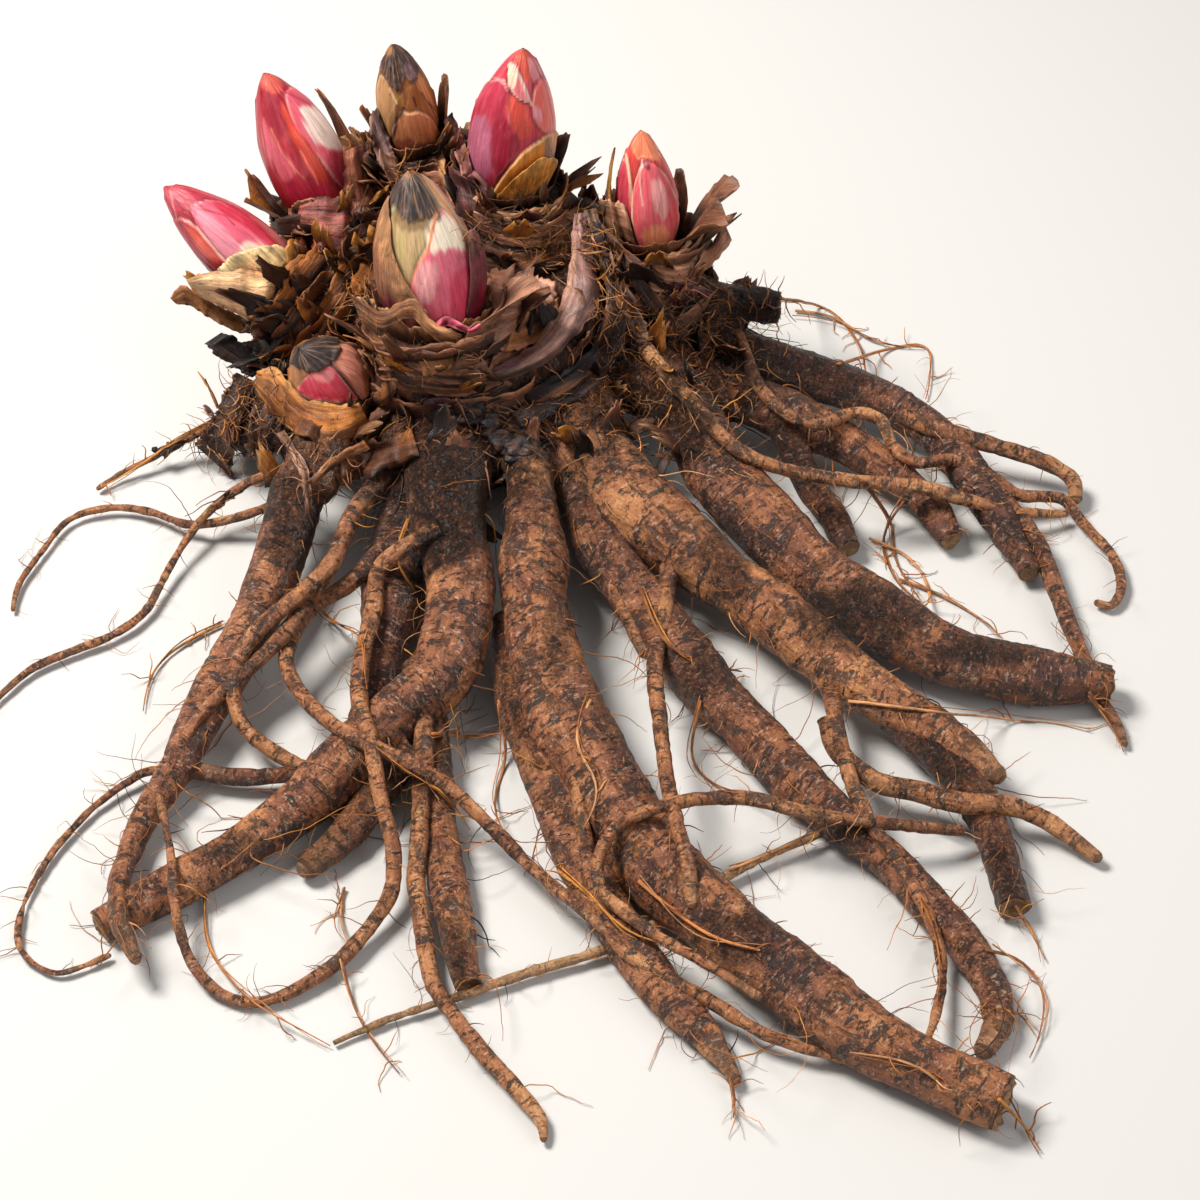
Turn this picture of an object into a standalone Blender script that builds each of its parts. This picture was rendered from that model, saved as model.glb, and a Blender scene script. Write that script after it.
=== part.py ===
"""Rhubarb crown: squat woody rootstock with storage roots, seven buds, and their papery husks and scales.

Lengths are in millimetres until a mesh is written, then in metres. +Z is up and the floor is z = 0.
A root point is (x, y, height, radius). The x and y are the place on the floor where the line of sight from
SIGHT_POINT through the point ends, and placed() moves it along that line to its height.
"""
import math
import random

import bmesh
import bpy
from mathutils import Vector

MILLIMETRE = 0.001
SIGHT_POINT = Vector((40.0, -575.0, 566.0))

# Sides, spacing of the rings and unevenness of each kind of root.
STORAGE = (10, 13.0, 0.05)
SIDE = (6, 13.0, 0.02)
FINE = (5, 13.0, 0.0)
RIDGE = (8, 13.0, 0.05)
NECK = (12, 9.0, 0.03)
SWELL_LENGTH = 8.0
RIB_LENGTH = 14.0
RIB_SHARE = 0.7

BUD_SCALE_STEP = 0.8
BUD_TWIST = math.radians(38.0)
BUD_COLUMNS_PER_SCALE = 5
BUD_SCALES = 3
BUD_EDGE_GAP = 0.03
BUD_TIP = (1.0, 0.06)
BUD_PROFILE = (
    (0.0, 0.72),
    (0.12, 0.88),
    (0.28, 0.99),
    (0.42, 1.0),
    (0.58, 0.91),
    (0.72, 0.73),
    (0.85, 0.49),
    (0.94, 0.27),
)

NODE_GAP = 0.6
BLADE_THICKNESS = 0.9
BLADE_FOOT = 0.4
HUSK_ROWS = (0.0, 0.4, 0.75, 1.0)
SCALE_ROWS = (0.0, 0.2, 0.4, 0.6, 0.8, 1.0)
CUP_COLUMNS = 26
CUP_FLARE = 0.5
RIM_RAGGED = 2.4
TEAR_RAGGED = (-1.0, 0.6)
SCALE_COLUMN_DEGREES = 13.0
SCALE_LEAST_COLUMNS = 6
SCALE_PEAK_AT = 0.42
SCALE_SIDE_HEIGHT = 0.35
SCALE_RAGGED = 0.6
SEAT_CLEARANCE = 0.4
SEAT_HEIGHTS = (-0.5, 2.0, 5.0, 9.0, 16.0, 26.0)
SEAT_SIDES = 20
SEAT_LOW_FLARE = 3.8
SEAT_LOW_HEIGHT = 9.0
NECK_RISE = 3.0
NECK_SINK = 2.0
NECK_MIDDLE = 0.55
LUMP_GRID = (14, 8)
BODY_GRID = (20, 10)
LUMP_SWELL = 0.04
SMOOTH_ANGLE = math.radians(40.0)
BODY_SEED = 50
FIRST_LUMP_SEED = 60
FIRST_NECK_SEED = 80
FIRST_ROOT_SEED = 100

BARK = (0.16, 0.07, 0.03)
BUD_PINK = (0.62, 0.09, 0.13)
BUD_BROWN = (0.42, 0.2, 0.05)
HUSK_BROWN = (0.22, 0.1, 0.04)
SCALE_CREAM = (0.6, 0.52, 0.25)
SCALE_AMBER = (0.5, 0.22, 0.04)
SCALE_DARK = (0.14, 0.05, 0.06)

# Storage roots, from inside the rootstock to the end.
STORAGE_ROOTS = {
    "left": (
        (-33, 21, 24, 9.0), (-40, -14, 25, 8.5), (-44, -24, 21, 7.6), (-47, -45, 17, 7.0),
        (-51, -65, 14, 6.6), (-57, -86, 11.5, 6.0), (-63, -104, 9, 5.6), (-68, -122, 7.5, 5.0),
        (-74, -136, 6, 4.0), (-77.5, -149, 5.5, 3.2), (-79, -161, 8, 2.8), (-77, -172, 11.5, 2.5),
        (-72.5, -182, 9, 1.7),
    ),
    "front_left": (
        (-2, 15, 26, 11.0), (-3, -18, 25, 11.0), (-1.7, -35, 24, 10.2), (2, -58, 21, 9.2),
        (1.7, -76, 18, 8.8), (-2, -92, 15.5, 8.5), (-12, -104, 13, 8.0), (-24, -119, 11, 7.5),
        (-36, -135, 8, 6.6), (-50, -149, 6.3, 5.8), (-65, -160, 5.4, 5.3), (-82, -172, 4.6, 4.4),
    ),
    "front": (
        (13, 13, 26, 8.0), (18, -4, 26, 7.2), (20, -20, 25, 6.8), (21.5, -39, 23, 7.6),
        (22, -61, 20, 9.0), (25, -83, 17, 9.5), (30, -102, 14.5, 9.8), (37, -119, 13, 9.8),
        (45, -136, 11.5, 9.6), (54, -154, 10.4, 9.5), (67, -169, 9.6, 9.1), (81, -184, 9.0, 8.8),
        (99, -201, 8.4, 8.2), (117, -213, 7.8, 7.6), (134, -222, 7.0, 6.4),
    ),
    "right_front": (
        (28, 26, 26, 11.0), (33, 8, 25, 11.5), (37, -6, 24, 11.4), (44, -20, 22, 10.8),
        (54, -35, 20, 10.0), (67, -50, 18, 9.2), (82, -65, 16, 8.2), (97, -82, 14, 7.6),
        (111, -97, 12.5, 7.0), (124, -108, 11.5, 5.8), (135, -118, 11, 4.4), (141.5, -125, 10.5, 2.8),
    ),
    "right_front_branch": (
        (117, -104, 11, 5.5), (124, -113, 9, 6.0), (132, -125, 7, 5.6), (137, -138, 5.6, 5.1),
        (140, -154, 5, 4.6), (141.7, -167, 4.6, 4.0),
    ),
    "right": (
        (46, 40, 28, 10.0), (52, 24, 26, 9.6), (61, 14, 25, 9.5), (68.5, -4, 23, 9.5),
        (76, -22, 20, 9.3), (87.5, -40, 17.5, 9.1), (99, -55, 15.5, 9.0), (114, -71, 13.5, 8.8),
        (130, -84, 11.5, 8.2), (146, -90, 9, 7.6), (161, -93, 7.6, 6.4), (174, -94, 7.2, 4.6),
    ),
    "under_right": (
        (29, -4, 20, 8.5), (38, -30, 17, 8.0), (43, -50, 15, 7.6), (55, -72, 12.5, 7.5),
        (66, -92, 10.5, 7.3), (79, -111, 8.8, 7.0), (91, -128, 7.8, 6.4), (103, -143, 6.8, 5.6),
        (112, -153, 6, 5.1), (121, -166, 5.5, 4.8), (129, -178, 5, 4.6), (134.5, -191, 4.6, 4.2),
        (134.5, -201, 4.2, 3.6), (130.5, -208, 3.6, 2.6),
    ),
    "back_right": (
        (63, 42, 24, 7.5), (75, 36, 21, 7.0), (87.5, 29.5, 18, 6.6), (104, 22, 15, 6.3),
        (119.5, 13, 12, 6.1), (133, 2, 10, 5.8), (141, -11, 8.5, 5.5), (147.5, -27.5, 7.5, 5.0),
        (153, -43, 6, 4.5), (157, -55, 5, 3.4),
    ),
    "back_right_lower": (
        (48, 42, 26, 8.5), (58, 28, 22, 8.0), (69, 19, 20, 7.6), (83, 12.5, 17.5, 7.1),
        (97, 4, 15, 6.6), (111, -6, 12, 6.0), (123, -18, 9, 5.3), (132, -31, 6.5, 4.5),
        (136.5, -43, 5, 3.2),
    ),
    "torn_stub": (
        (55, 50, 32, 7.5), (68, 53, 32, 6.4), (80, 54.5, 31, 5.8), (93, 52, 30, 4.6),
    ),
    "under_left": (
        (-7, -88, 13, 5.5), (-5.6, -105, 9, 5.6), (-3, -123, 6.5, 5.5), (0, -146, 5.2, 5.0),
        (3.7, -167, 4.6, 4.5), (8.3, -189, 4, 3.6),
    ),
    "under_front": (
        (17, -72, 14, 6.5), (19, -97, 9.5, 6.5), (26, -123, 8, 6.6), (34, -149, 6.6, 6.3),
        (44, -172, 6, 6.0), (54, -189, 5, 5.0), (65, -204, 4, 3.6), (71.5, -216, 2.4, 1.8),
    ),
    "short_left": (
        (-7, -116, 11, 5.0), (-13, -124, 7, 5.2), (-23, -143, 5, 4.5), (-33, -154.5, 4, 3.0),
    ),
    "behind_left": (
        (-14, 8, 22, 8.5), (-13, -22, 18, 8.0), (-16, -50, 14, 7.6), (-17, -76, 10.5, 7.0),
        (-19, -100, 8, 6.0), (-22, -120, 6.5, 5.0),
    ),
    "between_right": (
        (91.5, 6.5, 16, 4.5), (98, -20, 9, 4.3), (104, -33, 7, 4.0), (108, -46, 5, 3.2),
    ),
}

# Roots at the hidden back, given where they are: x, y, height, radius.
BACK_ROOTS = {
    "back_middle": ((18, 40, 22, 9.0), (24, 56, 15, 7.5), (32, 70, 9, 6.0), (37, 82, 5.5, 4.2)),
    "back_left": ((-22, 36, 20, 8.5), (-32, 52, 13, 7.0), (-36, 66, 8, 5.4), (-34, 77, 5, 4.0)),
}

# Medium side roots.
SIDE_ROOTS = {
    "over_right": (
        (46, 40, 36, 3.2), (52, 36, 37, 2.7), (60, 23, 37, 2.5), (69, 7.5, 35, 2.4),
        (78.5, -7, 31, 2.4), (91, -15, 26, 2.4), (110, -20, 21, 2.3), (128, -22, 17, 2.2),
        (141, -27, 13, 2.2), (155, -32, 8.5, 1.8), (169, -33, 4, 1.3),
    ),
    "over_back_right": (
        (78, 44, 24, 2.2), (81.5, 38, 26, 2.0), (86, 19, 26, 2.0), (94, 6.5, 24, 2.0),
        (103, 2.5, 22, 2.0), (112, 7, 20, 2.0), (120, 5, 19, 1.9), (123, -6, 17, 1.9),
        (129, -12.5, 15.5, 1.9), (140, -12, 13, 2.0), (149.5, -18, 10.5, 2.2), (157, -25.5, 8, 2.2),
        (168.5, -27, 5, 1.9), (174, -37, 3.2, 1.8), (180, -48, 2.6, 1.7), (181.5, -59, 2.4, 1.6),
        (178, -67, 2.2, 1.4), (174, -66, 2.2, 1.2),
    ),
    "tip_right_high": (
        (126, 7, 13, 2.6), (134, 1.5, 14, 2.8), (142, -2, 13.5, 2.8), (154, -7, 11.5, 2.8),
        (166, -13, 9, 2.8), (172.5, -19.5, 6, 2.6), (172.5, -27, 4, 2.2),
    ),
    "tip_right_low": (
        (148, -17, 9, 3.0), (152, -25.5, 8, 3.0), (160, -43, 6, 3.0), (163, -58, 5, 2.9),
        (165.5, -73, 4, 2.7), (168, -85, 3.4, 2.4), (171, -100, 2.6, 1.9), (174, -108, 2.2, 1.5),
        (175.5, -115, 1.8, 1.1),
    ),
    "hanging_middle": (
        (60, -47, 18, 3.4), (58.5, -57, 18, 2.9), (57, -72, 18, 2.6), (54.5, -88, 18.5, 2.5),
        (55.5, -107, 19, 2.4), (57, -125, 20, 2.4), (59.5, -141, 21.5, 2.2), (62, -154, 21, 2.0),
        (62.5, -166, 17, 1.6),
    ),
    "hanging_short": ((40, -34, 18, 3.0), (43, -56, 16.5, 2.6), (47, -70, 15, 2.3), (52, -84, 12, 2.0)),
    "crossing_right": (
        (131, -143, 7, 1.6), (122, -142, 10.5, 1.8), (106, -140, 14, 2.0), (91, -137, 16, 2.1),
        (78, -133, 18, 2.1), (65.5, -133, 20.5, 2.1), (54, -136, 22.5, 2.0), (45, -141, 22, 2.0),
        (40, -150, 19, 1.9), (40, -161, 16, 1.9), (46, -168, 15, 1.8), (55, -176, 14, 1.7),
        (65, -183, 13.5, 1.6), (78, -193, 11, 1.3),
    ),
    "along_front": (
        (33, -120, 17, 2.2), (35, -133, 15, 2.2), (37, -152, 12, 2.3), (40, -166, 11, 2.3),
        (45, -178, 10, 2.3), (54, -186, 9, 2.2), (66, -194, 8, 2.0), (80, -204, 6, 1.7),
        (99, -211, 4, 1.2),
    ),
    "crossing_left": (
        (-17, -44, 17, 3.2), (-22, -50, 19, 3.0), (-28, -59, 18, 2.7), (-37, -67, 16.5, 2.6),
        (-41.5, -76.5, 15, 2.5), (-43, -87, 14.5, 2.4), (-39, -97, 16, 2.4), (-32, -106, 18, 2.4),
        (-23.5, -113, 19.5, 2.4), (-11.5, -119.5, 19, 2.3), (0.5, -128, 16, 2.2), (11, -140, 12, 2.1),
        (22.5, -154, 9.5, 2.0), (35, -167, 10.5, 1.8), (42, -174, 10.5, 1.4),
    ),
    "looping_left": (
        (-4, -38, 31, 3.2), (-15, -47, 26, 2.8), (-20.5, -55, 22, 2.7), (-21, -68.5, 20, 2.6),
        (-23, -85, 19.5, 2.6), (-23, -100, 20, 2.6), (-19, -115, 20, 2.5), (-16, -131.5, 16, 2.5),
        (-12, -147.5, 11, 2.4), (-11.5, -161, 7, 2.4), (-16, -172, 4.5, 2.3), (-25, -184.5, 3, 2.1),
        (-38, -193.5, 2.4, 1.9), (-48.5, -193.5, 2.3, 1.7), (-58, -184.5, 4, 1.6),
        (-64, -169, 9.6, 1.5), (-67, -151, 12.4, 1.4), (-72, -132, 9, 1.3),
    ),
    "front_tip": (
        (-6, -104, 13.5, 3.0), (-5.3, -117, 12.5, 3.0), (-5.3, -129, 11, 3.0), (-5.4, -146, 10, 2.8),
        (-5.5, -160, 8, 2.7), (-3, -175, 6, 2.6), (-0.4, -188, 5.2, 2.5), (5, -198, 4.6, 2.4),
        (13, -209.5, 4, 2.3), (20, -218, 3.2, 2.2), (26, -226.5, 2.5, 1.8), (27, -232, 2, 1.2),
    ),
    "over_left": (
        (-16, -8, 22, 3.4), (-24, -24, 25, 3.1), (-29, -35, 25.5, 3.0), (-34, -53, 24, 2.9),
        (-42, -64, 22.5, 2.7), (-51, -75, 20.5, 2.6), (-55.5, -86, 17.5, 2.5), (-56, -99.5, 14, 2.4),
        (-51, -111, 10, 2.3), (-42, -119, 7.5, 2.1), (-35, -123, 6.5, 1.8),
    ),
    "beside_left": (
        (-33, -52, 23, 2.6), (-36.5, -61, 20, 2.6), (-44, -76.5, 18, 2.5), (-52.5, -89, 16, 2.3),
        (-62, -102, 14, 2.1), (-68, -115, 11.5, 1.9), (-72, -130, 8.5, 1.5),
    ),
    "low_left": (
        (-26, -125, 8, 3.0), (-39, -125, 5.6, 2.8), (-52, -126, 5, 2.6), (-65, -123.5, 5.5, 2.4),
    ),
    "middle_down": (
        (96, -85, 13, 3.0), (100, -97, 13, 2.8), (101.5, -109, 13, 2.6), (104, -127, 12.5, 2.4),
        (108, -140, 12, 2.2), (113.5, -151.5, 11.5, 2.0), (118.5, -163, 10, 1.8), (122, -175, 8, 1.7),
        (122.5, -187, 5, 1.6), (120, -198, 7, 1.4), (117, -206, 10, 1.1),
    ),
    "tan_right": (
        (99, -107, 12.5, 2.8), (101, -117, 11, 3.0), (110, -127, 9.5, 3.1), (120, -130.5, 9.5, 3.2),
        (131.5, -134, 11, 3.1), (143, -135, 10, 3.0), (152.5, -140, 6.5, 2.8), (160, -147.5, 4, 2.5),
        (164, -151.5, 3, 1.8),
    ),
}

# Thin roots that lie out on the floor.
FINE_ROOTS = {
    "far_left_low": (
        (-62, -123, 5.5, 2.0), (-75, -124, 4.2, 1.8), (-80.5, -127.5, 3, 1.6), (-90, -138, 2.2, 1.4),
        (-98, -153, 1.9, 1.3), (-102, -167.5, 1.8, 1.2), (-100.5, -179.5, 1.8, 1.2),
        (-91, -186, 1.8, 1.1), (-79, -181, 1.8, 1.0),
    ),
    "far_left_high": (
        (-42, -22, 20, 2.2), (-48, -27.5, 14, 2.1), (-60, -34, 8, 1.9), (-73, -37, 5, 1.7),
        (-85, -32, 3.5, 1.6), (-96.5, -30.5, 3, 1.5), (-107, -35, 2.5, 1.4), (-112.5, -46, 2.2, 1.3),
        (-117.5, -59, 2, 1.2), (-118, -68.5, 1.7, 0.9),
    ),
    "far_left_middle": (
        (-43, -14, 22, 2.4), (-57, -19.5, 15, 2.0), (-68, -31, 9, 1.8), (-74.5, -44.5, 6, 1.7),
        (-79, -58.5, 4, 1.7), (-82.5, -69.5, 3, 1.6), (-90, -77.5, 2.6, 1.5), (-99.5, -83, 2.3, 1.5),
        (-109.5, -89, 2.2, 1.4), (-117, -98.5, 2, 1.2), (-119, -103, 1.8, 0.9),
    ),
    "far_left_top": (
        (-45, 24, 24, 2.4), (-52, 10, 22, 2.2), (-65, 6.5, 16, 1.9), (-76, -2, 9, 1.6),
        (-86, -10.5, 5, 1.4), (-94, -16.5, 3, 1.2), (-100.5, -23, 1.8, 0.9),
    ),
    "straw": (
        (-23, -206, 1.5, 1.0), (-10.5, -199.5, 1.8, 1.3), (2, -194.5, 2.4, 1.5), (23, -186, 2.5, 1.8),
        (43.5, -178, 3, 1.8), (58, -168, 3.4, 1.9), (71, -157.5, 3.4, 1.8), (87.5, -148, 3.6, 1.7),
        (103, -140, 4.6, 1.5),
    ),
}

# Ridge of the old wrapped sheath round the foot of the top bud, and the lumps of the rootstock.
SHEATH_RIDGE = (
    (33, 98, 52, 5.0), (37, 94, 53, 5.6), (41.5, 71, 50, 6.0), (40, 51, 47, 6.2),
    (28, 34, 43, 6.2), (14, 21, 39, 6.0), (2, 16, 36, 5.0),
)
# Centre x, y, z and radius x, y, z; the last one is the flat spot that the crown rests on.
LUMPS = (
    (-33.0, 10.0, 22.0, 22.0, 19.0, 18.0),
    (50.0, 20.0, 32.0, 22.0, 20.0, 17.0),
    (9.0, -19.0, 32.0, 15.0, 11.0, 12.0),
    (13.0, -22.0, 22.0, 28.0, 16.5, 16.0),
    (-12.0, -14.0, 15.0, 11.0, 9.0, 9.0),
    (2.0, 42.0, 30.0, 28.0, 18.0, 20.0),
    (30.0, 8.0, 40.0, 18.0, 16.0, 14.0),
    (33.0, 36.0, 34.0, 12.0, 13.0, 17.0),
    (-54.0, -9.0, 13.0, 13.0, 12.0, 10.0),
    (0.0, 0.0, 12.0, 24.0, 20.0, 14.0),
)
BODY = (8.0, 13.0, 25.0, 46.0, 37.0, 27.0)

# Per bud: foot, tip, largest radius, neck start, neck radius at start and end, first scale edge in degrees,
# blade layers round it, largest blade flare.
BUDS = {
    "left": ((-46, 15, 40), (-80, 29.5, 65), 10.4, (-20, 14, 26), 18.0, 13.5, 200, 2, 3.0),
    "upper_left": ((-36.5, 41, 45), (-52.5, 52.5, 86), 11.6, (-15, 26, 26), 19.0, 14.5, 250, 2, 6.0),
    "top_brown": ((-12, 52, 60), (-16.5, 53.5, 95), 9.0, (-5, 36, 30), 20.0, 12.5, 300, 1, 3.5),
    "top_pink": ((13.5, 34, 60), (19.5, 38.5, 105), 12.2, (9, 24, 32), 25.0, 16.0, 280, 2, 3.0),
    "right": ((54, 20, 50), (51, 29, 85), 9.2, (42, 18, 28), 21.0, 13.5, 230, 2, 15.0),
    "front": ((-3, -12, 50), (-9.5, 0, 95), 13.6, (2, -2, 24), 26.0, 18.0, 260, 3, 9.0),
    "lower_left": ((-29, -10, 23), (-41, -16.5, 47), 11.2, (-14, -2, 17), 17.0, 13.5, 320, 1, 3.5),
}

# Torn cups of papery husk: layer, ring height, seed, then points as angle, height, half width, flare.
HUSKS = {
    "left": (
        1, 5.0, 11,
        ((205, 24, 45, 3.0), (150, 12, 30, 2.0), (60, 12, 35, 2.5), (330, 9, 30, 1.5)),
    ),
    "upper_left": (
        1, 5.0, 12,
        (
            (35, 34, 22, 2.0), (335, 20, 28, 3.0), (185, 24, 20, 2.0),
            (207, 16, 18, 6.0), (285, 9, 40, 1.5), (95, 16, 40, 2.0),
        ),
    ),
    "top_brown": (
        0, 5.0, 13,
        ((15, 21, 28, 3.5), (188, 16, 34, 2.5), (280, 8, 40, 1.5), (92, 14, 40, 2.0)),
    ),
    "top_pink": (
        1, 5.0, 14,
        ((25, 15, 30, 3.0), (200, 13, 35, 3.0), (268, 7, 35, 2.0), (105, 16, 35, 2.5)),
    ),
    "right": (
        1, 6.0, 15,
        (
            (354, 21, 30, 15.0), (332, 13, 28, 13.0), (42, 19, 16, 3.0),
            (255, 9, 40, 3.0), (130, 14, 40, 3.0),
        ),
    ),
    "front": (
        1, 6.0, 16,
        ((222, 14, 25, 2.5), (262, 10, 20, 2.0), (298, 9, 22, 2.0), (180, 17, 30, 2.0), (90, 18, 45, 2.0)),
    ),
    "lower_left": (
        0, 5.0, 17,
        ((200, 15, 35, 3.0), (20, 16, 40, 3.5), (290, 9, 35, 2.0), (100, 14, 45, 2.5)),
    ),
}

# Single wrapper scales: bud, layer, from angle, to angle, height, flare, seed, colour.
SCALES = {
    "scale_left_cream": ("left", 0, 175.0, 350.0, 19.0, 1.0, 21, SCALE_CREAM),
    "scale_upper_left": ("upper_left", 0, 215.0, 325.0, 12.0, 1.5, 22, HUSK_BROWN),
    "scale_top_amber": ("top_pink", 0, 258.0, 372.0, 19.0, 1.5, 23, SCALE_AMBER),
    "scale_right_olive": ("right", 0, 150.0, 215.0, 31.0, 2.5, 24, SCALE_DARK),
    "scale_front_hood": ("front", 0, 140.0, 268.0, 41.0, 0.0, 25, SCALE_CREAM),
    "scale_front_purple": ("front", 0, 312.0, 380.0, 30.0, 2.0, 26, SCALE_DARK),
    "scale_front_papery": ("front", 2, 296.0, 396.0, 14.0, 15.0, 27, SCALE_AMBER),
}


def clear_scene():
    for item in list(bpy.data.objects):
        bpy.data.objects.remove(item, do_unlink=True)


def placed(x, y, height):
    """Point at the given height on the line of sight that ends at (x, y) on the floor."""
    foot = Vector((x, y, 0.0))
    return foot + (SIGHT_POINT - foot) * (height / SIGHT_POINT.z)


def material(name, colour, roughness):
    made = bpy.data.materials.new(name)
    made.use_nodes = True
    shader = made.node_tree.nodes["Principled BSDF"]
    shader.inputs["Base Color"].default_value = (*colour, 1.0)
    shader.inputs["Roughness"].default_value = roughness
    return made


def mesh_object(name, points, faces):
    """Object from points in millimetres, with its faces turned outward."""
    mesh = bpy.data.meshes.new(name)
    mesh.from_pydata([Vector(point) * MILLIMETRE for point in points], [], faces)
    work = bmesh.new()
    work.from_mesh(mesh)
    bmesh.ops.recalc_face_normals(work, faces=work.faces)
    work.to_mesh(mesh)
    work.free()
    made = bpy.data.objects.new(name, mesh)
    bpy.context.scene.collection.objects.link(made)
    return made


def finish_node(made, surface):
    made.data.materials.clear()
    made.data.materials.append(surface)
    made.data.shade_smooth()
    made.data.set_sharp_from_angle(angle=SMOOTH_ANGLE)


def curve_through(points, spacing):
    """Stations (centre, radius) about one spacing apart on a smooth curve through the points."""
    stations = []
    last = len(points) - 1
    for index in range(last):
        before, start = points[max(index - 1, 0)], points[index]
        end, after = points[index + 1], points[min(index + 2, last)]
        steps = max(1, round((end[0] - start[0]).length / spacing))
        for step in range(steps):
            t = step / steps
            weights = (
                -0.5 * t + t * t - 0.5 * t**3,
                1.0 - 2.5 * t * t + 1.5 * t**3,
                0.5 * t + 2.0 * t * t - 1.5 * t**3,
                -0.5 * t * t + 0.5 * t**3,
            )
            centre = Vector((0.0, 0.0, 0.0))
            radius = 0.0
            for weight, near in zip(weights, (before, start, end, after)):
                centre += near[0] * weight
                radius += near[1] * weight
            stations.append((centre, radius))
    stations.append(points[-1])
    return stations


def tube(name, stations, sides, unevenness, seed):
    """Closed tube through the stations, with swells along it and ribs round it, all above the floor."""
    chance = random.Random(seed)
    phase = chance.uniform(0.0, math.tau)
    points = []
    side = None
    travelled = 0.0
    last = len(stations) - 1
    for index, (centre, radius) in enumerate(stations):
        ahead = stations[min(index + 1, last)][0]
        behind = stations[max(index - 1, 0)][0]
        along = (ahead - behind).normalized()
        if side is None:
            side = along.cross(Vector((0.0, 0.0, 1.0))).normalized()
        side = (side - along * side.dot(along)).normalized()
        other = along.cross(side)
        travelled += (centre - behind).length
        swell = 1.0 + unevenness * math.sin(travelled / SWELL_LENGTH + phase)
        for corner in range(sides):
            angle = math.tau * corner / sides
            rib = 1.0 + RIB_SHARE * unevenness * math.sin(3.0 * angle + travelled / RIB_LENGTH + phase)
            offset = (side * math.cos(angle) + other * math.sin(angle)) * radius * swell * rib
            point = centre + offset
            points.append((point.x, point.y, max(point.z, 0.0)))
    faces = []
    for index in range(last):
        for corner in range(sides):
            following = (corner + 1) % sides
            low, high = index * sides, (index + 1) * sides
            faces.append((low + corner, low + following, high + following, high + corner))
    faces.append(tuple(range(sides - 1, -1, -1)))
    faces.append(tuple(last * sides + corner for corner in range(sides)))
    return mesh_object(name, points, faces)


def root(name, points, kind, seed):
    sides, spacing, unevenness = kind
    return tube(name, curve_through(points, spacing), sides, unevenness, seed)


def sighted(route):
    return [(placed(x, y, height), radius) for x, y, height, radius in route]


def where_they_are(route):
    return [(Vector((x, y, height)), radius) for x, y, height, radius in route]


def ellipsoid(name, shape, grid, seed):
    """Closed lump whose low side is flattened on the floor."""
    chance = random.Random(seed)
    columns, rows = grid
    x, y, z, wide, deep, high = shape
    points = [(x, y, max(z - high, 0.0))]
    for row in range(1, rows):
        latitude = math.pi * row / rows - math.pi / 2.0
        for column in range(columns):
            angle = math.tau * (column + 0.5 * (row % 2)) / columns
            swell = 1.0 + chance.uniform(-LUMP_SWELL, LUMP_SWELL)
            ring = math.cos(latitude) * swell
            height = max(z + high * math.sin(latitude) * swell, 0.0)
            points.append((x + wide * ring * math.cos(angle), y + deep * ring * math.sin(angle), height))
    points.append((x, y, z + high))
    faces = []
    top = len(points) - 1
    for column in range(columns):
        following = (column + 1) % columns
        faces.append((0, 1 + following, 1 + column))
        faces.append((top, top - columns + column, top - columns + following))
        for row in range(rows - 2):
            low, high_row = 1 + row * columns, 1 + (row + 1) * columns
            faces.append((low + column, low + following, high_row + following, high_row + column))
    return mesh_object(name, points, faces)


class BudFrame:
    """Axis and directions of a bud; angle 0 is to the right, 90 to the back and 270 to the front."""

    def __init__(self, foot, tip, radius):
        self.foot = Vector(foot)
        self.length = (Vector(tip) - self.foot).length
        self.axis = (Vector(tip) - self.foot).normalized()
        right = Vector((1.0, 0.0, 0.0))
        self.right = (right - self.axis * right.dot(self.axis)).normalized()
        self.back = self.axis.cross(self.right)
        self.radius = radius

    def point(self, angle, distance, radius):
        outward = self.right * math.cos(angle) + self.back * math.sin(angle)
        return self.foot + self.axis * distance + outward * radius

    def profile(self, distance):
        """Largest radius of the bud at this distance from its foot."""
        share = min(max(distance / self.length, 0.0), 1.0)
        for (low, low_radius), (high, high_radius) in zip(BUD_PROFILE, BUD_PROFILE[1:] + (BUD_TIP,)):
            if share <= high:
                between = (share - low) / (high - low)
                return self.radius * (low_radius + (high_radius - low_radius) * between)
        return self.radius * BUD_TIP[1]


def bud(name, frame, first_edge, surface):
    """Spindle wrapped in scales: each scale stands one step over the next at its edge."""
    section = []
    for scale in range(BUD_SCALES):
        for column in range(BUD_COLUMNS_PER_SCALE):
            share = column / (BUD_COLUMNS_PER_SCALE - 1)
            turn = scale + BUD_EDGE_GAP + (1.0 - 2.0 * BUD_EDGE_GAP) * share
            angle = math.radians(first_edge) + math.tau * turn / BUD_SCALES
            section.append((angle, 1.0 - share))
    count = len(section)
    points = []
    for share, factor in BUD_PROFILE:
        for angle, lift in section:
            radius = factor * (frame.radius - BUD_SCALE_STEP * (1.0 - lift))
            points.append(frame.point(angle + BUD_TWIST * share, share * frame.length, radius))
    points.append(frame.point(0.0, frame.length, 0.0))
    faces = [tuple(range(count - 1, -1, -1))]
    rows = len(BUD_PROFILE)
    for row in range(rows - 1):
        for column in range(count):
            following = (column + 1) % count
            low, high = row * count, (row + 1) * count
            faces.append((low + column, low + following, high + following, high + column))
    tip = len(points) - 1
    for column in range(count):
        following = (column + 1) % count
        faces.append(((rows - 1) * count + column, (rows - 1) * count + following, tip))
    made = mesh_object(name, points, faces)
    finish_node(made, surface)
    return made


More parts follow.
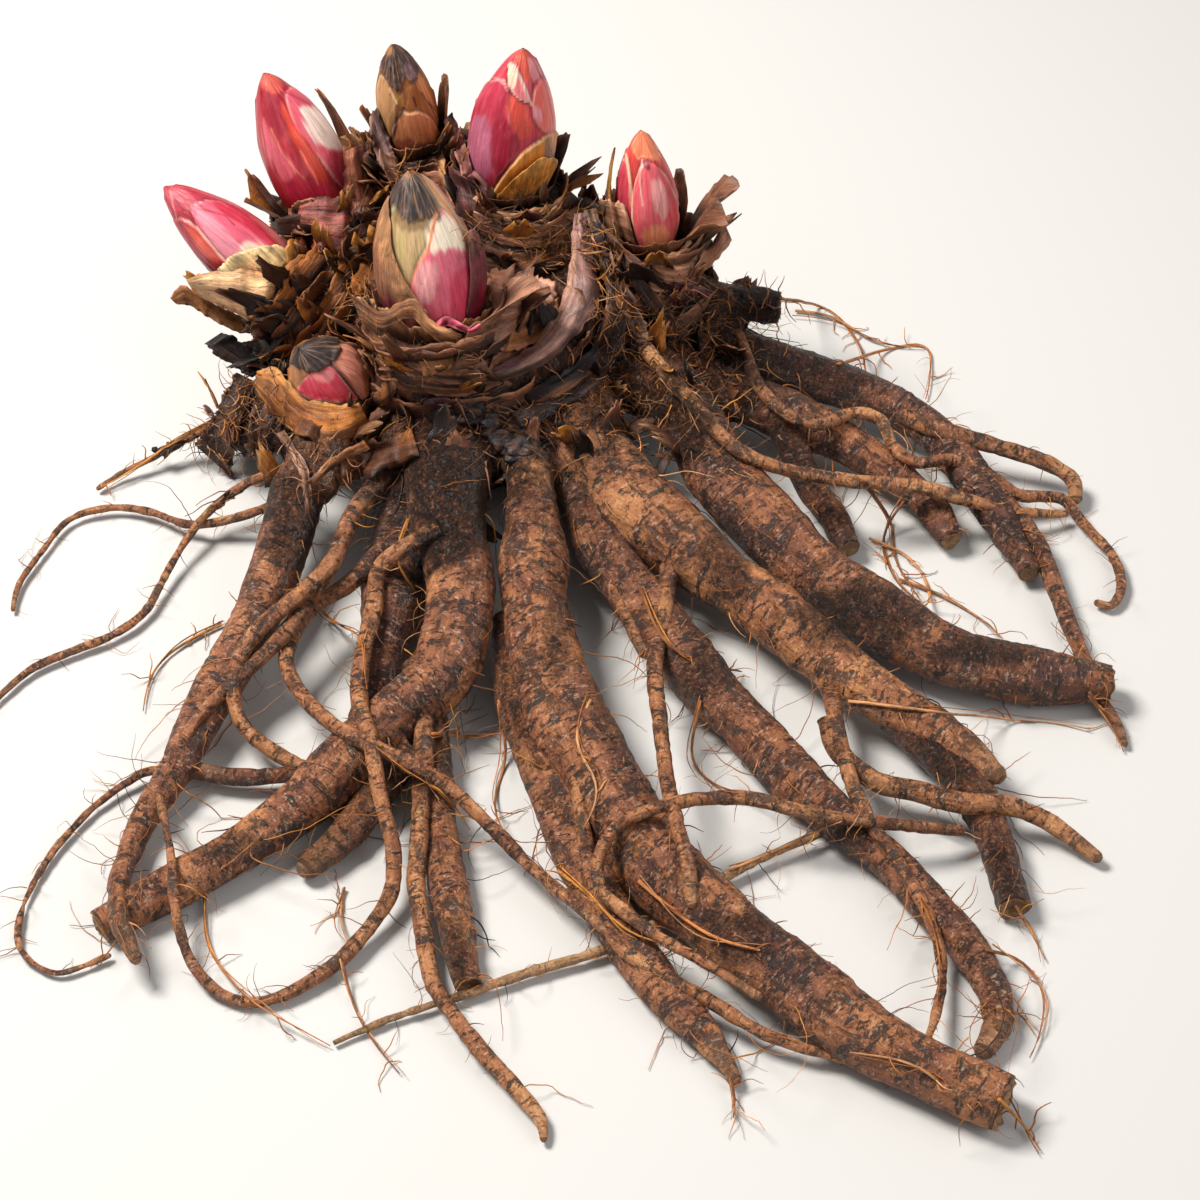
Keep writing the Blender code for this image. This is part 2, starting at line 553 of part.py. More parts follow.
def blade(name, frame, layer, columns, shares, closed, surface):
    """Thin upright wall round a bud; columns are (angle, height, flare)."""
    inset = NODE_GAP + layer * (NODE_GAP + BLADE_THICKNESS)
    rows = len(shares)
    points = []
    for angle, height, flare in columns:
        for thickness in (0.0, BLADE_THICKNESS):
            for share in shares:
                distance = BLADE_FOOT + share * height
                radius = frame.profile(distance) + inset + thickness + flare * share * share
                points.append(frame.point(angle, distance, radius))
    faces = []
    spans = len(columns) if closed else len(columns) - 1
    for column in range(spans):
        here = column * 2 * rows
        there = ((column + 1) % len(columns)) * 2 * rows
        for row in range(rows - 1):
            faces.append((here + row, here + row + 1, there + row + 1, there + row))
            outer_here, outer_there = here + rows + row, there + rows + row
            faces.append((outer_here, outer_there, outer_there + 1, outer_here + 1))
        faces.append((here, there, there + rows, here + rows))
        faces.append((here + rows - 1, here + 2 * rows - 1, there + 2 * rows - 1, there + rows - 1))
    if not closed:
        for start in (0, spans * 2 * rows):
            for row in range(rows - 1):
                faces.append((start + row, start + rows + row, start + rows + row + 1, start + row + 1))
    made = mesh_object(name, points, faces)
    finish_node(made, surface)
    return made


def husk_columns(ring_height, seed, tears):
    """Torn rim: the ring rises to a point at each tear's angle."""
    chance = random.Random(seed)
    columns = []
    for index in range(CUP_COLUMNS):
        degrees = 360.0 * index / CUP_COLUMNS
        height = ring_height + chance.uniform(0.0, RIM_RAGGED)
        flare = CUP_FLARE
        for angle, peak, half_width, spread in tears:
            away = abs((degrees - angle + 180.0) % 360.0 - 180.0)
            share = max(0.0, 1.0 - away / half_width)
            if share > 0.0:
                torn = ring_height + (peak - ring_height) * share + chance.uniform(*TEAR_RAGGED)
                height = max(height, torn)
                flare = max(flare, spread * share)
        columns.append((math.radians(degrees), height, flare))
    return columns


def scale_columns(start, end, height, flare, seed):
    """Pointed scale: low at both sides and highest at SCALE_PEAK_AT of its width."""
    chance = random.Random(seed)
    count = max(SCALE_LEAST_COLUMNS, round((end - start) / SCALE_COLUMN_DEGREES))
    columns = []
    for index in range(count + 1):
        share = index / count
        rise = share / SCALE_PEAK_AT
        if share > SCALE_PEAK_AT:
            rise = (1.0 - share) / (1.0 - SCALE_PEAK_AT)
        fullness = SCALE_SIDE_HEIGHT + (1.0 - SCALE_SIDE_HEIGHT) * math.sin(rise * math.pi / 2.0)
        top = height * fullness + chance.uniform(-SCALE_RAGGED, SCALE_RAGGED)
        columns.append((math.radians(start + (end - start) * share), top, flare * rise))
    return columns


def seat_cutter(name, frame, layers, flare):
    """Solid that clears the bud and its blades from the neck."""
    outer = NODE_GAP + layers * (NODE_GAP + BLADE_THICKNESS)
    sides = SEAT_SIDES
    points = []
    for distance in SEAT_HEIGHTS:
        low_spread = SEAT_LOW_FLARE * min(1.0, max(distance, 0.0) / SEAT_LOW_HEIGHT) ** 2
        spread = max(low_spread, flare * min(1.0, distance / SEAT_HEIGHTS[-1]) ** 2)
        radius = frame.profile(distance) + outer + SEAT_CLEARANCE + spread
        for corner in range(sides):
            points.append(frame.point(math.tau * corner / sides, distance, radius))
    faces = []
    for row in range(len(SEAT_HEIGHTS) - 1):
        for corner in range(sides):
            following = (corner + 1) % sides
            low, high = row * sides, (row + 1) * sides
            faces.append((low + corner, low + following, high + following, high + corner))
    faces.append(tuple(range(sides - 1, -1, -1)))
    faces.append(tuple((len(SEAT_HEIGHTS) - 1) * sides + corner for corner in range(sides)))
    return mesh_object(name, points, faces)


def neck(name, frame, start, start_radius, end_radius, seed):
    top = frame.foot + frame.axis * NECK_RISE
    middle = Vector(start).lerp(frame.foot, NECK_MIDDLE) - frame.axis * NECK_SINK
    middle_radius = 0.5 * (start_radius + end_radius)
    points = [(Vector(start), start_radius), (middle, middle_radius), (top, end_radius)]
    return root(name, points, NECK, seed)


def combined(base, others, operation):
    """Base joined with, or cut by, all the others in one Boolean."""
    group = bpy.data.collections.new(base.name + "_others")
    bpy.context.scene.collection.children.link(group)
    for item in others:
        bpy.context.scene.collection.objects.unlink(item)
        group.objects.link(item)
        item.display_type = "WIRE"
        item.hide_render = True
    step = base.modifiers.new("combine", "BOOLEAN")
    step.operation = operation
    step.operand_type = "COLLECTION"
    step.collection = group
    step.solver = "MANIFOLD"
    view = bpy.context.evaluated_depsgraph_get()
    result = bpy.data.meshes.new_from_object(base.evaluated_get(view))
    base.modifiers.remove(step)
    base.data = result
    for item in list(group.objects):
        bpy.data.objects.remove(item, do_unlink=True)
    bpy.data.collections.remove(group)


def woody_parts(frames):
    routes = [("storage_" + name, sighted(route), STORAGE) for name, route in STORAGE_ROOTS.items()]
    routes += [("storage_" + name, where_they_are(route), STORAGE) for name, route in BACK_ROOTS.items()]
    routes += [("side_" + name, sighted(route), SIDE) for name, route in SIDE_ROOTS.items()]
    routes += [("fine_" + name, sighted(route), FINE) for name, route in FINE_ROOTS.items()]
    routes.append(("sheath_ridge", sighted(SHEATH_RIDGE), RIDGE))
    parts = []
    for seed, (name, points, kind) in enumerate(routes, start=FIRST_ROOT_SEED):
        parts.append(root(name, points, kind, seed))
    for seed, shape in enumerate(LUMPS, start=FIRST_LUMP_SEED):
        parts.append(ellipsoid(f"lump_{seed}", shape, LUMP_GRID, seed))
    for seed, (name, values) in enumerate(BUDS.items(), start=FIRST_NECK_SEED):
        start, start_radius, end_radius = values[3], values[4], values[5]
        parts.append(neck("neck_" + name, frames[name], start, start_radius, end_radius, seed))
    return parts


def rootstock_with_roots(frames):
    body = ellipsoid("rootstock_with_roots", BODY, BODY_GRID, BODY_SEED)
    combined(body, woody_parts(frames), "UNION")
    seats = []
    for name, values in BUDS.items():
        seats.append(seat_cutter("seat_" + name, frames[name], values[7], values[8]))
    combined(body, seats, "DIFFERENCE")
    finish_node(body, material("root_bark", BARK, 0.75))
    return body


def main():
    clear_scene()
    frames = {name: BudFrame(values[0], values[1], values[2]) for name, values in BUDS.items()}
    rootstock_with_roots(frames)
    for name, values in BUDS.items():
        colour = BUD_BROWN if name == "top_brown" else BUD_PINK
        bud("bud_" + name, frames[name], values[6], material("bud_skin_" + name, colour, 0.35))
    for name, (layer, ring_height, seed, tears) in HUSKS.items():
        surface = material("husk_" + name, HUSK_BROWN, 0.7)
        columns = husk_columns(ring_height, seed, tears)
        blade("husk_" + name, frames[name], layer, columns, HUSK_ROWS, True, surface)
    for name, (owner, layer, start, end, height, flare, seed, colour) in SCALES.items():
        surface = material("skin_" + name, colour, 0.5)
        columns = scale_columns(start, end, height, flare, seed)
        blade(name, frames[owner], layer, columns, SCALE_ROWS, False, surface)


main()
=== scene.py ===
"""Rhubarb crown, dressed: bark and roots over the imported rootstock, wrapped buds, torn husks, fibres and soil.

Lengths are in millimetres until a mesh is written, then in metres. +Z is up and the floor is z = 0.
A sighted root point is (x, y, height, radius). The x and y are the place on the floor where the line of sight
from SIGHT_POINT through the point ends, and sighted() moves it along that line to its height.
"""

import math
import random

import bpy
import numpy as np
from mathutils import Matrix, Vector
from mathutils.bvhtree import BVHTree


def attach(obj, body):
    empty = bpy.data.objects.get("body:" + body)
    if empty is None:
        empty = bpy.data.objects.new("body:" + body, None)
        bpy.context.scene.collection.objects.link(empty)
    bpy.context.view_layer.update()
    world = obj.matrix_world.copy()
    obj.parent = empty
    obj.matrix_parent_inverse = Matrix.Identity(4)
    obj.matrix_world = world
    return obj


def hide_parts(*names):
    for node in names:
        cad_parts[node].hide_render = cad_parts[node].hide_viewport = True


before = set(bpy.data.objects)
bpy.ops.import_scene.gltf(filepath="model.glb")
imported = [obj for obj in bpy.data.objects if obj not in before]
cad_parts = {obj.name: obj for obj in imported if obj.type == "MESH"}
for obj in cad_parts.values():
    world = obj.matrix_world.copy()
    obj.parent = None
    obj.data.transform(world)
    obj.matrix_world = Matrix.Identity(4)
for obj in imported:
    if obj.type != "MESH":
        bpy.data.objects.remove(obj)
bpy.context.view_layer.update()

MM = 0.001
TAU = math.tau
SIGHT_POINT = np.array((40.0, -575.0, 566.0))
SIGHT_TARGET = np.array((40.0, -65.0, 0.0))
WOODY = "rootstock_with_roots"

BUD_PROFILE = (
    (0.0, 0.72),
    (0.12, 0.88),
    (0.28, 0.99),
    (0.42, 1.0),
    (0.58, 0.91),
    (0.72, 0.73),
    (0.85, 0.49),
    (0.94, 0.27),
)

# Storage roots, from inside the rootstock to the end.
STORAGE_ROOTS = {
    "left": (
        (-33, 21, 24, 9.0), (-40, -14, 25, 8.5), (-44, -24, 21, 7.6), (-47, -45, 17, 7.0),
        (-51, -65, 14, 6.6), (-57, -86, 11.5, 6.0), (-63, -104, 9, 5.6), (-68, -122, 7.5, 5.0),
        (-74, -136, 6, 4.0), (-77.5, -149, 5.5, 3.2), (-79, -161, 8, 2.8), (-77, -172, 11.5, 2.5),
        (-72.5, -182, 9, 1.7),
    ),
    "front_left": (
        (-2, 15, 26, 11.0), (-3, -18, 25, 11.0), (-1.7, -35, 24, 10.2), (2, -58, 21, 9.2),
        (1.7, -76, 18, 8.8), (-2, -92, 15.5, 8.5), (-12, -104, 13, 8.0), (-24, -119, 11, 7.5),
        (-36, -135, 8, 6.6), (-50, -149, 6.3, 5.8), (-65, -160, 5.4, 5.3), (-82, -172, 4.6, 4.4),
    ),
    "front": (
        (13, 13, 26, 8.0), (18, -4, 26, 7.2), (20, -20, 25, 6.8), (21.5, -39, 23, 7.6),
        (22, -61, 20, 9.0), (25, -83, 17, 9.5), (30, -102, 14.5, 9.8), (37, -119, 13, 9.8),
        (45, -136, 11.5, 9.6), (54, -154, 10.4, 9.5), (67, -169, 9.6, 9.1), (81, -184, 9.0, 8.8),
        (99, -201, 8.4, 8.2), (117, -213, 7.8, 7.6), (134, -222, 7.0, 6.4),
    ),
    "right_front": (
        (28, 26, 26, 11.0), (33, 8, 25, 11.5), (37, -6, 24, 11.4), (44, -20, 22, 10.8),
        (54, -35, 20, 10.0), (67, -50, 18, 9.2), (82, -65, 16, 8.2), (97, -82, 14, 7.6),
        (111, -97, 12.5, 7.0), (124, -108, 11.5, 5.8), (135, -118, 11, 4.4), (141.5, -125, 10.5, 2.8),
    ),
    "right_front_branch": (
        (117, -104, 11, 5.5), (124, -113, 9, 6.0), (132, -125, 7, 5.6), (137, -138, 5.6, 5.1),
        (140, -154, 5, 4.6), (141.7, -167, 4.6, 4.0),
    ),
    "right": (
        (46, 40, 28, 10.0), (52, 24, 26, 9.6), (61, 14, 25, 9.5), (68.5, -4, 23, 9.5),
        (76, -22, 20, 9.3), (87.5, -40, 17.5, 9.1), (99, -55, 15.5, 9.0), (114, -71, 13.5, 8.8),
        (130, -84, 11.5, 8.2), (146, -90, 9, 7.6), (161, -93, 7.6, 6.4), (174, -94, 7.2, 4.6),
    ),
    "under_right": (
        (29, -4, 20, 8.5), (38, -30, 17, 8.0), (43, -50, 15, 7.6), (55, -72, 12.5, 7.5),
        (66, -92, 10.5, 7.3), (79, -111, 8.8, 7.0), (91, -128, 7.8, 6.4), (103, -143, 6.8, 5.6),
        (112, -153, 6, 5.1), (121, -166, 5.5, 4.8), (129, -178, 5, 4.6), (134.5, -191, 4.6, 4.2),
        (134.5, -201, 4.2, 3.6), (130.5, -208, 3.6, 2.6),
    ),
    "back_right": (
        (63, 42, 24, 7.5), (75, 36, 21, 7.0), (87.5, 29.5, 18, 6.6), (104, 22, 15, 6.3),
        (119.5, 13, 12, 6.1), (133, 2, 10, 5.8), (141, -11, 8.5, 5.5), (147.5, -27.5, 7.5, 5.0),
        (153, -43, 6, 4.5), (157, -55, 5, 3.4),
    ),
    "back_right_lower": (
        (48, 42, 26, 8.5), (58, 28, 22, 8.0), (69, 19, 20, 7.6), (83, 12.5, 17.5, 7.1),
        (97, 4, 15, 6.6), (111, -6, 12, 6.0), (123, -18, 9, 5.3), (132, -31, 6.5, 4.5),
        (136.5, -43, 5, 3.2),
    ),
    "torn_stub": (
        (55, 50, 32, 7.5), (68, 53, 32, 6.4), (80, 54.5, 31, 5.8), (93, 52, 30, 4.6),
    ),
    "under_left": (
        (-7, -88, 13, 5.5), (-5.6, -105, 9, 5.6), (-3, -123, 6.5, 5.5), (0, -146, 5.2, 5.0),
        (3.7, -167, 4.6, 4.5), (8.3, -189, 4, 3.6),
    ),
    "under_front": (
        (17, -72, 14, 6.5), (19, -97, 9.5, 6.5), (26, -123, 8, 6.6), (34, -149, 6.6, 6.3),
        (44, -172, 6, 6.0), (54, -189, 5, 5.0), (65, -204, 4, 3.6), (71.5, -216, 2.4, 1.8),
    ),
    "short_left": (
        (-7, -116, 11, 5.0), (-13, -124, 7, 5.2), (-23, -143, 5, 4.5), (-33, -154.5, 4, 3.0),
    ),
    "behind_left": (
        (-14, 8, 22, 8.5), (-13, -22, 18, 8.0), (-16, -50, 14, 7.6), (-17, -76, 10.5, 7.0),
        (-19, -100, 8, 6.0), (-22, -120, 6.5, 5.0),
    ),
    "between_right": (
        (91.5, 6.5, 16, 4.5), (98, -20, 9, 4.3), (104, -33, 7, 4.0), (108, -46, 5, 3.2),
    ),
}

# Roots at the hidden back, given where they are: x, y, height, radius.
BACK_ROOTS = {
    "back_middle": ((18, 40, 22, 9.0), (24, 56, 15, 7.5), (32, 70, 9, 6.0), (37, 82, 5.5, 4.2)),
    "back_left": ((-22, 36, 20, 8.5), (-32, 52, 13, 7.0), (-36, 66, 8, 5.4), (-34, 77, 5, 4.0)),
}

# Medium side roots.
SIDE_ROOTS = {
    "over_right": (
        (46, 40, 36, 3.2), (52, 36, 37, 2.7), (60, 23, 37, 2.5), (69, 7.5, 35, 2.4),
        (78.5, -7, 31, 2.4), (91, -15, 26, 2.4), (110, -20, 21, 2.3), (128, -22, 17, 2.2),
        (141, -27, 13, 2.2), (155, -32, 8.5, 1.8), (169, -33, 4, 1.3),
    ),
    "over_back_right": (
        (78, 44, 24, 2.2), (81.5, 38, 26, 2.0), (86, 19, 26, 2.0), (94, 6.5, 24, 2.0),
        (103, 2.5, 22, 2.0), (112, 7, 20, 2.0), (120, 5, 19, 1.9), (123, -6, 17, 1.9),
        (129, -12.5, 15.5, 1.9), (140, -12, 13, 2.0), (149.5, -18, 10.5, 2.2), (157, -25.5, 8, 2.2),
        (168.5, -27, 5, 1.9), (174, -37, 3.2, 1.8), (180, -48, 2.6, 1.7), (181.5, -59, 2.4, 1.6),
        (178, -67, 2.2, 1.4), (174, -66, 2.2, 1.2),
    ),
    "tip_right_high": (
        (126, 7, 13, 2.6), (134, 1.5, 14, 2.8), (142, -2, 13.5, 2.8), (154, -7, 11.5, 2.8),
        (166, -13, 9, 2.8), (172.5, -19.5, 6, 2.6), (172.5, -27, 4, 2.2),
    ),
    "tip_right_low": (
        (148, -17, 9, 3.0), (152, -25.5, 8, 3.0), (160, -43, 6, 3.0), (163, -58, 5, 2.9),
        (165.5, -73, 4, 2.7), (168, -85, 3.4, 2.4), (171, -100, 2.6, 1.9), (174, -108, 2.2, 1.5),
        (175.5, -115, 1.8, 1.1),
    ),
    "hanging_middle": (
        (60, -47, 18, 3.4), (58.5, -57, 18, 2.9), (57, -72, 18, 2.6), (54.5, -88, 18.5, 2.5),
        (55.5, -107, 19, 2.4), (57, -125, 20, 2.4), (59.5, -141, 21.5, 2.2), (62, -154, 21, 2.0),
        (62.5, -166, 17, 1.6),
    ),
    "hanging_short": ((40, -34, 18, 3.0), (43, -56, 16.5, 2.6), (47, -70, 15, 2.3), (52, -84, 12, 2.0)),
    "crossing_right": (
        (131, -143, 7, 1.6), (122, -142, 10.5, 1.8), (106, -140, 14, 2.0), (91, -137, 16, 2.1),
        (78, -133, 18, 2.1), (65.5, -133, 20.5, 2.1), (54, -136, 22.5, 2.0), (45, -141, 22, 2.0),
        (40, -150, 19, 1.9), (40, -161, 16, 1.9), (46, -168, 15, 1.8), (55, -176, 14, 1.7),
        (65, -183, 13.5, 1.6), (78, -193, 11, 1.3),
    ),
    "along_front": (
        (33, -120, 17, 2.2), (35, -133, 15, 2.2), (37, -152, 12, 2.3), (40, -166, 11, 2.3),
        (45, -178, 10, 2.3), (54, -186, 9, 2.2), (66, -194, 8, 2.0), (80, -204, 6, 1.7),
        (99, -211, 4, 1.2),
    ),
    "crossing_left": (
        (-17, -44, 17, 3.2), (-22, -50, 19, 3.0), (-28, -59, 18, 2.7), (-37, -67, 16.5, 2.6),
        (-41.5, -76.5, 15, 2.5), (-43, -87, 14.5, 2.4), (-39, -97, 16, 2.4), (-32, -106, 18, 2.4),
        (-23.5, -113, 19.5, 2.4), (-11.5, -119.5, 19, 2.3), (0.5, -128, 16, 2.2), (11, -140, 12, 2.1),
        (22.5, -154, 9.5, 2.0), (35, -167, 10.5, 1.8), (42, -174, 10.5, 1.4),
    ),
    "looping_left": (
        (-4, -38, 31, 3.2), (-15, -47, 26, 2.8), (-20.5, -55, 22, 2.7), (-21, -68.5, 20, 2.6),
        (-23, -85, 19.5, 2.6), (-23, -100, 20, 2.6), (-19, -115, 20, 2.5), (-16, -131.5, 16, 2.5),
        (-12, -147.5, 11, 2.4), (-11.5, -161, 7, 2.4), (-16, -172, 4.5, 2.3), (-25, -184.5, 3, 2.1),
        (-38, -193.5, 2.4, 1.9), (-48.5, -193.5, 2.3, 1.7), (-58, -184.5, 4, 1.6),
        (-64, -169, 9.6, 1.5), (-67, -151, 12.4, 1.4), (-72, -132, 9, 1.3),
    ),
    "front_tip": (
        (-6, -104, 13.5, 3.0), (-5.3, -117, 12.5, 3.0), (-5.3, -129, 11, 3.0), (-5.4, -146, 10, 2.8),
        (-5.5, -160, 8, 2.7), (-3, -175, 6, 2.6), (-0.4, -188, 5.2, 2.5), (5, -198, 4.6, 2.4),
        (13, -209.5, 4, 2.3), (20, -218, 3.2, 2.2), (26, -226.5, 2.5, 1.8), (27, -232, 2, 1.2),
    ),
    "over_left": (
        (-16, -8, 22, 3.4), (-24, -24, 25, 3.1), (-29, -35, 25.5, 3.0), (-34, -53, 24, 2.9),
        (-42, -64, 22.5, 2.7), (-51, -75, 20.5, 2.6), (-55.5, -86, 17.5, 2.5), (-56, -99.5, 14, 2.4),
        (-51, -111, 10, 2.3), (-42, -119, 7.5, 2.1), (-35, -123, 6.5, 1.8),
    ),
    "beside_left": (
        (-33, -52, 23, 2.6), (-36.5, -61, 20, 2.6), (-44, -76.5, 18, 2.5), (-52.5, -89, 16, 2.3),
        (-62, -102, 14, 2.1), (-68, -115, 11.5, 1.9), (-72, -130, 8.5, 1.5),
    ),
    "low_left": (
        (-26, -125, 8, 3.0), (-39, -125, 5.6, 2.8), (-52, -126, 5, 2.6), (-65, -123.5, 5.5, 2.4),
    ),
    "middle_down": (
        (96, -85, 13, 3.0), (100, -97, 13, 2.8), (101.5, -109, 13, 2.6), (104, -127, 12.5, 2.4),
        (108, -140, 12, 2.2), (113.5, -151.5, 11.5, 2.0), (118.5, -163, 10, 1.8), (122, -175, 8, 1.7),
        (122.5, -187, 5, 1.6), (120, -198, 7, 1.4), (117, -206, 10, 1.1),
    ),
    "tan_right": (
        (99, -107, 12.5, 2.8), (101, -117, 11, 3.0), (110, -127, 9.5, 3.1), (120, -130.5, 9.5, 3.2),
        (131.5, -134, 11, 3.1), (143, -135, 10, 3.0), (152.5, -140, 6.5, 2.8), (160, -147.5, 4, 2.5),
        (164, -151.5, 3, 1.8),
    ),
}

# Thin roots that lie out on the floor.
FINE_ROOTS = {
    "far_left_low": (
        (-62, -123, 5.5, 2.0), (-75, -124, 4.2, 1.8), (-80.5, -127.5, 3, 1.6), (-90, -138, 2.2, 1.4),
        (-98, -153, 1.9, 1.3), (-102, -167.5, 1.8, 1.2), (-100.5, -179.5, 1.8, 1.2),
        (-91, -186, 1.8, 1.1), (-79, -181, 1.8, 1.0),
    ),
    "far_left_high": (
        (-42, -22, 20, 2.2), (-48, -27.5, 14, 2.1), (-60, -34, 8, 1.9), (-73, -37, 5, 1.7),
        (-85, -32, 3.5, 1.6), (-96.5, -30.5, 3, 1.5), (-107, -35, 2.5, 1.4), (-112.5, -46, 2.2, 1.3),
        (-117.5, -59, 2, 1.2), (-118, -68.5, 1.7, 0.9),
    ),
    "far_left_middle": (
        (-43, -14, 22, 2.4), (-57, -19.5, 15, 2.0), (-68, -31, 9, 1.8), (-74.5, -44.5, 6, 1.7),
        (-79, -58.5, 4, 1.7), (-82.5, -69.5, 3, 1.6), (-90, -77.5, 2.6, 1.5), (-99.5, -83, 2.3, 1.5),
        (-109.5, -89, 2.2, 1.4), (-117, -98.5, 2, 1.2), (-119, -103, 1.8, 0.9),
    ),
    "far_left_top": (
        (-45, 24, 24, 2.4), (-52, 10, 22, 2.2), (-65, 6.5, 16, 1.9), (-76, -2, 9, 1.6),
        (-86, -10.5, 5, 1.4), (-94, -16.5, 3, 1.2), (-100.5, -23, 1.8, 0.9),
    ),
    "straw": (
        (-23, -206, 1.5, 1.0), (-10.5, -199.5, 1.8, 1.3), (2, -194.5, 2.4, 1.5), (23, -186, 2.5, 1.8),
        (43.5, -178, 3, 1.8), (58, -168, 3.4, 1.9), (71, -157.5, 3.4, 1.8), (87.5, -148, 3.6, 1.7),
        (103, -140, 4.6, 1.5),
    ),
}

# Ridge of the old wrapped sheath round the foot of the top bud, and the lumps of the rootstock.
SHEATH_RIDGE = (
    (33, 98, 52, 5.0), (37, 94, 53, 5.6), (41.5, 71, 50, 6.0), (40, 51, 47, 6.2),
    (28, 34, 43, 6.2), (14, 21, 39, 6.0), (2, 16, 36, 5.0),
)
# Centre x, y, z and radius x, y, z; the last one is the flat spot that the crown rests on.
LUMPS = (
    (-33.0, 10.0, 22.0, 22.0, 19.0, 18.0),
    (50.0, 20.0, 32.0, 22.0, 20.0, 17.0),
    (9.0, -19.0, 32.0, 15.0, 11.0, 12.0),
    (13.0, -22.0, 22.0, 28.0, 16.5, 16.0),
    (-12.0, -14.0, 15.0, 11.0, 9.0, 9.0),
    (2.0, 42.0, 30.0, 28.0, 18.0, 20.0),
    (30.0, 8.0, 40.0, 18.0, 16.0, 14.0),
    (33.0, 36.0, 34.0, 12.0, 13.0, 17.0),
    (-54.0, -9.0, 13.0, 13.0, 12.0, 10.0),
    (0.0, 0.0, 12.0, 24.0, 20.0, 14.0),
)
BODY = (8.0, 13.0, 25.0, 46.0, 37.0, 27.0)

# Per bud: foot, tip, largest radius, neck start, neck radius at start and end, first scale edge in degrees,
# blade layers round it, largest blade flare.
BUDS = {
    "left": ((-46, 15, 40), (-80, 29.5, 65), 10.4, (-20, 14, 26), 18.0, 13.5, 200, 2, 3.0),
    "upper_left": ((-36.5, 41, 45), (-52.5, 52.5, 86), 11.6, (-15, 26, 26), 19.0, 14.5, 250, 2, 6.0),
    "top_brown": ((-12, 52, 60), (-16.5, 53.5, 95), 9.0, (-5, 36, 30), 20.0, 12.5, 300, 1, 3.5),
    "top_pink": ((13.5, 34, 60), (19.5, 38.5, 105), 12.2, (9, 24, 32), 25.0, 16.0, 280, 2, 3.0),
    "right": ((54, 20, 50), (51, 29, 85), 9.2, (42, 18, 28), 21.0, 13.5, 230, 2, 15.0),
    "front": ((-3, -12, 50), (-9.5, 0, 95), 13.6, (2, -2, 24), 26.0, 18.0, 260, 3, 9.0),
    "lower_left": ((-29, -10, 23), (-41, -16.5, 47), 11.2, (-14, -2, 17), 17.0, 13.5, 320, 1, 3.5),
}

# Torn cups of papery husk: layer, ring height, seed, then points as angle, height, half width, flare.
HUSKS = {
    "left": (
        1, 5.0, 11,
        ((205, 24, 45, 3.0), (150, 12, 30, 2.0), (60, 12, 35, 2.5), (330, 9, 30, 1.5)),
    ),
    "upper_left": (
        1, 5.0, 12,
        (
            (35, 34, 22, 2.0), (335, 20, 28, 3.0), (185, 24, 20, 2.0),
            (207, 16, 18, 6.0), (285, 9, 40, 1.5), (95, 16, 40, 2.0),
        ),
    ),
    "top_brown": (
        0, 5.0, 13,
        ((15, 21, 28, 3.5), (188, 16, 34, 2.5), (280, 8, 40, 1.5), (92, 14, 40, 2.0)),
    ),
    "top_pink": (
        1, 5.0, 14,
        ((25, 15, 30, 3.0), (200, 13, 35, 3.0), (268, 7, 35, 2.0), (105, 16, 35, 2.5)),
    ),
    "right": (
        1, 6.0, 15,
        (
            (354, 21, 30, 15.0), (332, 13, 28, 13.0), (42, 19, 16, 3.0),
            (255, 9, 40, 3.0), (130, 14, 40, 3.0),
        ),
    ),
    "front": (
        1, 6.0, 16,
        ((222, 14, 25, 2.5), (262, 10, 20, 2.0), (298, 9, 22, 2.0), (180, 17, 30, 2.0), (90, 18, 45, 2.0)),
    ),
    "lower_left": (
        0, 5.0, 17,
        ((200, 15, 35, 3.0), (20, 16, 40, 3.5), (290, 9, 35, 2.0), (100, 14, 45, 2.5)),
    ),
}

# Single wrapper scales: bud, layer, from angle, to angle, height, flare, seed, colour.
SCALES = {
    "scale_left_cream": ("left", 0, 175.0, 350.0, 19.0, 1.0, 21, None),
    "scale_upper_left": ("upper_left", 0, 215.0, 325.0, 12.0, 1.5, 22, None),
    "scale_top_amber": ("top_pink", 0, 258.0, 372.0, 19.0, 1.5, 23, None),
    "scale_right_olive": ("right", 0, 150.0, 215.0, 31.0, 2.5, 24, None),
    "scale_front_hood": ("front", 0, 140.0, 268.0, 41.0, 0.0, 25, None),
    "scale_front_purple": ("front", 0, 312.0, 380.0, 30.0, 2.0, 26, None),
    "scale_front_papery": ("front", 2, 296.0, 396.0, 14.0, 15.0, 27, None),
}


# Numbers and noise

def lattice(cells, seed):
    """A settled number from 0 to 1 for each whole-number cell."""
    key = cells.astype(np.int64)
    mixed = (key[..., 0] * 73856093) ^ (key[..., 1] * 19349663) ^ (key[..., 2] * 83492791) ^ (seed * 7919 + 17)
    mixed = ((mixed ^ (mixed >> 13)) & 0xFFFFFFFF) * 1274126177 & 0xFFFFFFFF
    mixed = ((mixed ^ (mixed >> 16)) & 0xFFFFFFFF) * 2246822519 & 0xFFFFFFFF
    return ((mixed ^ (mixed >> 15)) & 0xFFFFFF) / 16777215.0


def noise(points, size, seed):
    """Smooth noise from -1 to 1 whose features are about this many millimetres across."""
    scaled = np.asarray(points, float) / size
    base = np.floor(scaled)
    part = scaled - base
    part = part * part * (3.0 - 2.0 * part)
    total = np.zeros(scaled.shape[:-1])
    for corner in range(8):
        step = np.array([(corner >> axis) & 1 for axis in range(3)])
        weight = np.prod(np.where(step == 1, part, 1.0 - part), axis=-1)
        total += weight * lattice(base + step, seed)
    return total * 2.0 - 1.0


def fractal(points, size, seed, octaves=3):
    total, share = 0.0, 1.0
    for octave in range(octaves):
        total = total + share * noise(points, size / 2.0**octave, seed + 31 * octave)
        share *= 0.5
    return total


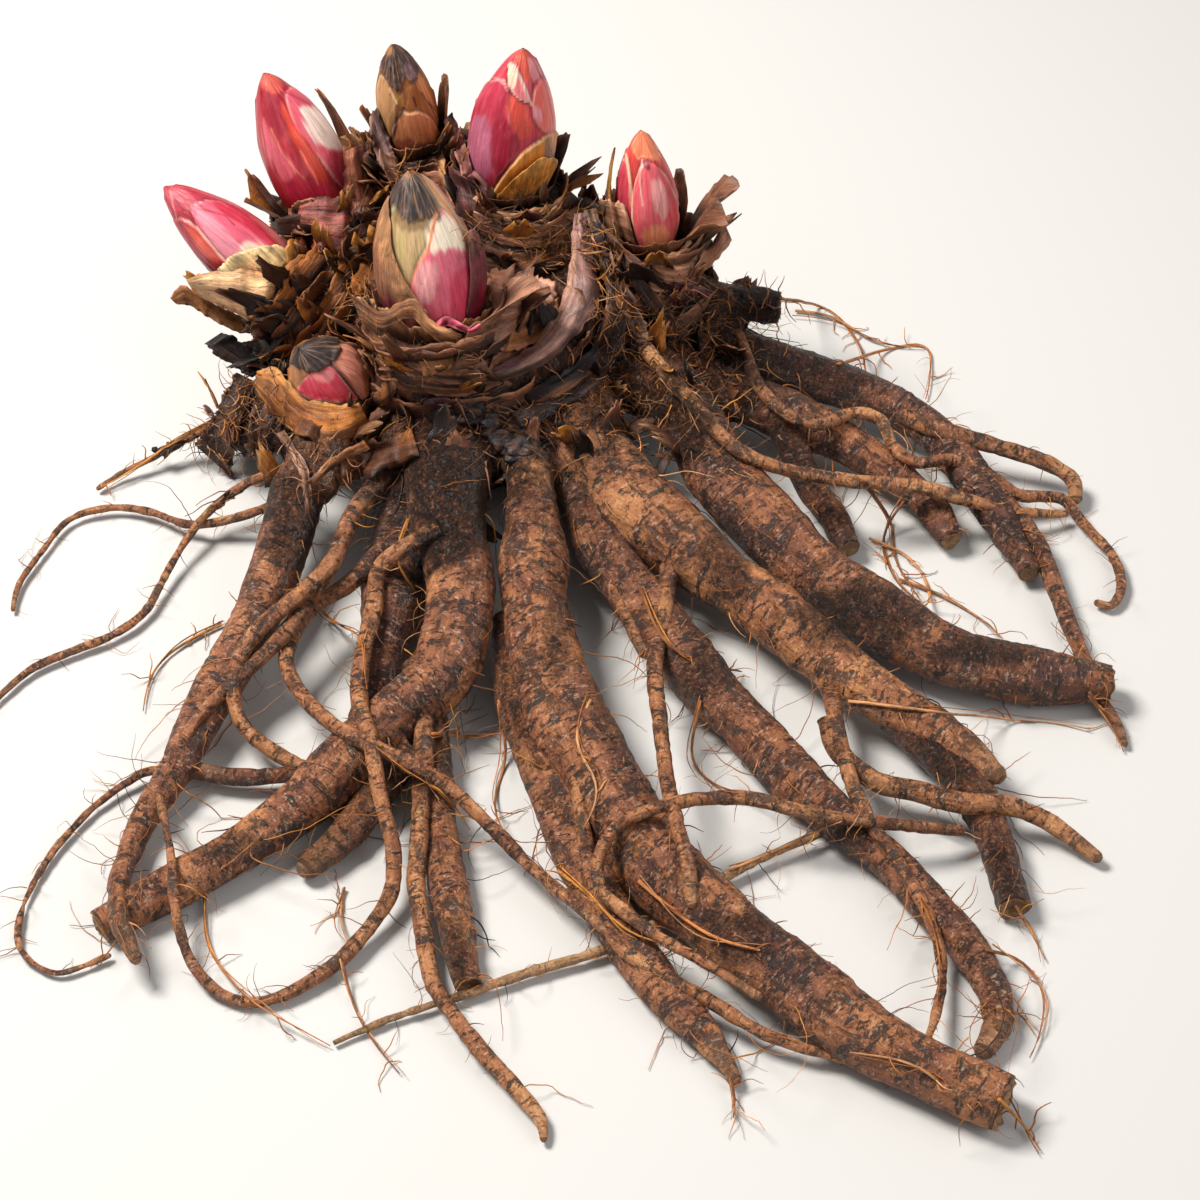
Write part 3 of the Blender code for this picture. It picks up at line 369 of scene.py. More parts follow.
def ramp(value, low, high):
    """0 below low, 1 above high, smooth between."""
    share = np.clip((np.asarray(value, float) - low) / (high - low), 0.0, 1.0)
    return share * share * (3.0 - 2.0 * share)


def unit(vectors):
    vectors = np.asarray(vectors, float)
    return vectors / np.maximum(np.linalg.norm(vectors, axis=-1, keepdims=True), 1e-9)


def mix(first, second, share):
    """Colours mixed; share may be an array."""
    share = np.asarray(share, float)[..., None]
    return np.asarray(first, float) * (1.0 - share) + np.asarray(second, float) * share


# Pieces

class Shape:
    """Points and faces of one piece, with named values for each point."""

    def __init__(self):
        self.points, self.quads, self.triangles, self.values = [], [], [], {}
        self.count = 0

    def add(self, points, quads=None, triangles=None, **values):
        points = np.asarray(points, float).reshape(-1, 3)
        self.points.append(points)
        if quads is not None and len(quads):
            self.quads.append(np.asarray(quads, np.int64) + self.count)
        if triangles is not None and len(triangles):
            self.triangles.append(np.asarray(triangles, np.int64) + self.count)
        for name, value in values.items():
            width = (3,) if name in ("skin", "grain") else ()
            self.values.setdefault(name, []).append(np.broadcast_to(np.asarray(value, float), (len(points),) + width))
        self.count += len(points)

    def faces_outward(self):
        """Turns all faces over where the piece comes out inside out."""
        points = np.concatenate(self.points)
        total = 0.0
        for group in (self.quads, self.triangles):
            for faces in group:
                first, second, third = (points[faces[:, index]] for index in range(3))
                total += float((first * np.cross(second, third)).sum())
                if faces.shape[1] == 4:
                    fourth = points[faces[:, 3]]
                    total += float((first * np.cross(third, fourth)).sum())
        if total < 0.0:
            self.quads = [faces[:, ::-1] for faces in self.quads]
            self.triangles = [faces[:, ::-1] for faces in self.triangles]

    def build(self, name, surface, slot, *nodes):
        self.faces_outward()
        points = np.concatenate(self.points) * MM
        quads = np.concatenate(self.quads) if self.quads else np.zeros((0, 4), np.int64)
        triangles = np.concatenate(self.triangles) if self.triangles else np.zeros((0, 3), np.int64)
        mesh = bpy.data.meshes.new(name)
        mesh.vertices.add(len(points))
        mesh.vertices.foreach_set("co", points.astype(np.float32).ravel())
        corners = np.concatenate([quads.ravel(), triangles.ravel()]).astype(np.int32)
        mesh.loops.add(len(corners))
        mesh.loops.foreach_set("vertex_index", corners)
        starts = np.concatenate([np.arange(len(quads)) * 4, len(quads) * 4 + np.arange(len(triangles)) * 3])
        mesh.polygons.add(len(starts))
        mesh.polygons.foreach_set("loop_start", starts.astype(np.int32))
        mesh.polygons.foreach_set("use_smooth", np.ones(len(starts), bool))
        mesh.update(calc_edges=True)
        for label, parts in self.values.items():
            value = np.concatenate(parts)
            if label == "skin":
                layer = mesh.attributes.new(label, "FLOAT_COLOR", "POINT")
                value = np.hstack([value[:, :3], np.ones((len(value), 1))])
                layer.data.foreach_set("color", value.astype(np.float32).ravel())
            elif label == "grain":
                layer = mesh.attributes.new(label, "FLOAT_VECTOR", "POINT")
                layer.data.foreach_set("vector", value.astype(np.float32).ravel())
            else:
                layer = mesh.attributes.new(label, "FLOAT", "POINT")
                layer.data.foreach_set("value", value.astype(np.float32).ravel())
        made = bpy.data.objects.new(name, mesh)
        bpy.context.scene.collection.objects.link(made)
        made.data.materials.append(surface)
        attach(made, "root")
        if nodes:
            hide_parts(*nodes)
        return made


def grid_quads(rows, columns, closed):
    """Faces of a grid of points stored row by row; closed joins the last column to the first."""
    row = np.arange(rows - 1)[:, None] * columns
    column = np.arange(columns if closed else columns - 1)[None, :]
    following = (column + 1) % columns
    return np.stack([row + column, row + following, row + columns + following, row + columns + column],
                    axis=-1).reshape(-1, 4)


# Curves and tubes

def sighted(route):
    route = np.asarray(route, float)
    foot = np.column_stack([route[:, 0], route[:, 1], np.zeros(len(route))])
    return np.column_stack([foot + (SIGHT_POINT - foot) * (route[:, 2:3] / SIGHT_POINT[2]), route[:, 3]])


def spline(points, spacing):
    """Rows (x, y, z, radius) about one spacing apart on a smooth curve through the points."""
    points = np.asarray(points, float)
    padded = np.vstack([points[:1], points, points[-1:]])
    rows = []
    for index in range(len(points) - 1):
        before, start, end, after = padded[index:index + 4]
        steps = max(1, round(float(np.linalg.norm(end[:3] - start[:3])) / spacing))
        t = (np.arange(steps) / steps)[:, None]
        rows.append(before * (-0.5 * t + t**2 - 0.5 * t**3) + start * (1.0 - 2.5 * t**2 + 1.5 * t**3)
                    + end * (0.5 * t + 2.0 * t**2 - 1.5 * t**3) + after * (-0.5 * t**2 + 0.5 * t**3))
    rows.append(points[-1:])
    return np.vstack(rows)


def frames_along(centres):
    """Direction, side and other side at each point, turning as little as can be."""
    along = unit(np.gradient(centres, axis=0))
    side = np.cross(along[0], (0.0, 0.0, 1.0))
    if np.linalg.norm(side) < 1e-6:
        side = np.array((1.0, 0.0, 0.0))
    side = unit(side)
    sides = np.zeros_like(along)
    for index, direction in enumerate(along):
        side = side - direction * float(side @ direction)
        side = side / max(float(np.linalg.norm(side)), 1e-9)
        sides[index] = side
    return along, sides, np.cross(along, sides)


def strand(shape, points, sides, seed, flatten=1.0, floor=0.02, **values):
    """Thin tube with pointed ends through rows (x, y, z, radius); its grain runs along it."""
    centres, radii = points[:, :3], points[:, 3]
    along, side, other = frames_along(centres)
    travelled = np.concatenate([[0.0], np.cumsum(np.linalg.norm(np.diff(centres, axis=0), axis=1))])
    angle = TAU * np.arange(sides) / sides
    wide, thin = np.cos(angle), np.sin(angle) * flatten
    offset = side[:, None] * wide[None, :, None] + other[:, None] * thin[None, :, None]
    body = centres[:, None] + offset * radii[:, None, None]
    body[..., 2] = np.maximum(body[..., 2], floor)
    grain = np.stack([np.broadcast_to(travelled[:, None], body.shape[:2]) + seed * 37.0,
                      radii[:, None] * wide[None], radii[:, None] * thin[None] + seed * 11.0], axis=-1)
    count = len(centres)
    rows = grid_quads(count, sides, True)
    first = [(corner, (corner + 1) % sides, count * sides) for corner in range(sides)]
    last = [((count - 1) * sides + (corner + 1) % sides, (count - 1) * sides + corner, count * sides + 1)
            for corner in range(sides)]
    points_all = np.vstack([body.reshape(-1, 3), centres[:1] - along[:1] * radii[0] * 0.4,
                            centres[-1:] + along[-1:] * radii[-1] * 0.8])
    points_all[:, 2] = np.maximum(points_all[:, 2], floor)
    grain_all = np.vstack([grain.reshape(-1, 3), grain[0, :1], grain[-1, :1]])
    full = {}
    for name, value in values.items():
        value = np.asarray(value, float)
        if name == "skin":
            value = value if value.ndim == 2 else np.broadcast_to(value, (count, 3))
            full[name] = np.vstack([np.repeat(value, sides, axis=0), value[:1], value[-1:]])
        else:
            value = np.broadcast_to(value, (count,))
            full[name] = np.concatenate([np.repeat(value, sides), value[:1], value[-1:]])
    shape.add(points_all, rows[:, ::-1], np.array(first + last), grain=grain_all, **full)


# Roots

def knob_field(straight, radius, count, length, seed):
    """Small scars and stumps where side roots once left: height in millimetres at each straightened point."""
    chance = random.Random(seed)
    height = np.zeros(straight.shape[:-1])
    for _ in range(count):
        at = chance.uniform(0.08, 0.97) * length
        angle = chance.uniform(0.0, TAU)
        wide = chance.uniform(0.9, 2.0)
        tall = chance.uniform(0.25, 0.8)
        near = np.array((at, radius * math.cos(angle), radius * math.sin(angle)))
        away = ((straight - near) ** 2 / np.array((wide * 0.7, wide, wide)) ** 2).sum(axis=-1)
        ring = np.exp(-away) - 0.55 * np.exp(-away * 5.0)
        height += tall * ring
    return height


# A root with more tint than this is dry straw, pale all along.
STRAW_TINT = 0.9

# Dark wet earth on the bark: column and row in the photograph, half width and height there, how thick it lies.
EARTH = (
    ((450, 500), (56, 74), 1.0), ((400, 476), (40, 34), 0.8), ((296, 520), (40, 58), 0.75), ((516, 474), (24, 30), 0.8),
    ((664, 420), (66, 50), 0.85), ((720, 372), (44, 26), 0.8), ((812, 372), (96, 24), 0.7), ((862, 618), (66, 40), 0.75),
    ((990, 650), (66, 15), 0.75), ((724, 560), (26, 60), 0.6), ((744, 932), (46, 30), 0.6), ((1004, 872), (28, 44), 0.6),
    ((452, 962), (20, 46), 0.7), ((846, 842), (34, 28), 0.5), ((620, 720), (30, 40), 0.45), ((240, 850), (50, 16), 0.45),
    ((556, 640), (16, 50), 0.5), ((700, 680), (34, 30), 0.5),
)


def earth_at(points):
    pixels = sight_pixels(points)
    ragged = 0.35 * noise(points, 6.0, 91) + 0.2 * noise(points, 2.0, 92)
    cover = np.zeros(points.shape[:-1])
    for (column, row), (wide, tall), thick in EARTH:
        off = np.hypot((pixels[..., 0] - column) / wide, (pixels[..., 1] - row) / tall)
        cover = np.maximum(cover, thick * ramp(off + ragged, 1.15, 0.6))
    return cover


def bark_tube(shape, route, sides, spacing, seed, swell, rough, tint, soil, cut, slim=1.0):
    """A root with swells, wrinkles across it, scars and a torn or rounded end."""
    rows = spline(route, spacing)
    rows[:, 3] *= slim
    centres, radii = rows[:, :3], rows[:, 3]
    along, side, other = frames_along(centres)
    travelled = np.concatenate([[0.0], np.cumsum(np.linalg.norm(np.diff(centres, axis=0), axis=1))])
    length = travelled[-1]
    phase = random.Random(seed).uniform(0.0, TAU)
    angle = TAU * np.arange(sides) / sides
    s, a = np.meshgrid(travelled, angle, indexing="ij")
    radius = np.broadcast_to(radii[:, None], s.shape)
    straight = np.stack([s, radius * np.cos(a), radius * np.sin(a)], axis=-1)
    field = straight + np.array((seed * 61.0, seed * 17.0, 0.0))
    offset = radius * swell * np.sin(s / 8.0 + phase)
    offset = offset + radius * 0.7 * swell * np.sin(3.0 * a + s / 14.0 + phase)
    offset = offset + rough * (0.09 * radius * noise(field, 13.0, seed) + 0.3 * noise(field, 4.5, seed + 1))
    offset = offset + rough * 0.16 * fractal(field, 2.0, seed + 2, 2)
    wrinkle = noise(field * np.array((1.0, 0.3, 0.3)), 1.5, seed + 3)
    offset = offset - rough * 0.26 * ramp(wrinkle, 0.15, 0.7)
    furrow = noise(field * np.array((0.12, 1.0, 1.0)), 1.7, seed + 4)
    offset = offset - rough * 0.16 * ramp(furrow, 0.1, 0.8)
    typical = float(np.median(radii))
    if typical > 3.5:
        offset = offset + knob_field(straight, typical, int(length * typical / 26.0), length, seed + 5)
    out = side[:, None] * np.cos(a)[..., None] + other[:, None] * np.sin(a)[..., None]
    body = centres[:, None] + out * (radius + offset)[..., None]
    pale = np.zeros(s.shape)
    dirt = soil * ramp(s, 70.0, 10.0) * (0.4 + 0.6 * ramp(noise(field, 9.0, seed + 6), -0.5, 0.6))
    dirt = np.maximum(dirt, earth_at(body))
    if typical < 3.5 or not cut:
        pale = 0.3 * ramp(s, length - 14.0, length)
    if tint > STRAW_TINT:
        pale = 0.8 + 0.2 * noise(field, 4.0, seed + 9)
    extra, values = [], []
    if cut:
        end_radius = float(radii[-1])
        torn = noise(field[-1:], 3.0, seed + 7)[0] * 0.22 * end_radius
        last = body[-1] + along[-1] * torn[:, None]
        for share, rise, white in ((1.0, 0.0, 0.3), (0.93, 0.05, 0.6), (0.72, -0.03, 0.8), (0.42, -0.09, 0.6),
                                   (0.16, -0.02, 0.5)):
            ring = centres[-1] + (last - centres[-1]) * share + along[-1] * rise * end_radius * 2.0
            ragged = noise(ring * 1.0 + seed, 1.6, seed + 8)[:, None] * along[-1] * 0.1 * end_radius
            extra.append(ring + ragged)
            values.append(white)
    else:
        for share, ahead in ((0.85, 0.35), (0.5, 0.75)):
            extra.append(centres[-1] + (body[-1] - centres[-1]) * share + along[-1] * ahead * float(radii[-1]))
            values.append(float(pale[-1, 0]) if pale.size else 0.0)
    count = len(centres) + len(extra)
    points = np.concatenate([body] + [ring[None] for ring in extra])
    points[..., 2] = np.maximum(points[..., 2], 0.03)
    grain = np.concatenate([field] + [(field[-1] * np.array((1.0, 0.6, 0.6)) + (2.0 * index, 0.0, 0.0))[None]
                                      for index in range(len(extra))])
    pale = np.concatenate([pale] + [np.full((1, sides), value) for value in values])
    dirt = np.concatenate([dirt] + [np.zeros((1, sides))] * len(extra))
    middle = points[-1].mean(axis=0)
    faces = grid_quads(count, sides, True)[:, ::-1]
    fan = [((count - 1) * sides + (corner + 1) % sides, (count - 1) * sides + corner, count * sides)
           for corner in range(sides)]
    shape.add(
        np.vstack([points.reshape(-1, 3), middle]), faces, np.array(fan),
        grain=np.vstack([grain.reshape(-1, 3), grain[-1, :1]]),
        pale=np.append(pale.ravel(), pale[-1, 0]), soil=np.append(dirt.ravel(), 0.0),
        tint=np.full(count * sides + 1, tint),
    )
    return rows


# Materials

def new_surface(name):
    made = bpy.data.materials.new(name)
    made.use_nodes = True
    return made, made.node_tree, made.node_tree.nodes["Principled BSDF"]


def add_node(tree, kind, inputs=None, **settings):
    made = tree.nodes.new("ShaderNode" + kind)
    for name, value in settings.items():
        setattr(made, name, value)
    for key, value in (inputs or {}).items():
        if isinstance(value, bpy.types.NodeSocket):
            tree.links.new(value, made.inputs[key])
        else:
            made.inputs[key].default_value = value
    return made


def attribute(tree, name, output):
    return add_node(tree, "Attribute", attribute_name=name).outputs[output]


def calculate(tree, operation, first, second=0.0):
    return add_node(tree, "Math", {0: first, 1: second}, operation=operation).outputs[0]


def scaled_by(tree, vector, scale):
    return add_node(tree, "VectorMath", {0: vector, 1: scale}, operation="MULTIPLY").outputs[0]


def noise_node(tree, vector, scale, detail=4.0, roughness=0.55, distortion=0.0):
    inputs = {"Vector": vector, "Scale": scale, "Detail": detail, "Roughness": roughness,
              "Distortion": distortion}
    return add_node(tree, "TexNoise", inputs).outputs["Fac"]


def between(tree, value, low, high, to_low=0.0, to_high=1.0):
    inputs = {"Value": value, "From Min": low, "From Max": high, "To Min": to_low, "To Max": to_high}
    return add_node(tree, "MapRange", inputs, clamp=True).outputs["Result"]


def colours(tree, value, stops):
    made = add_node(tree, "ValToRGB", {"Fac": value})
    ramp_stops = made.color_ramp.elements
    while len(ramp_stops) < len(stops):
        ramp_stops.new(0.5)
    for stop, (position, colour) in zip(ramp_stops, stops):
        stop.position = position
        stop.color = (*colour, 1.0)
    return made.outputs["Color"]


def blend_colours(tree, share, first, second, kind="MIX"):
    made = tree.nodes.new("ShaderNodeMix")
    made.data_type = "RGBA"
    made.blend_type = kind
    for key, value in ((0, share), (6, first), (7, second)):
        if isinstance(value, bpy.types.NodeSocket):
            tree.links.new(value, made.inputs[key])
        elif key == 0:
            made.inputs[key].default_value = value
        else:
            made.inputs[key].default_value = (*value, 1.0)
    return made.outputs[2]


def bump(tree, shader, height, distance, strength=1.0):
    made = add_node(tree, "Bump", {"Height": height, "Distance": distance, "Strength": strength})
    tree.links.new(made.outputs["Normal"], shader.inputs["Normal"])


def bark_surface():
    """Root bark: reddish to orange brown with black flecks, streaks across the root, painted pale highlights, soil and
    pale torn ends.
    """
    made, tree, shader = new_surface("root_bark")
    grain = attribute(tree, "grain", "Vector")
    tint = attribute(tree, "tint", "Fac")
    zones = noise_node(tree, grain, 0.07, 3.0, 0.6, 0.4)
    lengthwise = noise_node(tree, scaled_by(tree, grain, (0.1, 1.0, 1.0)), 0.7, 4.0, 0.6, 0.3)
    fine = noise_node(tree, grain, 1.3, 5.0, 0.7)
    shade = calculate(tree, "ADD", calculate(tree, "MULTIPLY", zones, 0.75), calculate(tree, "MULTIPLY", lengthwise, 0.35))
    shade = calculate(tree, "ADD", shade, calculate(tree, "MULTIPLY", fine, 0.4))
    shade = calculate(tree, "ADD", shade, calculate(tree, "MULTIPLY", tint, 0.62))
    shade = calculate(tree, "SUBTRACT", shade, 0.56)
    base = colours(tree, shade, (
        (0.14, (0.012, 0.006, 0.004)), (0.3, (0.05, 0.015, 0.006)), (0.43, (0.14, 0.04, 0.014)),
        (0.56, (0.27, 0.09, 0.028)), (0.7, (0.43, 0.17, 0.056)), (0.86, (0.62, 0.32, 0.13))))
    across = noise_node(tree, scaled_by(tree, grain, (1.0, 0.4, 0.4)), 0.42, 5.0, 0.7, 0.6)
    flecks = between(tree, across, 0.545, 0.6)
    patches = between(tree, noise_node(tree, scaled_by(tree, grain, (0.7, 1.0, 1.0)), 0.2, 6.0, 0.72, 0.5), 0.52, 0.6)
    dark = calculate(tree, "MAXIMUM", calculate(tree, "MULTIPLY", flecks, 0.94), calculate(tree, "MULTIPLY", patches, 0.82))
    base = blend_colours(tree, dark, base, (0.013, 0.007, 0.005))
    # Pale pinkish-tan patches mixed into the colour are painted highlights for the wet sheen of the bark.
    light = between(tree, noise_node(tree, scaled_by(tree, grain, (1.0, 0.5, 0.5)), 1.1, 4.0, 0.65, 0.4), 0.55, 0.66)
    base = blend_colours(tree, calculate(tree, "MULTIPLY", light, 0.5), base, (0.66, 0.38, 0.24))
    specks = between(tree, noise_node(tree, scaled_by(tree, grain, (1.0, 0.6, 0.6)), 0.9, 5.0, 0.75, 0.3), 0.56, 0.62)
    base = blend_colours(tree, calculate(tree, "MULTIPLY", specks, 0.8), base, (0.035, 0.014, 0.008))
    pale = attribute(tree, "pale", "Fac")
    tan = blend_colours(tree, between(tree, fine, 0.35, 0.7), (0.3, 0.13, 0.05), (0.56, 0.35, 0.17))
    base = blend_colours(tree, pale, base, tan)
    soil = attribute(tree, "soil", "Fac")
    crumbs = between(tree, noise_node(tree, grain, 0.5, 6.0, 0.75), 0.38, 0.56)
    cover = calculate(tree, "MULTIPLY", soil, calculate(tree, "ADD", calculate(tree, "MULTIPLY", crumbs, 0.66), 0.44))
    cover = between(tree, cover, 0.0, 1.0)
    earth = blend_colours(tree, between(tree, fine, 0.35, 0.75), (0.006, 0.004, 0.003), (0.05, 0.021, 0.011))
    base = blend_colours(tree, cover, base, earth)
    tree.links.new(base, shader.inputs["Base Color"])
    wet = calculate(tree, "MULTIPLY", cover, 0.2)
    rough = calculate(tree, "SUBTRACT", between(tree, fine, 0.3, 0.7, 0.36, 0.72), wet)
    tree.links.new(rough, shader.inputs["Roughness"])
    shader.inputs["Specular IOR Level"].default_value = 0.5
    relief = calculate(tree, "ADD", calculate(tree, "MULTIPLY", fine, 0.6), calculate(tree, "MULTIPLY", lengthwise, 0.5))
    relief = calculate(tree, "SUBTRACT", relief, calculate(tree, "MULTIPLY", dark, 0.5))
    relief = calculate(tree, "ADD", relief, calculate(tree, "MULTIPLY", cover, calculate(tree, "MULTIPLY", crumbs, 0.9)))
    bump(tree, shader, relief, 0.0009)
    return made


def fibre_surface(name, roughness=0.62):
    """Dry fibres, thin roots and husks: their own skin colour with streaks along the grain."""
    made, tree, shader = new_surface(name)
    grain = attribute(tree, "grain", "Vector")
    skin = attribute(tree, "skin", "Color")
    streak = noise_node(tree, scaled_by(tree, grain, (0.16, 1.0, 1.0)), 1.6, 4.0, 0.65, 0.2)
    cloud = noise_node(tree, grain, 0.22, 4.0, 0.6, 0.5)
    fine = noise_node(tree, grain, 2.2, 3.0, 0.6)
    shade = calculate(tree, "ADD", calculate(tree, "MULTIPLY", streak, 0.9), calculate(tree, "MULTIPLY", cloud, 0.8))
    tone = between(tree, shade, 0.6, 1.1, 0.35, 1.5)
    base = add_node(tree, "VectorMath", {0: skin, "Scale": tone}, operation="SCALE").outputs[0]
    spots = between(tree, noise_node(tree, grain, 0.5, 5.0, 0.7, 0.5), 0.57, 0.7)
    base = blend_colours(tree, calculate(tree, "MULTIPLY", spots, 0.65), base, (0.02, 0.009, 0.005))
    tree.links.new(base, shader.inputs["Base Color"])
    tree.links.new(between(tree, fine, 0.3, 0.7, roughness - 0.16, roughness + 0.12), shader.inputs["Roughness"])
    shader.inputs["Specular IOR Level"].default_value = 0.4
    relief = calculate(tree, "ADD", calculate(tree, "MULTIPLY", streak, 0.9), calculate(tree, "MULTIPLY", fine, 0.3))
    bump(tree, shader, relief, 0.0005)
    return made


def bud_surface():
    """Waxy bud scale: its own skin colour with fine veins along it and a soft gloss."""
    made, tree, shader = new_surface("bud_skin")
    grain = attribute(tree, "grain", "Vector")
    skin = attribute(tree, "skin", "Color")
    dry = attribute(tree, "dry", "Fac")
    veins = noise_node(tree, scaled_by(tree, grain, (0.07, 1.0, 1.0)), 1.5, 3.0, 0.6, 0.15)
    cloud = noise_node(tree, scaled_by(tree, grain, (0.5, 1.0, 1.0)), 0.3, 4.0, 0.6, 0.3)
    fine = noise_node(tree, grain, 2.5, 3.0, 0.6)
    tone = between(tree, calculate(tree, "ADD", veins, calculate(tree, "MULTIPLY", cloud, 0.7)), 0.6, 1.1, 0.7, 1.25)
    base = add_node(tree, "VectorMath", {0: skin, "Scale": tone}, operation="SCALE").outputs[0]
    bloom = between(tree, cloud, 0.5, 0.68)
    base = blend_colours(tree, calculate(tree, "MULTIPLY", bloom, 0.06), base, (0.86, 0.55, 0.45))
    scuffs = between(tree, noise_node(tree, grain, 0.45, 5.0, 0.75, 0.6), 0.6, 0.7)
    marks = calculate(tree, "MULTIPLY", scuffs, between(tree, dry, 0.0, 1.0, 0.12, 0.75))
    base = blend_colours(tree, marks, base, (0.045, 0.017, 0.008))
    tree.links.new(base, shader.inputs["Base Color"])
    gloss = calculate(tree, "ADD", between(tree, fine, 0.3, 0.7, 0.24, 0.36), calculate(tree, "MULTIPLY", dry, 0.3))
    tree.links.new(gloss, shader.inputs["Roughness"])
    shader.inputs["Specular IOR Level"].default_value = 0.5
    shader.inputs["Subsurface Weight"].default_value = 0.06
    shader.inputs["Subsurface Scale"].default_value = 0.002
    shader.inputs["Subsurface Radius"].default_value = (1.0, 0.35, 0.25)
    relief = calculate(tree, "ADD", calculate(tree, "MULTIPLY", veins, 0.8), calculate(tree, "MULTIPLY", fine, 0.2))
    bump(tree, shader, relief, 0.0003)
    return made


BARK = bark_surface()
FIBRE = fibre_surface("dry_fibre")
HUSK = fibre_surface("dry_husk", 0.5)
SHEATH = fibre_surface("damp_sheath", 0.4)
BUD = bud_surface()


# Crown body

def neck_line(values):
    """Centre and radius of a neck at its start, middle and end, as the rootstock has them."""
    foot, tip = np.array(values[0], float), np.array(values[1], float)
    axis = unit(tip - foot)
    start = np.array(values[3], float)
    middle = start + (foot - start) * 0.55 - axis * 2.0
    return np.array([(*start, values[4]), (*middle, 0.5 * (values[4] + values[5])), (*(foot + axis * 3.0), values[5])])


def body_distance(points):
    """Rough distance outside the rootstock's lumps and necks; negative inside."""
    nearest = np.full(len(points), 1e9)
    for x, y, z, wide, deep, high in LUMPS + (BODY,):
        share = np.linalg.norm((points - (x, y, z)) / (wide, deep, high), axis=1)
        nearest = np.minimum(nearest, (share - 1.0) * min(wide, deep, high))
    for values in BUDS.values():
        for centre in spline(neck_line(values), 4.0):
            nearest = np.minimum(nearest, np.linalg.norm(points - centre[:3], axis=1) - centre[3])
    return nearest


class BudFrame:
    """Axis and directions of a bud; angle 0 is to the right, 90 to the back and 270 to the front."""

    def __init__(self, values):
        self.foot, tip = np.array(values[0], float), np.array(values[1], float)
        self.length = float(np.linalg.norm(tip - self.foot))
        self.axis = unit(tip - self.foot)
        right = np.array((1.0, 0.0, 0.0))
        self.right = unit(right - self.axis * float(right @ self.axis))
        self.back = np.cross(self.axis, self.right)
        self.radius = values[2]

    def place(self, angle, distance, radius):
        angle, distance, radius = np.broadcast_arrays(angle, distance, radius)
        outward = np.cos(angle)[..., None] * self.right + np.sin(angle)[..., None] * self.back
        return self.foot + self.axis * distance[..., None] + outward * radius[..., None]

    def profile(self, distance):
        share = np.clip(np.asarray(distance, float) / self.length, 0.0, 1.0)
        shares = [row[0] for row in BUD_PROFILE] + [1.0]
        radii = [row[1] for row in BUD_PROFILE] + [0.04]
        return self.radius * np.interp(share, shares, radii)

    def locate(self, points):
        """Distance along the axis and away from it."""
        away = points - self.foot
        along = away @ self.axis
        return along, np.linalg.norm(away - along[:, None] * self.axis, axis=1)


FRAMES = {name: BudFrame(values) for name, values in BUDS.items()}


def crown_body():
    """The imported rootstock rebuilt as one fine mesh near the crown, roughened, and sunk under the roots."""
    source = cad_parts[WOODY]
    made = bpy.data.objects.new("crown_source", source.data.copy())
    bpy.context.scene.collection.objects.link(made)
    step = made.modifiers.new("fine", "REMESH")
    step.mode = "VOXEL"
    step.voxel_size = 1.45 * MM
    view = bpy.context.evaluated_depsgraph_get()
    mesh = bpy.data.meshes.new_from_object(made.evaluated_get(view))
    bpy.data.objects.remove(made)
    points = np.zeros(len(mesh.vertices) * 3)
    mesh.vertices.foreach_get("co", points)
    points = points.reshape(-1, 3) / MM
    corners = np.zeros(len(mesh.loops), np.int32)
    mesh.loops.foreach_get("vertex_index", corners)
    quads = corners.reshape(-1, 4)
    bpy.data.meshes.remove(mesh)
    away = body_distance(points)
    keep = away < 17.0
    quads = quads[keep[quads].all(axis=1)]
    used, quads = np.unique(quads, return_inverse=True)
    points, away, quads = points[used], away[used], quads.reshape(-1, 4)
    points = relaxed(points, quads, 4)
    normals = point_normals(points, quads)
    seat = np.ones(len(points))
    for name, owner in FRAMES.items():
        layers, flare = BUDS[name][7], BUDS[name][8]
        along, off = owner.locate(points)
        wall = owner.profile(along) + 0.6 + layers * 1.5 + 0.4 + flare * np.clip(along / 26.0, 0.0, 1.0) ** 2
        inside = (along > -2.0) & (along < owner.length) & (off < wall + 1.6)
        seat[inside] = 0.0
    sunk = ramp(away, 2.0, 13.0)
    streaked = points * np.array((1.0, 1.0, 0.33))
    lift = 1.3 * fractal(points, 9.0, 5, 2) + 0.75 * noise(streaked, 2.4, 8) + 0.4 * noise(points, 1.8, 9)
    lift = lift + 0.9 * ramp(noise(streaked, 4.0, 12), 0.1, 0.8)
    lift = lift * seat * (1.0 - 0.75 * sunk) - 2.0 * sunk
    points = points + normals * lift[:, None]
    points[:, 2] = np.maximum(points[:, 2], 0.0)
    keep = away < 15.0
    quads = quads[keep[quads].all(axis=1)]
    shape = Shape()
    cloud = noise(points, 11.0, 21)
    shape.add(points, quads, grain=points * np.array((1.0, 1.0, 0.45)) + (500.0, 0.0, 0.0),
              pale=np.zeros(len(points)), soil=np.clip(0.62 + 0.35 * cloud, 0.1, 1.0) * (1.0 - 0.35 * sunk),
              tint=0.34 + 0.16 * noise(points, 6.0, 22))
    return shape, points, quads


def relaxed(points, quads, times):
    edges = np.vstack([quads[:, [0, 1]], quads[:, [1, 2]], quads[:, [2, 3]], quads[:, [3, 0]]])
    degree = np.bincount(edges[:, 0], minlength=len(points)) + np.bincount(edges[:, 1], minlength=len(points))
    for _ in range(times):
        total = np.zeros_like(points)
        for axis in range(3):
            total[:, axis] = (np.bincount(edges[:, 0], points[edges[:, 1], axis], len(points))
                              + np.bincount(edges[:, 1], points[edges[:, 0], axis], len(points)))
        points = points + 0.6 * (total / np.maximum(degree, 1)[:, None] - points)
    return points


def point_normals(points, quads):
    across = np.cross(points[quads[:, 2]] - points[quads[:, 0]], points[quads[:, 3]] - points[quads[:, 1]])
    total = np.zeros_like(points)
    for corner in range(4):
        for axis in range(3):
            total[:, axis] += np.bincount(quads[:, corner], across[:, axis], len(points))
    return unit(total)


# Buds

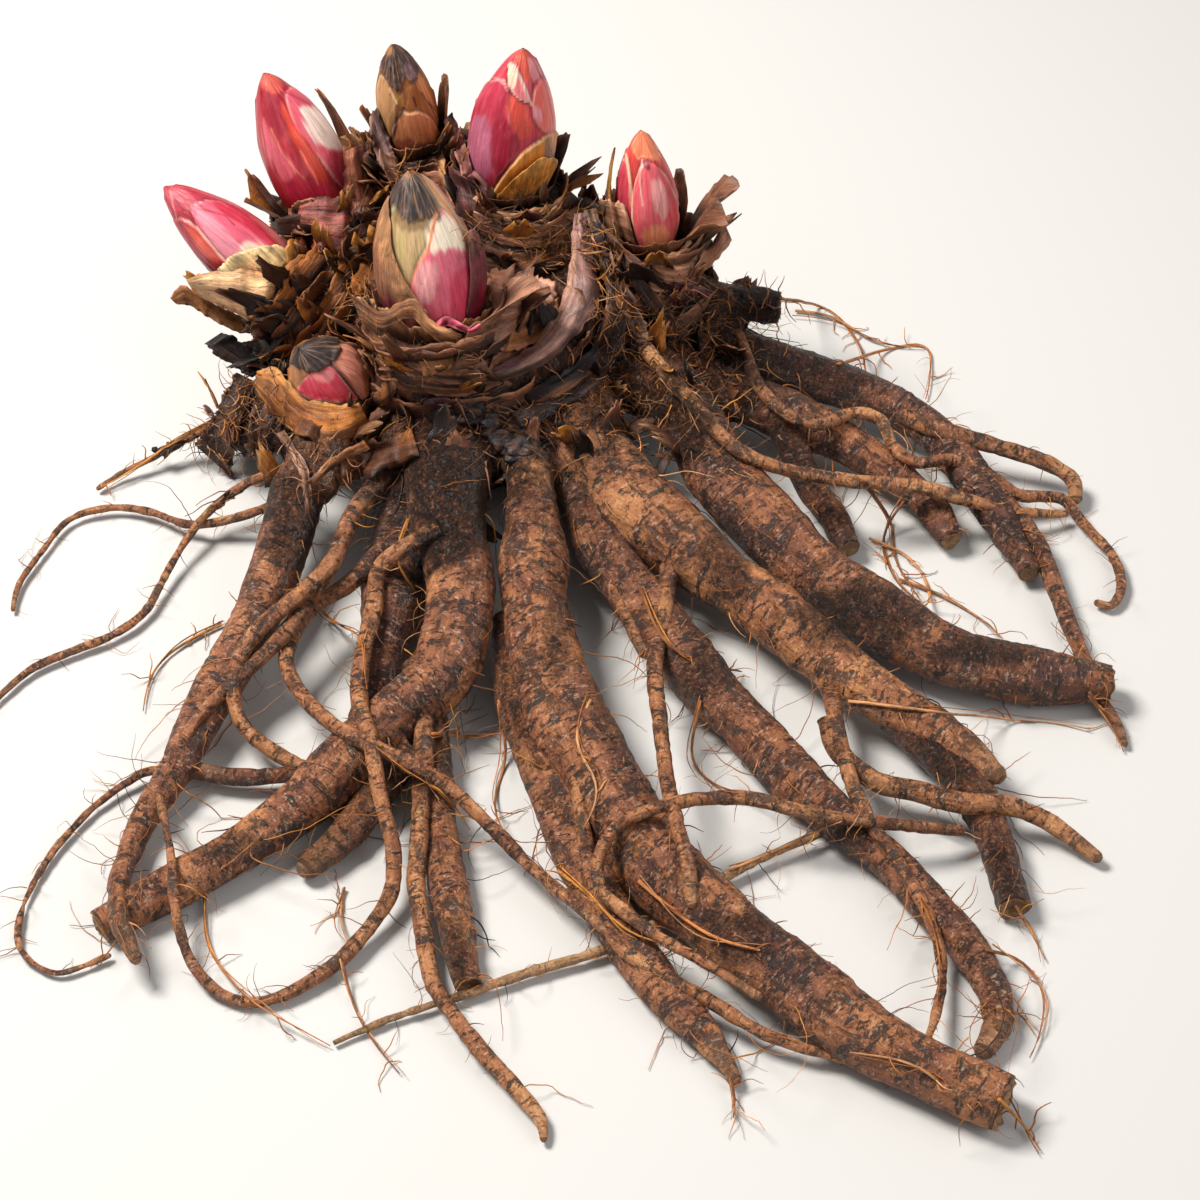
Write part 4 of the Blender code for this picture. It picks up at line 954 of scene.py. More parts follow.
def rgb(red, green, blue):
    """Linear colour from display values of 0 to 255."""
    return tuple(((value / 255.0 + 0.055) / 1.055) ** 2.4 if value > 10 else value / 3294.6
                 for value in (red, green, blue))


CRIMSON = rgb(162, 22, 44)
ROSE = rgb(198, 50, 70)
PINK = rgb(214, 98, 112)
BLUSH = rgb(228, 152, 146)
WARM_RED = rgb(202, 66, 50)
CREAM = rgb(238, 218, 186)
GREEN_CREAM = rgb(198, 182, 134)
OCHRE = rgb(186, 122, 48)
AMBER = rgb(158, 92, 34)
TAN = rgb(186, 132, 86)
PAPER = rgb(150, 96, 66)
DRY_BROWN = rgb(98, 58, 36)
DARK_BROWN = rgb(52, 30, 20)
NEAR_BLACK = rgb(26, 16, 13)
PLUM = rgb(84, 34, 44)
OLIVE = rgb(92, 74, 34)


def smooth_profile():
    rows = [(share, factor, 0.0, 0.0) for share, factor in BUD_PROFILE] + [(1.0, 0.03, 0.0, 0.0)]
    dense = spline(rows, 0.02)
    return dense[:, 0], dense[:, 1]


PROFILE_SHARES, PROFILE_FACTORS = smooth_profile()

# Scales of a bud from the innermost: angle from the side that faces the photograph's camera, half width in
# degrees, share of the bud's length at its point, colour at the base, colour at the point, edge colour.
BUD_SCALES = {
    "left": (
        ((-95.0, 120.0, 0.99, ROSE, CRIMSON, PINK), (62.0, 118.0, 0.96, PINK, ROSE, BLUSH),
         (-38.0, 80.0, 0.8, CRIMSON, ROSE, BLUSH)), CRIMSON),
    "upper_left": (
        ((90.0, 120.0, 0.99, ROSE, CRIMSON, PINK), (-70.0, 125.0, 0.97, CRIMSON, CRIMSON, PINK),
         (28.0, 84.0, 0.9, ROSE, ROSE, BLUSH)), CRIMSON),
    "top_brown": (
        ((100.0, 125.0, 0.98, OCHRE, DRY_BROWN, DARK_BROWN), (-75.0, 120.0, 0.95, OCHRE, AMBER, DRY_BROWN),
         (20.0, 85.0, 0.72, AMBER, OCHRE, DRY_BROWN)), AMBER),
    "top_pink": (
        ((120.0, 125.0, 0.99, ROSE, WARM_RED, BLUSH), (60.0, 112.0, 0.96, CRIMSON, ROSE, BLUSH),
         (-50.0, 92.0, 0.88, PINK, ROSE, BLUSH)), ROSE),
    "right": (
        ((120.0, 125.0, 0.98, ROSE, WARM_RED, BLUSH), (-80.0, 115.0, 0.93, CRIMSON, ROSE, BLUSH),
         (18.0, 72.0, 0.84, ROSE, ROSE, BLUSH)), WARM_RED),
    "front": (
        ((130.0, 125.0, 0.96, ROSE, CREAM, TAN), (-40.0, 120.0, 0.98, GREEN_CREAM, GREEN_CREAM, TAN),
         (52.0, 76.0, 0.97, ROSE, PINK, TAN)), GREEN_CREAM),
    "lower_left": (
        ((130.0, 120.0, 0.97, TAN, OCHRE, DARK_BROWN), (-80.0, 110.0, 0.93, OCHRE, AMBER, DARK_BROWN),
         (62.0, 70.0, 0.84, TAN, TAN, DRY_BROWN)), DRY_BROWN),
}

# Patches of colour: angle from the facing side, share along, half width in degrees, half length, colour, strength.
BUD_PATCHES = {
    "left": ((50, 0.27, 36, 0.2, CREAM, 0.85), (38, 0.5, 26, 0.2, BLUSH, 0.5), (-45, 0.5, 24, 0.22, WARM_RED, 0.4),
             (0, 0.97, 180, 0.12, CRIMSON, 0.8)),
    "upper_left": ((36, 0.56, 17, 0.2, CREAM, 0.9), (42, 0.4, 26, 0.24, BLUSH, 0.6), (-12, 0.5, 16, 0.3, WARM_RED, 0.5),
                   (0, 0.96, 180, 0.14, CRIMSON, 0.8)),
    "top_brown": ((-10, 0.98, 150, 0.16, NEAR_BLACK, 0.85), (-45, 0.45, 24, 0.3, GREEN_CREAM, 0.4),
                  (20, 0.6, 30, 0.14, WARM_RED, 0.12)),
    "top_pink": ((-62, 0.25, 34, 0.3, PINK, 0.6), (-10, 0.25, 30, 0.24, CRIMSON, 0.7), (14, 0.86, 20, 0.14, BLUSH, 0.7),
                 (50, 0.72, 26, 0.24, WARM_RED, 0.55), (0, 0.99, 180, 0.06, TAN, 0.5)),
    "right": ((14, 0.52, 18, 0.24, BLUSH, 0.6), (0, 0.96, 180, 0.1, OCHRE, 0.75), (-60, 0.3, 40, 0.3, CRIMSON, 0.5),
              (10, 0.2, 26, 0.12, WARM_RED, 0.5)),
    "front": ((18, 0.72, 34, 0.12, CREAM, 1.0), (40, 0.34, 44, 0.2, ROSE, 0.6), (10, 0.16, 24, 0.14, PINK, 0.5),
              (-24, 0.93, 62, 0.17, NEAR_BLACK, 1.0), (-20, 0.74, 34, 0.1, OLIVE, 0.5)),
    "lower_left": ((24, 0.5, 30, 0.16, ROSE, 1.0), (62, 0.62, 22, 0.24, BLUSH, 0.8), (-34, 0.74, 46, 0.26, NEAR_BLACK, 1.0),
                   (0, 0.99, 180, 0.12, NEAR_BLACK, 0.9), (0, 0.14, 90, 0.16, OCHRE, 0.8)),
}
# What is seen of each bud in the photograph, in its pixels: outline, colour, softness, height of the scale in
# millimetres, colour of its edge, strength.
MAUVE = rgb(178, 98, 122)
CORAL = rgb(214, 84, 62)
DEEP_RED = rgb(150, 26, 46)
PALE_PINK = rgb(228, 150, 150)
BONE = rgb(240, 218, 190)
SOOT = rgb(46, 36, 33)
GOLD = rgb(196, 134, 62)
RUST = rgb(128, 62, 38)
BUD_PAINT = {
    "left": (
        (((192, 203), (216, 199), (236, 211), (258, 227), (282, 252), (300, 262), (298, 275), (276, 274), (240, 270),
          (233, 266), (208, 237), (192, 220)), rgb(206, 84, 104), 1.5, 0.3, PINK, 1.0),
        (((208, 200), (232, 203), (262, 226), (284, 250), (268, 246), (242, 226), (222, 214)), rgb(186, 36, 58), 4.0,
         0.0, None, 0.9),
        (((194, 208), (211, 217), (236, 240), (252, 257), (241, 269), (225, 257), (201, 231)), rgb(224, 138, 150), 4.0,
         0.0, None, 0.85),
        (((246, 238), (266, 250), (292, 260), (300, 276), (276, 276), (238, 272), (236, 256)), rgb(232, 202, 180), 6.0,
         0.0, None, 1.0),
        (((158, 218), (172, 219), (186, 217), (197, 227), (217, 252), (238, 272), (226, 275), (208, 275), (194, 279),
          (184, 284), (172, 262), (160, 240)), rgb(160, 34, 54), 1.0, 0.55, rgb(214, 128, 112), 1.0),
        (((186, 219), (197, 229), (209, 246), (222, 262), (208, 258), (192, 238)), CORAL, 5.0, 0.0, None, 0.85),
        (((172, 262), (194, 268), (209, 273), (194, 282), (180, 284)), rgb(112, 30, 58), 5.0, 0.0, None, 0.8),
        (((162, 182), (176, 184), (194, 196), (192, 208), (178, 212), (164, 214), (158, 200)), rgb(190, 62, 78), 3.0,
         0.0, None, 0.7),
    ),
    "upper_left": (
        (((282, 90), (290, 120), (306, 142), (324, 165), (348, 199), (352, 180), (350, 152), (360, 142), (326, 106),
          (298, 84)), rgb(212, 82, 100), 1.0, 0.5, rgb(232, 140, 130), 1.0),
        (((297, 105), (313, 107), (330, 116), (345, 132), (356, 142), (344, 153), (334, 150), (318, 147), (309, 135),
          (300, 117)), rgb(240, 212, 196), 5.0, 0.0, None, 1.0),
        (((322, 150), (340, 152), (350, 172), (350, 198), (334, 180)), rgb(204, 52, 82), 6.0, 0.0, None, 0.8),
        (((282, 97), (296, 128), (313, 151), (325, 171), (328, 186), (315, 179), (301, 154), (287, 128), (279, 108)),
         rgb(212, 66, 44), 5.0, 0.0, None, 0.95),
        (((262, 112), (272, 130), (287, 156), (298, 172), (288, 184), (273, 168), (263, 142)), rgb(208, 88, 102), 4.0,
         0.0, None, 0.9),
        (((262, 92), (276, 94), (283, 117), (287, 137), (276, 137), (267, 117)), rgb(152, 34, 52), 5.0, 0.0, None, 0.9),
        (((286, 178), (327, 182), (350, 197), (330, 206), (302, 214), (290, 202)), rgb(186, 30, 62), 6.0, 0.0, None,
         0.8),
        (((258, 70), (270, 70), (284, 84), (280, 96), (266, 92), (260, 84)), rgb(220, 98, 78), 4.0, 0.0, None, 0.7),
    ),
    "top_brown": (
        (((376, 86), (382, 70), (390, 84), (397, 102), (396, 118), (391, 142), (384, 132), (375, 106)),
         rgb(176, 128, 82), 1.2, 0.2, rgb(206, 164, 120), 1.0),
        (((396, 90), (402, 96), (402, 104), (397, 102)), rgb(150, 116, 22), 2.0, 0.0, None, 0.9),
        (((378, 58), (386, 40), (396, 42), (405, 48), (416, 60), (419, 78), (412, 84), (404, 74), (403, 95), (394, 89),
          (387, 78), (381, 69)), rgb(56, 36, 26), 2.6, 0.3, rgb(120, 78, 52), 1.0),
        (((404, 60), (412, 66), (416, 78), (409, 80), (402, 72)), rgb(122, 92, 92), 3.0, 0.0, None, 0.7),
        (((384, 44), (392, 42), (394, 52), (388, 56)), rgb(176, 116, 58), 2.5, 0.0, None, 0.8),
        (((416, 70), (428, 90), (438, 114), (443, 132), (437, 130), (428, 104), (414, 86)), rgb(214, 142, 84), 3.0, 0.0,
         None, 0.9),
        (((402, 109), (408, 113), (418, 109), (429, 116), (437, 129), (442, 142), (437, 154), (422, 164), (406, 152),
          (394, 144), (393, 129), (399, 117)), rgb(204, 128, 80), 0.9, 0.6, rgb(226, 164, 120), 1.0),
        (((392, 140), (408, 138), (430, 142), (442, 144), (438, 158), (420, 166), (400, 156)), rgb(140, 70, 44), 5.0,
         0.0, None, 0.85),
    ),
    "top_pink": (
        (((493, 78), (508, 82), (510, 97), (510, 120), (518, 141), (514, 156), (498, 175), (490, 190), (464, 176),
          (464, 134), (474, 107), (484, 86)), rgb(172, 40, 64), 1.2, 0.45, rgb(222, 128, 130), 1.0),
        (((464, 134), (480, 112), (490, 118), (492, 145), (491, 168), (484, 184), (464, 172)), MAUVE, 7.0, 0.0, None,
         0.85),
        (((492, 120), (512, 118), (520, 142), (508, 160), (494, 168)), rgb(156, 14, 46), 6.0, 0.0, None, 0.8),
        (((506, 97), (514, 95), (529, 106), (534, 132), (523, 142), (511, 128)), rgb(214, 76, 60), 4.0, 0.0, None, 0.9),
        (((508, 62), (515, 63), (519, 72), (525, 88), (531, 104), (520, 100), (510, 90), (508, 76)),
         rgb(220, 112, 118), 1.2, 0.4, rgb(238, 190, 164), 1.0),
        (((509, 64), (514, 66), (518, 74), (516, 86), (511, 89), (509, 76)), rgb(240, 204, 176), 2.6, 0.0, None, 1.0),
        (((533, 90), (543, 74), (554, 94), (560, 116), (560, 136), (546, 134), (535, 125), (531, 106)),
         rgb(222, 92, 80), 1.2, 0.45, rgb(236, 158, 148), 1.0),
        # The pale pink stripe on the raised right scale is a painted highlight.
        (((533, 104), (539, 108), (540, 126), (534, 118)), rgb(232, 150, 158), 3.0, 0.0, None, 0.9),
        (((512, 50), (524, 44), (532, 58), (534, 78), (526, 84), (520, 70)), rgb(208, 78, 48), 4.0, 0.0, None, 0.9),
        (((527, 56), (536, 60), (542, 74), (534, 84), (530, 72)), rgb(228, 140, 142), 3.0, 0.0, None, 0.8),
        (((488, 200), (500, 180), (512, 162), (526, 147), (544, 135), (552, 131), (562, 134), (566, 170), (560, 206),
          (520, 214)), rgb(204, 126, 48), 0.9, 0.8, rgb(226, 176, 116), 1.0),
        (((540, 138), (548, 136), (552, 160), (544, 168)), rgb(96, 52, 26), 3.0, 0.0, None, 0.8),
        (((500, 184), (520, 164), (530, 168), (514, 196)), rgb(150, 86, 36), 4.0, 0.0, None, 0.7),
    ),
    "right": (
        (((596, 200), (609, 172), (625, 153), (632, 176), (632, 198), (634, 226), (614, 240), (600, 230)),
         rgb(190, 54, 72), 1.2, 0.2, rgb(228, 150, 130), 1.0),
        (((630, 144), (643, 126), (656, 138), (662, 163), (646, 158), (636, 160)), rgb(226, 122, 82), 2.0, 0.0,
         rgb(238, 180, 140), 1.0),
        (((643, 158), (662, 168), (677, 203), (676, 236), (664, 252), (640, 250), (631, 214), (635, 182)),
         rgb(216, 84, 92), 0.9, 0.7, rgb(238, 160, 140), 1.0),
        # The pale pink patch on the front scale is a painted highlight.
        (((648, 176), (660, 180), (668, 206), (664, 220), (652, 210)), rgb(236, 158, 152), 5.0, 0.0, None, 0.9),
        (((646, 222), (662, 224), (672, 236), (660, 252), (644, 248)), rgb(220, 138, 90), 5.0, 0.0, None, 0.8),
        # The dark magenta line in the crack between two scales is painted shade.
        (((641, 158), (650, 160), (650, 170), (643, 170)), rgb(120, 20, 48), 2.0, 0.0, None, 0.9),
    ),
    "front": (
        (((391, 212), (413, 208), (434, 212), (428, 240), (414, 264), (411, 286), (402, 300), (388, 270), (384, 238)),
         rgb(188, 156, 110), 1.5, 0.15, None, 1.0),
        (((392, 232), (404, 228), (408, 250), (402, 270)), rgb(176, 158, 100), 5.0, 0.0, None, 0.6),
        (((390, 206), (434, 204), (432, 222), (414, 234), (394, 226)), rgb(132, 102, 66), 5.0, 0.0, None, 0.8),
        (((431, 215), (440, 206), (456, 222), (465, 247), (473, 270), (481, 298), (478, 318), (450, 330), (424, 318),
          (410, 294), (416, 268), (428, 246)), rgb(220, 98, 118), 0.9, 0.8, rgb(206, 132, 92), 1.0),
        (((410, 282), (420, 258), (436, 262), (436, 292), (424, 306)), rgb(232, 156, 154), 6.0, 0.0, None, 0.85),
        (((446, 270), (470, 266), (480, 296), (470, 318), (448, 314)), rgb(208, 52, 86), 7.0, 0.0, None, 0.8),
        (((432, 214), (441, 210), (456, 224), (465, 248), (446, 246), (430, 251), (428, 236)), rgb(244, 224, 196), 7.0,
         0.0, None, 1.0),
        (((386, 196), (398, 170), (408, 160), (418, 170), (428, 188), (439, 206), (437, 218), (422, 216), (412, 224),
          (398, 212)), SOOT, 5.0, 0.35, rgb(132, 92, 60), 1.0),
        (((402, 162), (410, 160), (416, 172), (408, 180), (402, 174)), rgb(158, 98, 46), 3.0, 0.0, None, 0.85),
    ),
    "lower_left": (
        (((250, 366), (277, 360), (296, 384), (311, 398), (360, 400), (372, 424), (325, 444), (290, 430), (262, 400)),
         GOLD, 1.5, 0.3, rgb(226, 176, 110), 1.0),
        (((294, 389), (313, 370), (331, 364), (346, 382), (362, 402), (335, 402), (311, 400)), rgb(216, 62, 84), 1.0,
         0.0, rgb(236, 170, 150), 1.0),
        (((306, 376), (330, 367), (338, 376), (322, 384)), rgb(230, 134, 134), 4.0, 0.0, None, 0.9),
        (((329, 351), (345, 342), (362, 358), (370, 390), (362, 404), (347, 381), (331, 364)), rgb(212, 134, 112), 0.9,
         0.6, rgb(110, 56, 32), 1.0),
        (((352, 350), (366, 356), (372, 392), (364, 400), (358, 372)), rgb(150, 88, 46), 3.0, 0.0, None, 0.9),
        (((280, 366), (300, 364), (310, 374), (296, 388)), rgb(176, 118, 76), 3.0, 0.0, None, 0.9),
        (((268, 346), (300, 326), (336, 330), (338, 352), (331, 364), (311, 374), (300, 367), (280, 356)), SOOT, 1.8,
         0.5, rgb(84, 60, 46), 1.0),
    ),
}
# Thin lines on them: places, colour, width, strength.
BUD_LINES = {
    "left": ((((236, 270), (222, 256), (206, 238), (197, 226)), rgb(232, 176, 160), 1.3, 0.8),
             (((166, 186), (176, 200), (187, 214)), rgb(150, 30, 50), 1.6, 0.8),
             (((170, 190), (173, 204), (176, 216)), rgb(226, 130, 132), 1.4, 0.7),
             (((196, 202), (204, 210), (224, 216), (234, 226)), rgb(150, 26, 44), 1.4, 0.7)),
    "upper_left": ((((271, 128), (282, 152), (296, 170), (304, 178)), rgb(230, 150, 110), 1.3, 0.5),
                   (((300, 150), (309, 166), (318, 184)), rgb(232, 140, 110), 1.2, 0.5),
                   (((316, 153), (326, 168), (336, 182)), rgb(238, 150, 140), 1.2, 0.7),
                   (((284, 92), (298, 100), (308, 106)), rgb(170, 36, 56), 1.4, 0.7)),
    "top_brown": ((((404, 108), (398, 118), (395, 132), (393, 142)), rgb(52, 24, 18), 2.4, 0.95),
                  (((413, 97), (416, 106)), rgb(70, 36, 20), 1.6, 0.9),
                  (((420, 92), (430, 106), (435, 118)), rgb(110, 58, 28), 1.2, 0.9),
                  (((428, 102), (436, 112), (440, 124)), rgb(96, 48, 24), 1.4, 0.8),
                  (((399, 78), (404, 90), (405, 104)), rgb(92, 56, 40), 1.6, 0.7),
                  (((390, 88), (397, 103)), rgb(226, 186, 140), 1.2, 0.8)),
    # The first top pink line, dark red, is painted shade in the crack between two scales.
    "top_pink": ((((533, 84), (532, 96), (530, 108)), rgb(140, 16, 34), 1.6, 0.9),
                 (((507, 84), (509, 96), (508, 104)), rgb(150, 24, 44), 1.2, 0.7),
                 (((514, 64), (520, 76), (526, 90), (531, 104)), rgb(240, 190, 172), 1.4, 0.9),
                 (((494, 78), (504, 80), (508, 90)), rgb(226, 140, 130), 1.2, 0.8)),
    "right": ((((626, 154), (630, 176), (633, 200), (634, 224)), rgb(232, 184, 150), 1.6, 0.9),
              (((642, 160), (640, 180), (643, 204)), rgb(238, 168, 150), 1.2, 0.8)),
    "front": ((((420, 172), (437, 194), (452, 216), (464, 240), (472, 270), (481, 296)), rgb(210, 138, 92), 2.0, 1.0),
              (((434, 214), (430, 236), (428, 248), (416, 268), (411, 286)), rgb(196, 118, 78), 1.8, 1.0),
              (((404, 176), (410, 196), (408, 214)), rgb(110, 92, 84), 1.8, 0.6)),
    "lower_left": ((((294, 388), (312, 399), (336, 402), (362, 402)), rgb(238, 176, 156), 1.6, 1.0),
                   (((331, 364), (348, 384), (360, 400)), rgb(70, 30, 24), 1.4, 0.9),
                   (((268, 386), (292, 410), (324, 424)), rgb(132, 78, 30), 2.0, 0.8)),
}
BUD_DRYNESS = {"left": 0.08, "upper_left": 0.1, "top_brown": 0.9, "top_pink": 0.08, "right": 0.3, "front": 0.2,
               "lower_left": 0.55}


def facing_angle(owner):
    view = SIGHT_POINT - owner.foot
    return math.atan2(float(view @ owner.back), float(view @ owner.right))


def turned(angle):
    """Angle brought between -pi and pi."""
    return (angle + math.pi) % TAU - math.pi


def sight_pixels(points):
    """Column and row in the photograph of each place."""
    away = points - SIGHT_POINT
    depth = away @ FORWARD
    return np.stack([600.0 + FOCAL * (away @ SIGHT_RIGHT) / depth, 600.0 - FOCAL * (away @ SIGHT_UP) / depth], axis=-1)


def line_distance(spots, first, second):
    """Distance of each place from the nearest of the straight pieces between the corners."""
    edge = second - first
    share = np.clip(((spots - first) * edge).sum(axis=-1) / np.maximum((edge**2).sum(axis=-1), 1e-9), 0.0, 1.0)
    return np.linalg.norm(spots - first - share[..., None] * edge, axis=-1).min(axis=-1)


def inside_by(pixels, outline):
    """How far inside an outline each place is; below zero outside it."""
    corners = np.array(outline, float)
    for _ in range(2):
        after = np.roll(corners, -1, axis=0)
        corners = np.stack([0.75 * corners + 0.25 * after, 0.25 * corners + 0.75 * after], axis=1).reshape(-1, 2)
    after = np.roll(corners, -1, axis=0)
    spots = pixels[..., None, :]
    crossing = (corners[:, 1] > spots[..., 1]) != (after[:, 1] > spots[..., 1])
    drop = np.where(np.abs(after[:, 1] - corners[:, 1]) < 1e-9, 1e-9, after[:, 1] - corners[:, 1])
    meets = corners[:, 0] + (spots[..., 1] - corners[:, 1]) * (after[:, 0] - corners[:, 0]) / drop
    odd = (crossing & (spots[..., 0] < meets)).sum(axis=-1) % 2 == 1
    distance = line_distance(spots, corners, after)
    return np.where(odd, distance, -distance)


def painted(name, pixels, facing, field, skin, radius, factor, seed):
    """Colours and raised scales as they are seen in the photograph, on the side that faces its camera."""
    fray = noise(field * (0.12, 1.0, 1.0), 1.0, seed + 60)
    waver = noise(field, 3.0, seed + 61)
    for index, (outline, colour, soft, rise, edge, strength) in enumerate(BUD_PAINT[name]):
        within_it = inside_by(pixels, outline) + 0.7 * soft * fray + 0.6 * waver
        share = ramp(within_it, -0.5 * soft, 0.5 * soft) * facing * strength
        if sum(colour) < 0.2:
            streaks = noise(field * (0.16, 1.0, 1.0), 0.7, seed + 90 + index)
            colour = mix(colour, rgb(136, 98, 70), 0.75 * ramp(streaks, 0.1, 0.75))
            # The grey blotches are painted highlights for the sheen of the dark scales; the brown streaks are their own
            # colour.
            colour = mix(colour, rgb(96, 84, 82), 0.6 * ramp(noise(field, 1.6, seed + 91 + index), 0.2, 0.7))
            radius = radius + 0.22 * share * (streaks + noise(field, 1.1, seed + 92 + index))
        skin = mix(skin, colour, share)
        if rise > 0.0:
            solid = ramp(within_it, -0.8, 1.2) * facing
            radius = radius + rise * solid * np.minimum(1.0, 4.0 * factor)
            shadow = ramp(within_it, -4.5, -0.4) * ramp(within_it, 0.3, -0.4) * facing
            skin = skin * (1.0 - 0.42 * shadow)[..., None]
        if edge is not None:
            lip = ramp(within_it, -0.4, 0.5) * ramp(within_it, 2.6, 1.0) * facing
            skin = mix(skin, edge, 0.75 * lip * ramp(noise(field, 5.0, seed + 62 + index), -0.6, 0.2))
    for places, colour, width, strength in BUD_LINES[name]:
        corners = np.array(places, float)
        distance = line_distance(pixels[..., None, :], corners[:-1], corners[1:]) + 0.3 * waver
        skin = mix(skin, colour, ramp(distance, width, 0.35 * width) * facing * strength)
    return skin, radius


def bud_piece(name, seed):
    owner = FRAMES[name]
    rows, columns = 84, 128
    share = np.linspace(0.0, 1.0, rows) ** 0.94
    facing = facing_angle(owner)
    even = TAU * np.arange(columns) / columns
    angle = facing + even - 0.5 * np.sin(even)
    t, a = np.meshgrid(share, angle, indexing="ij")
    factor = np.interp(t, PROFILE_SHARES, PROFILE_FACTORS)
    radius = factor * (owner.radius - 0.95)
    field = np.stack([t * owner.length + seed * 41.0, owner.radius * np.cos(a), owner.radius * np.sin(a)], axis=-1)
    scales, core = BUD_SCALES[name]
    dryness = BUD_DRYNESS[name]
    skin = np.broadcast_to(np.asarray(core), t.shape + (3,)).copy()
    spots = owner.place(a, t * owner.length, radius)
    outward = np.cos(a)[..., None] * owner.right + np.sin(a)[..., None] * owner.back
    outward = unit(outward + owner.axis * (0.25 + 0.5 * t**2)[..., None])
    seen = ramp((outward * unit(SIGHT_POINT - spots)).sum(axis=-1), -0.12, 0.1)
    wander = 0.10 * noise(field, 9.0, seed + 3)
    for index, (centre, half, top, low_colour, high_colour, edge_colour) in enumerate(scales):
        middle = facing + math.radians(centre) + 0.5 * t + wander
        reach = math.radians(half) * np.sqrt(np.clip(1.0 - (t / top) ** 3.0, 0.0, 1.0))
        gap = (reach - np.abs(turned(a - middle))) * owner.radius * np.maximum(factor, 0.15)
        gap = gap + 0.25 * noise(field, 1.4, seed + 5 + index) * (0.3 + dryness)
        inside = ramp(gap, -0.12, 0.3) * (1.0 - 0.8 * seen)
        lip = ramp(gap, -0.1, 0.25) * ramp(gap, 1.0, 0.35) * (1.0 - 0.8 * seen)
        radius = radius + (0.36 + 0.12 * index) * inside * np.minimum(1.0, 4.0 * factor) + 0.16 * lip
        tone = mix(low_colour, high_colour, ramp(t, 0.1, 0.85 * top))
        # Each scale's colour is darker on inner layers and lighter on outer ones: painted shade and light.
        skin = mix(skin, tone * (0.88 + 0.1 * index), inside)
        skin = mix(skin, edge_colour, 0.6 * lip * inside * ramp(noise(field, 6.0, seed + 40 + index), -0.7, 0.3))
        # The darker band just outside each scale's edge is painted shade under the overlapping scale.
        skin = skin * (1.0 - 0.5 * (1.0 - 0.8 * seen) * ramp(gap, -1.2, -0.15) * ramp(gap, 0.0, -0.3))[..., None]
    for centre, along, wide, tall, colour, strength in BUD_PATCHES[name]:
        away = ((turned(a - facing - math.radians(centre)) / math.radians(wide)) ** 2 + ((t - along) / tall) ** 2)
        spread = away + 0.45 * noise(field, 4.0, seed + 9)
        frayed = spread + 0.5 * noise(field * (0.12, 1.0, 1.0), 1.0, seed + 10)
        skin = mix(skin, colour, strength * (1.0 - 0.8 * seen) * ramp(frayed, 1.35, 0.3))
    skin, radius = painted(name, sight_pixels(spots), seen, field, skin, radius, factor, seed)
    veins = noise(field * (0.05, 1.0, 1.0), 1.1, seed + 11)
    creases = ramp(noise(field * (0.07, 1.0, 1.0), 2.0, seed + 14), 0.45, 0.75)
    radius = radius - 0.16 * creases * np.minimum(1.0, 3.0 * factor)
    # Darkening the colour in the creases is painted shade.
    skin = skin * (1.0 - 0.22 * creases)[..., None]
    # Brightened streaks along the scales are painted highlights for their gloss.
    painted_glints = ramp(noise(field * (0.06, 1.0, 1.0), 1.3, seed + 15), 0.55, 0.85)
    skin = mix(skin, np.minimum(skin * 2.2 + 0.04, 0.9), 0.3 * painted_glints)
    radius = radius + 0.09 * veins * np.minimum(1.0, 3.0 * factor) + 0.22 * noise(field, 7.0, seed + 12)
    radius = radius + dryness * 0.35 * noise(field * (0.35, 1.0, 1.0), 2.6, seed + 13)
    skin = skin * (1.0 + 0.10 * veins)[..., None]
    points = owner.place(a, t * owner.length, np.maximum(radius, 0.05))
    shape = Shape()
    middle = owner.foot[None]
    faces = grid_quads(rows, columns, True)
    fan = [((corner + 1) % columns, corner, rows * columns) for corner in range(columns)]
    shape.add(np.vstack([points.reshape(-1, 3), middle]), faces, np.array(fan),
              grain=np.vstack([field.reshape(-1, 3), field[0, :1]]),
              skin=np.vstack([np.clip(skin, 0.0, 1.0).reshape(-1, 3), skin[0, :1]]),
              dry=np.full(rows * columns + 1, dryness))
    slot = "bud_brown" if name == "top_brown" else "bud_pink"
    shape.build("bud_" + name + "_scales", BUD, slot, "bud_" + name)
    return shape


# Husks and wrapper scales

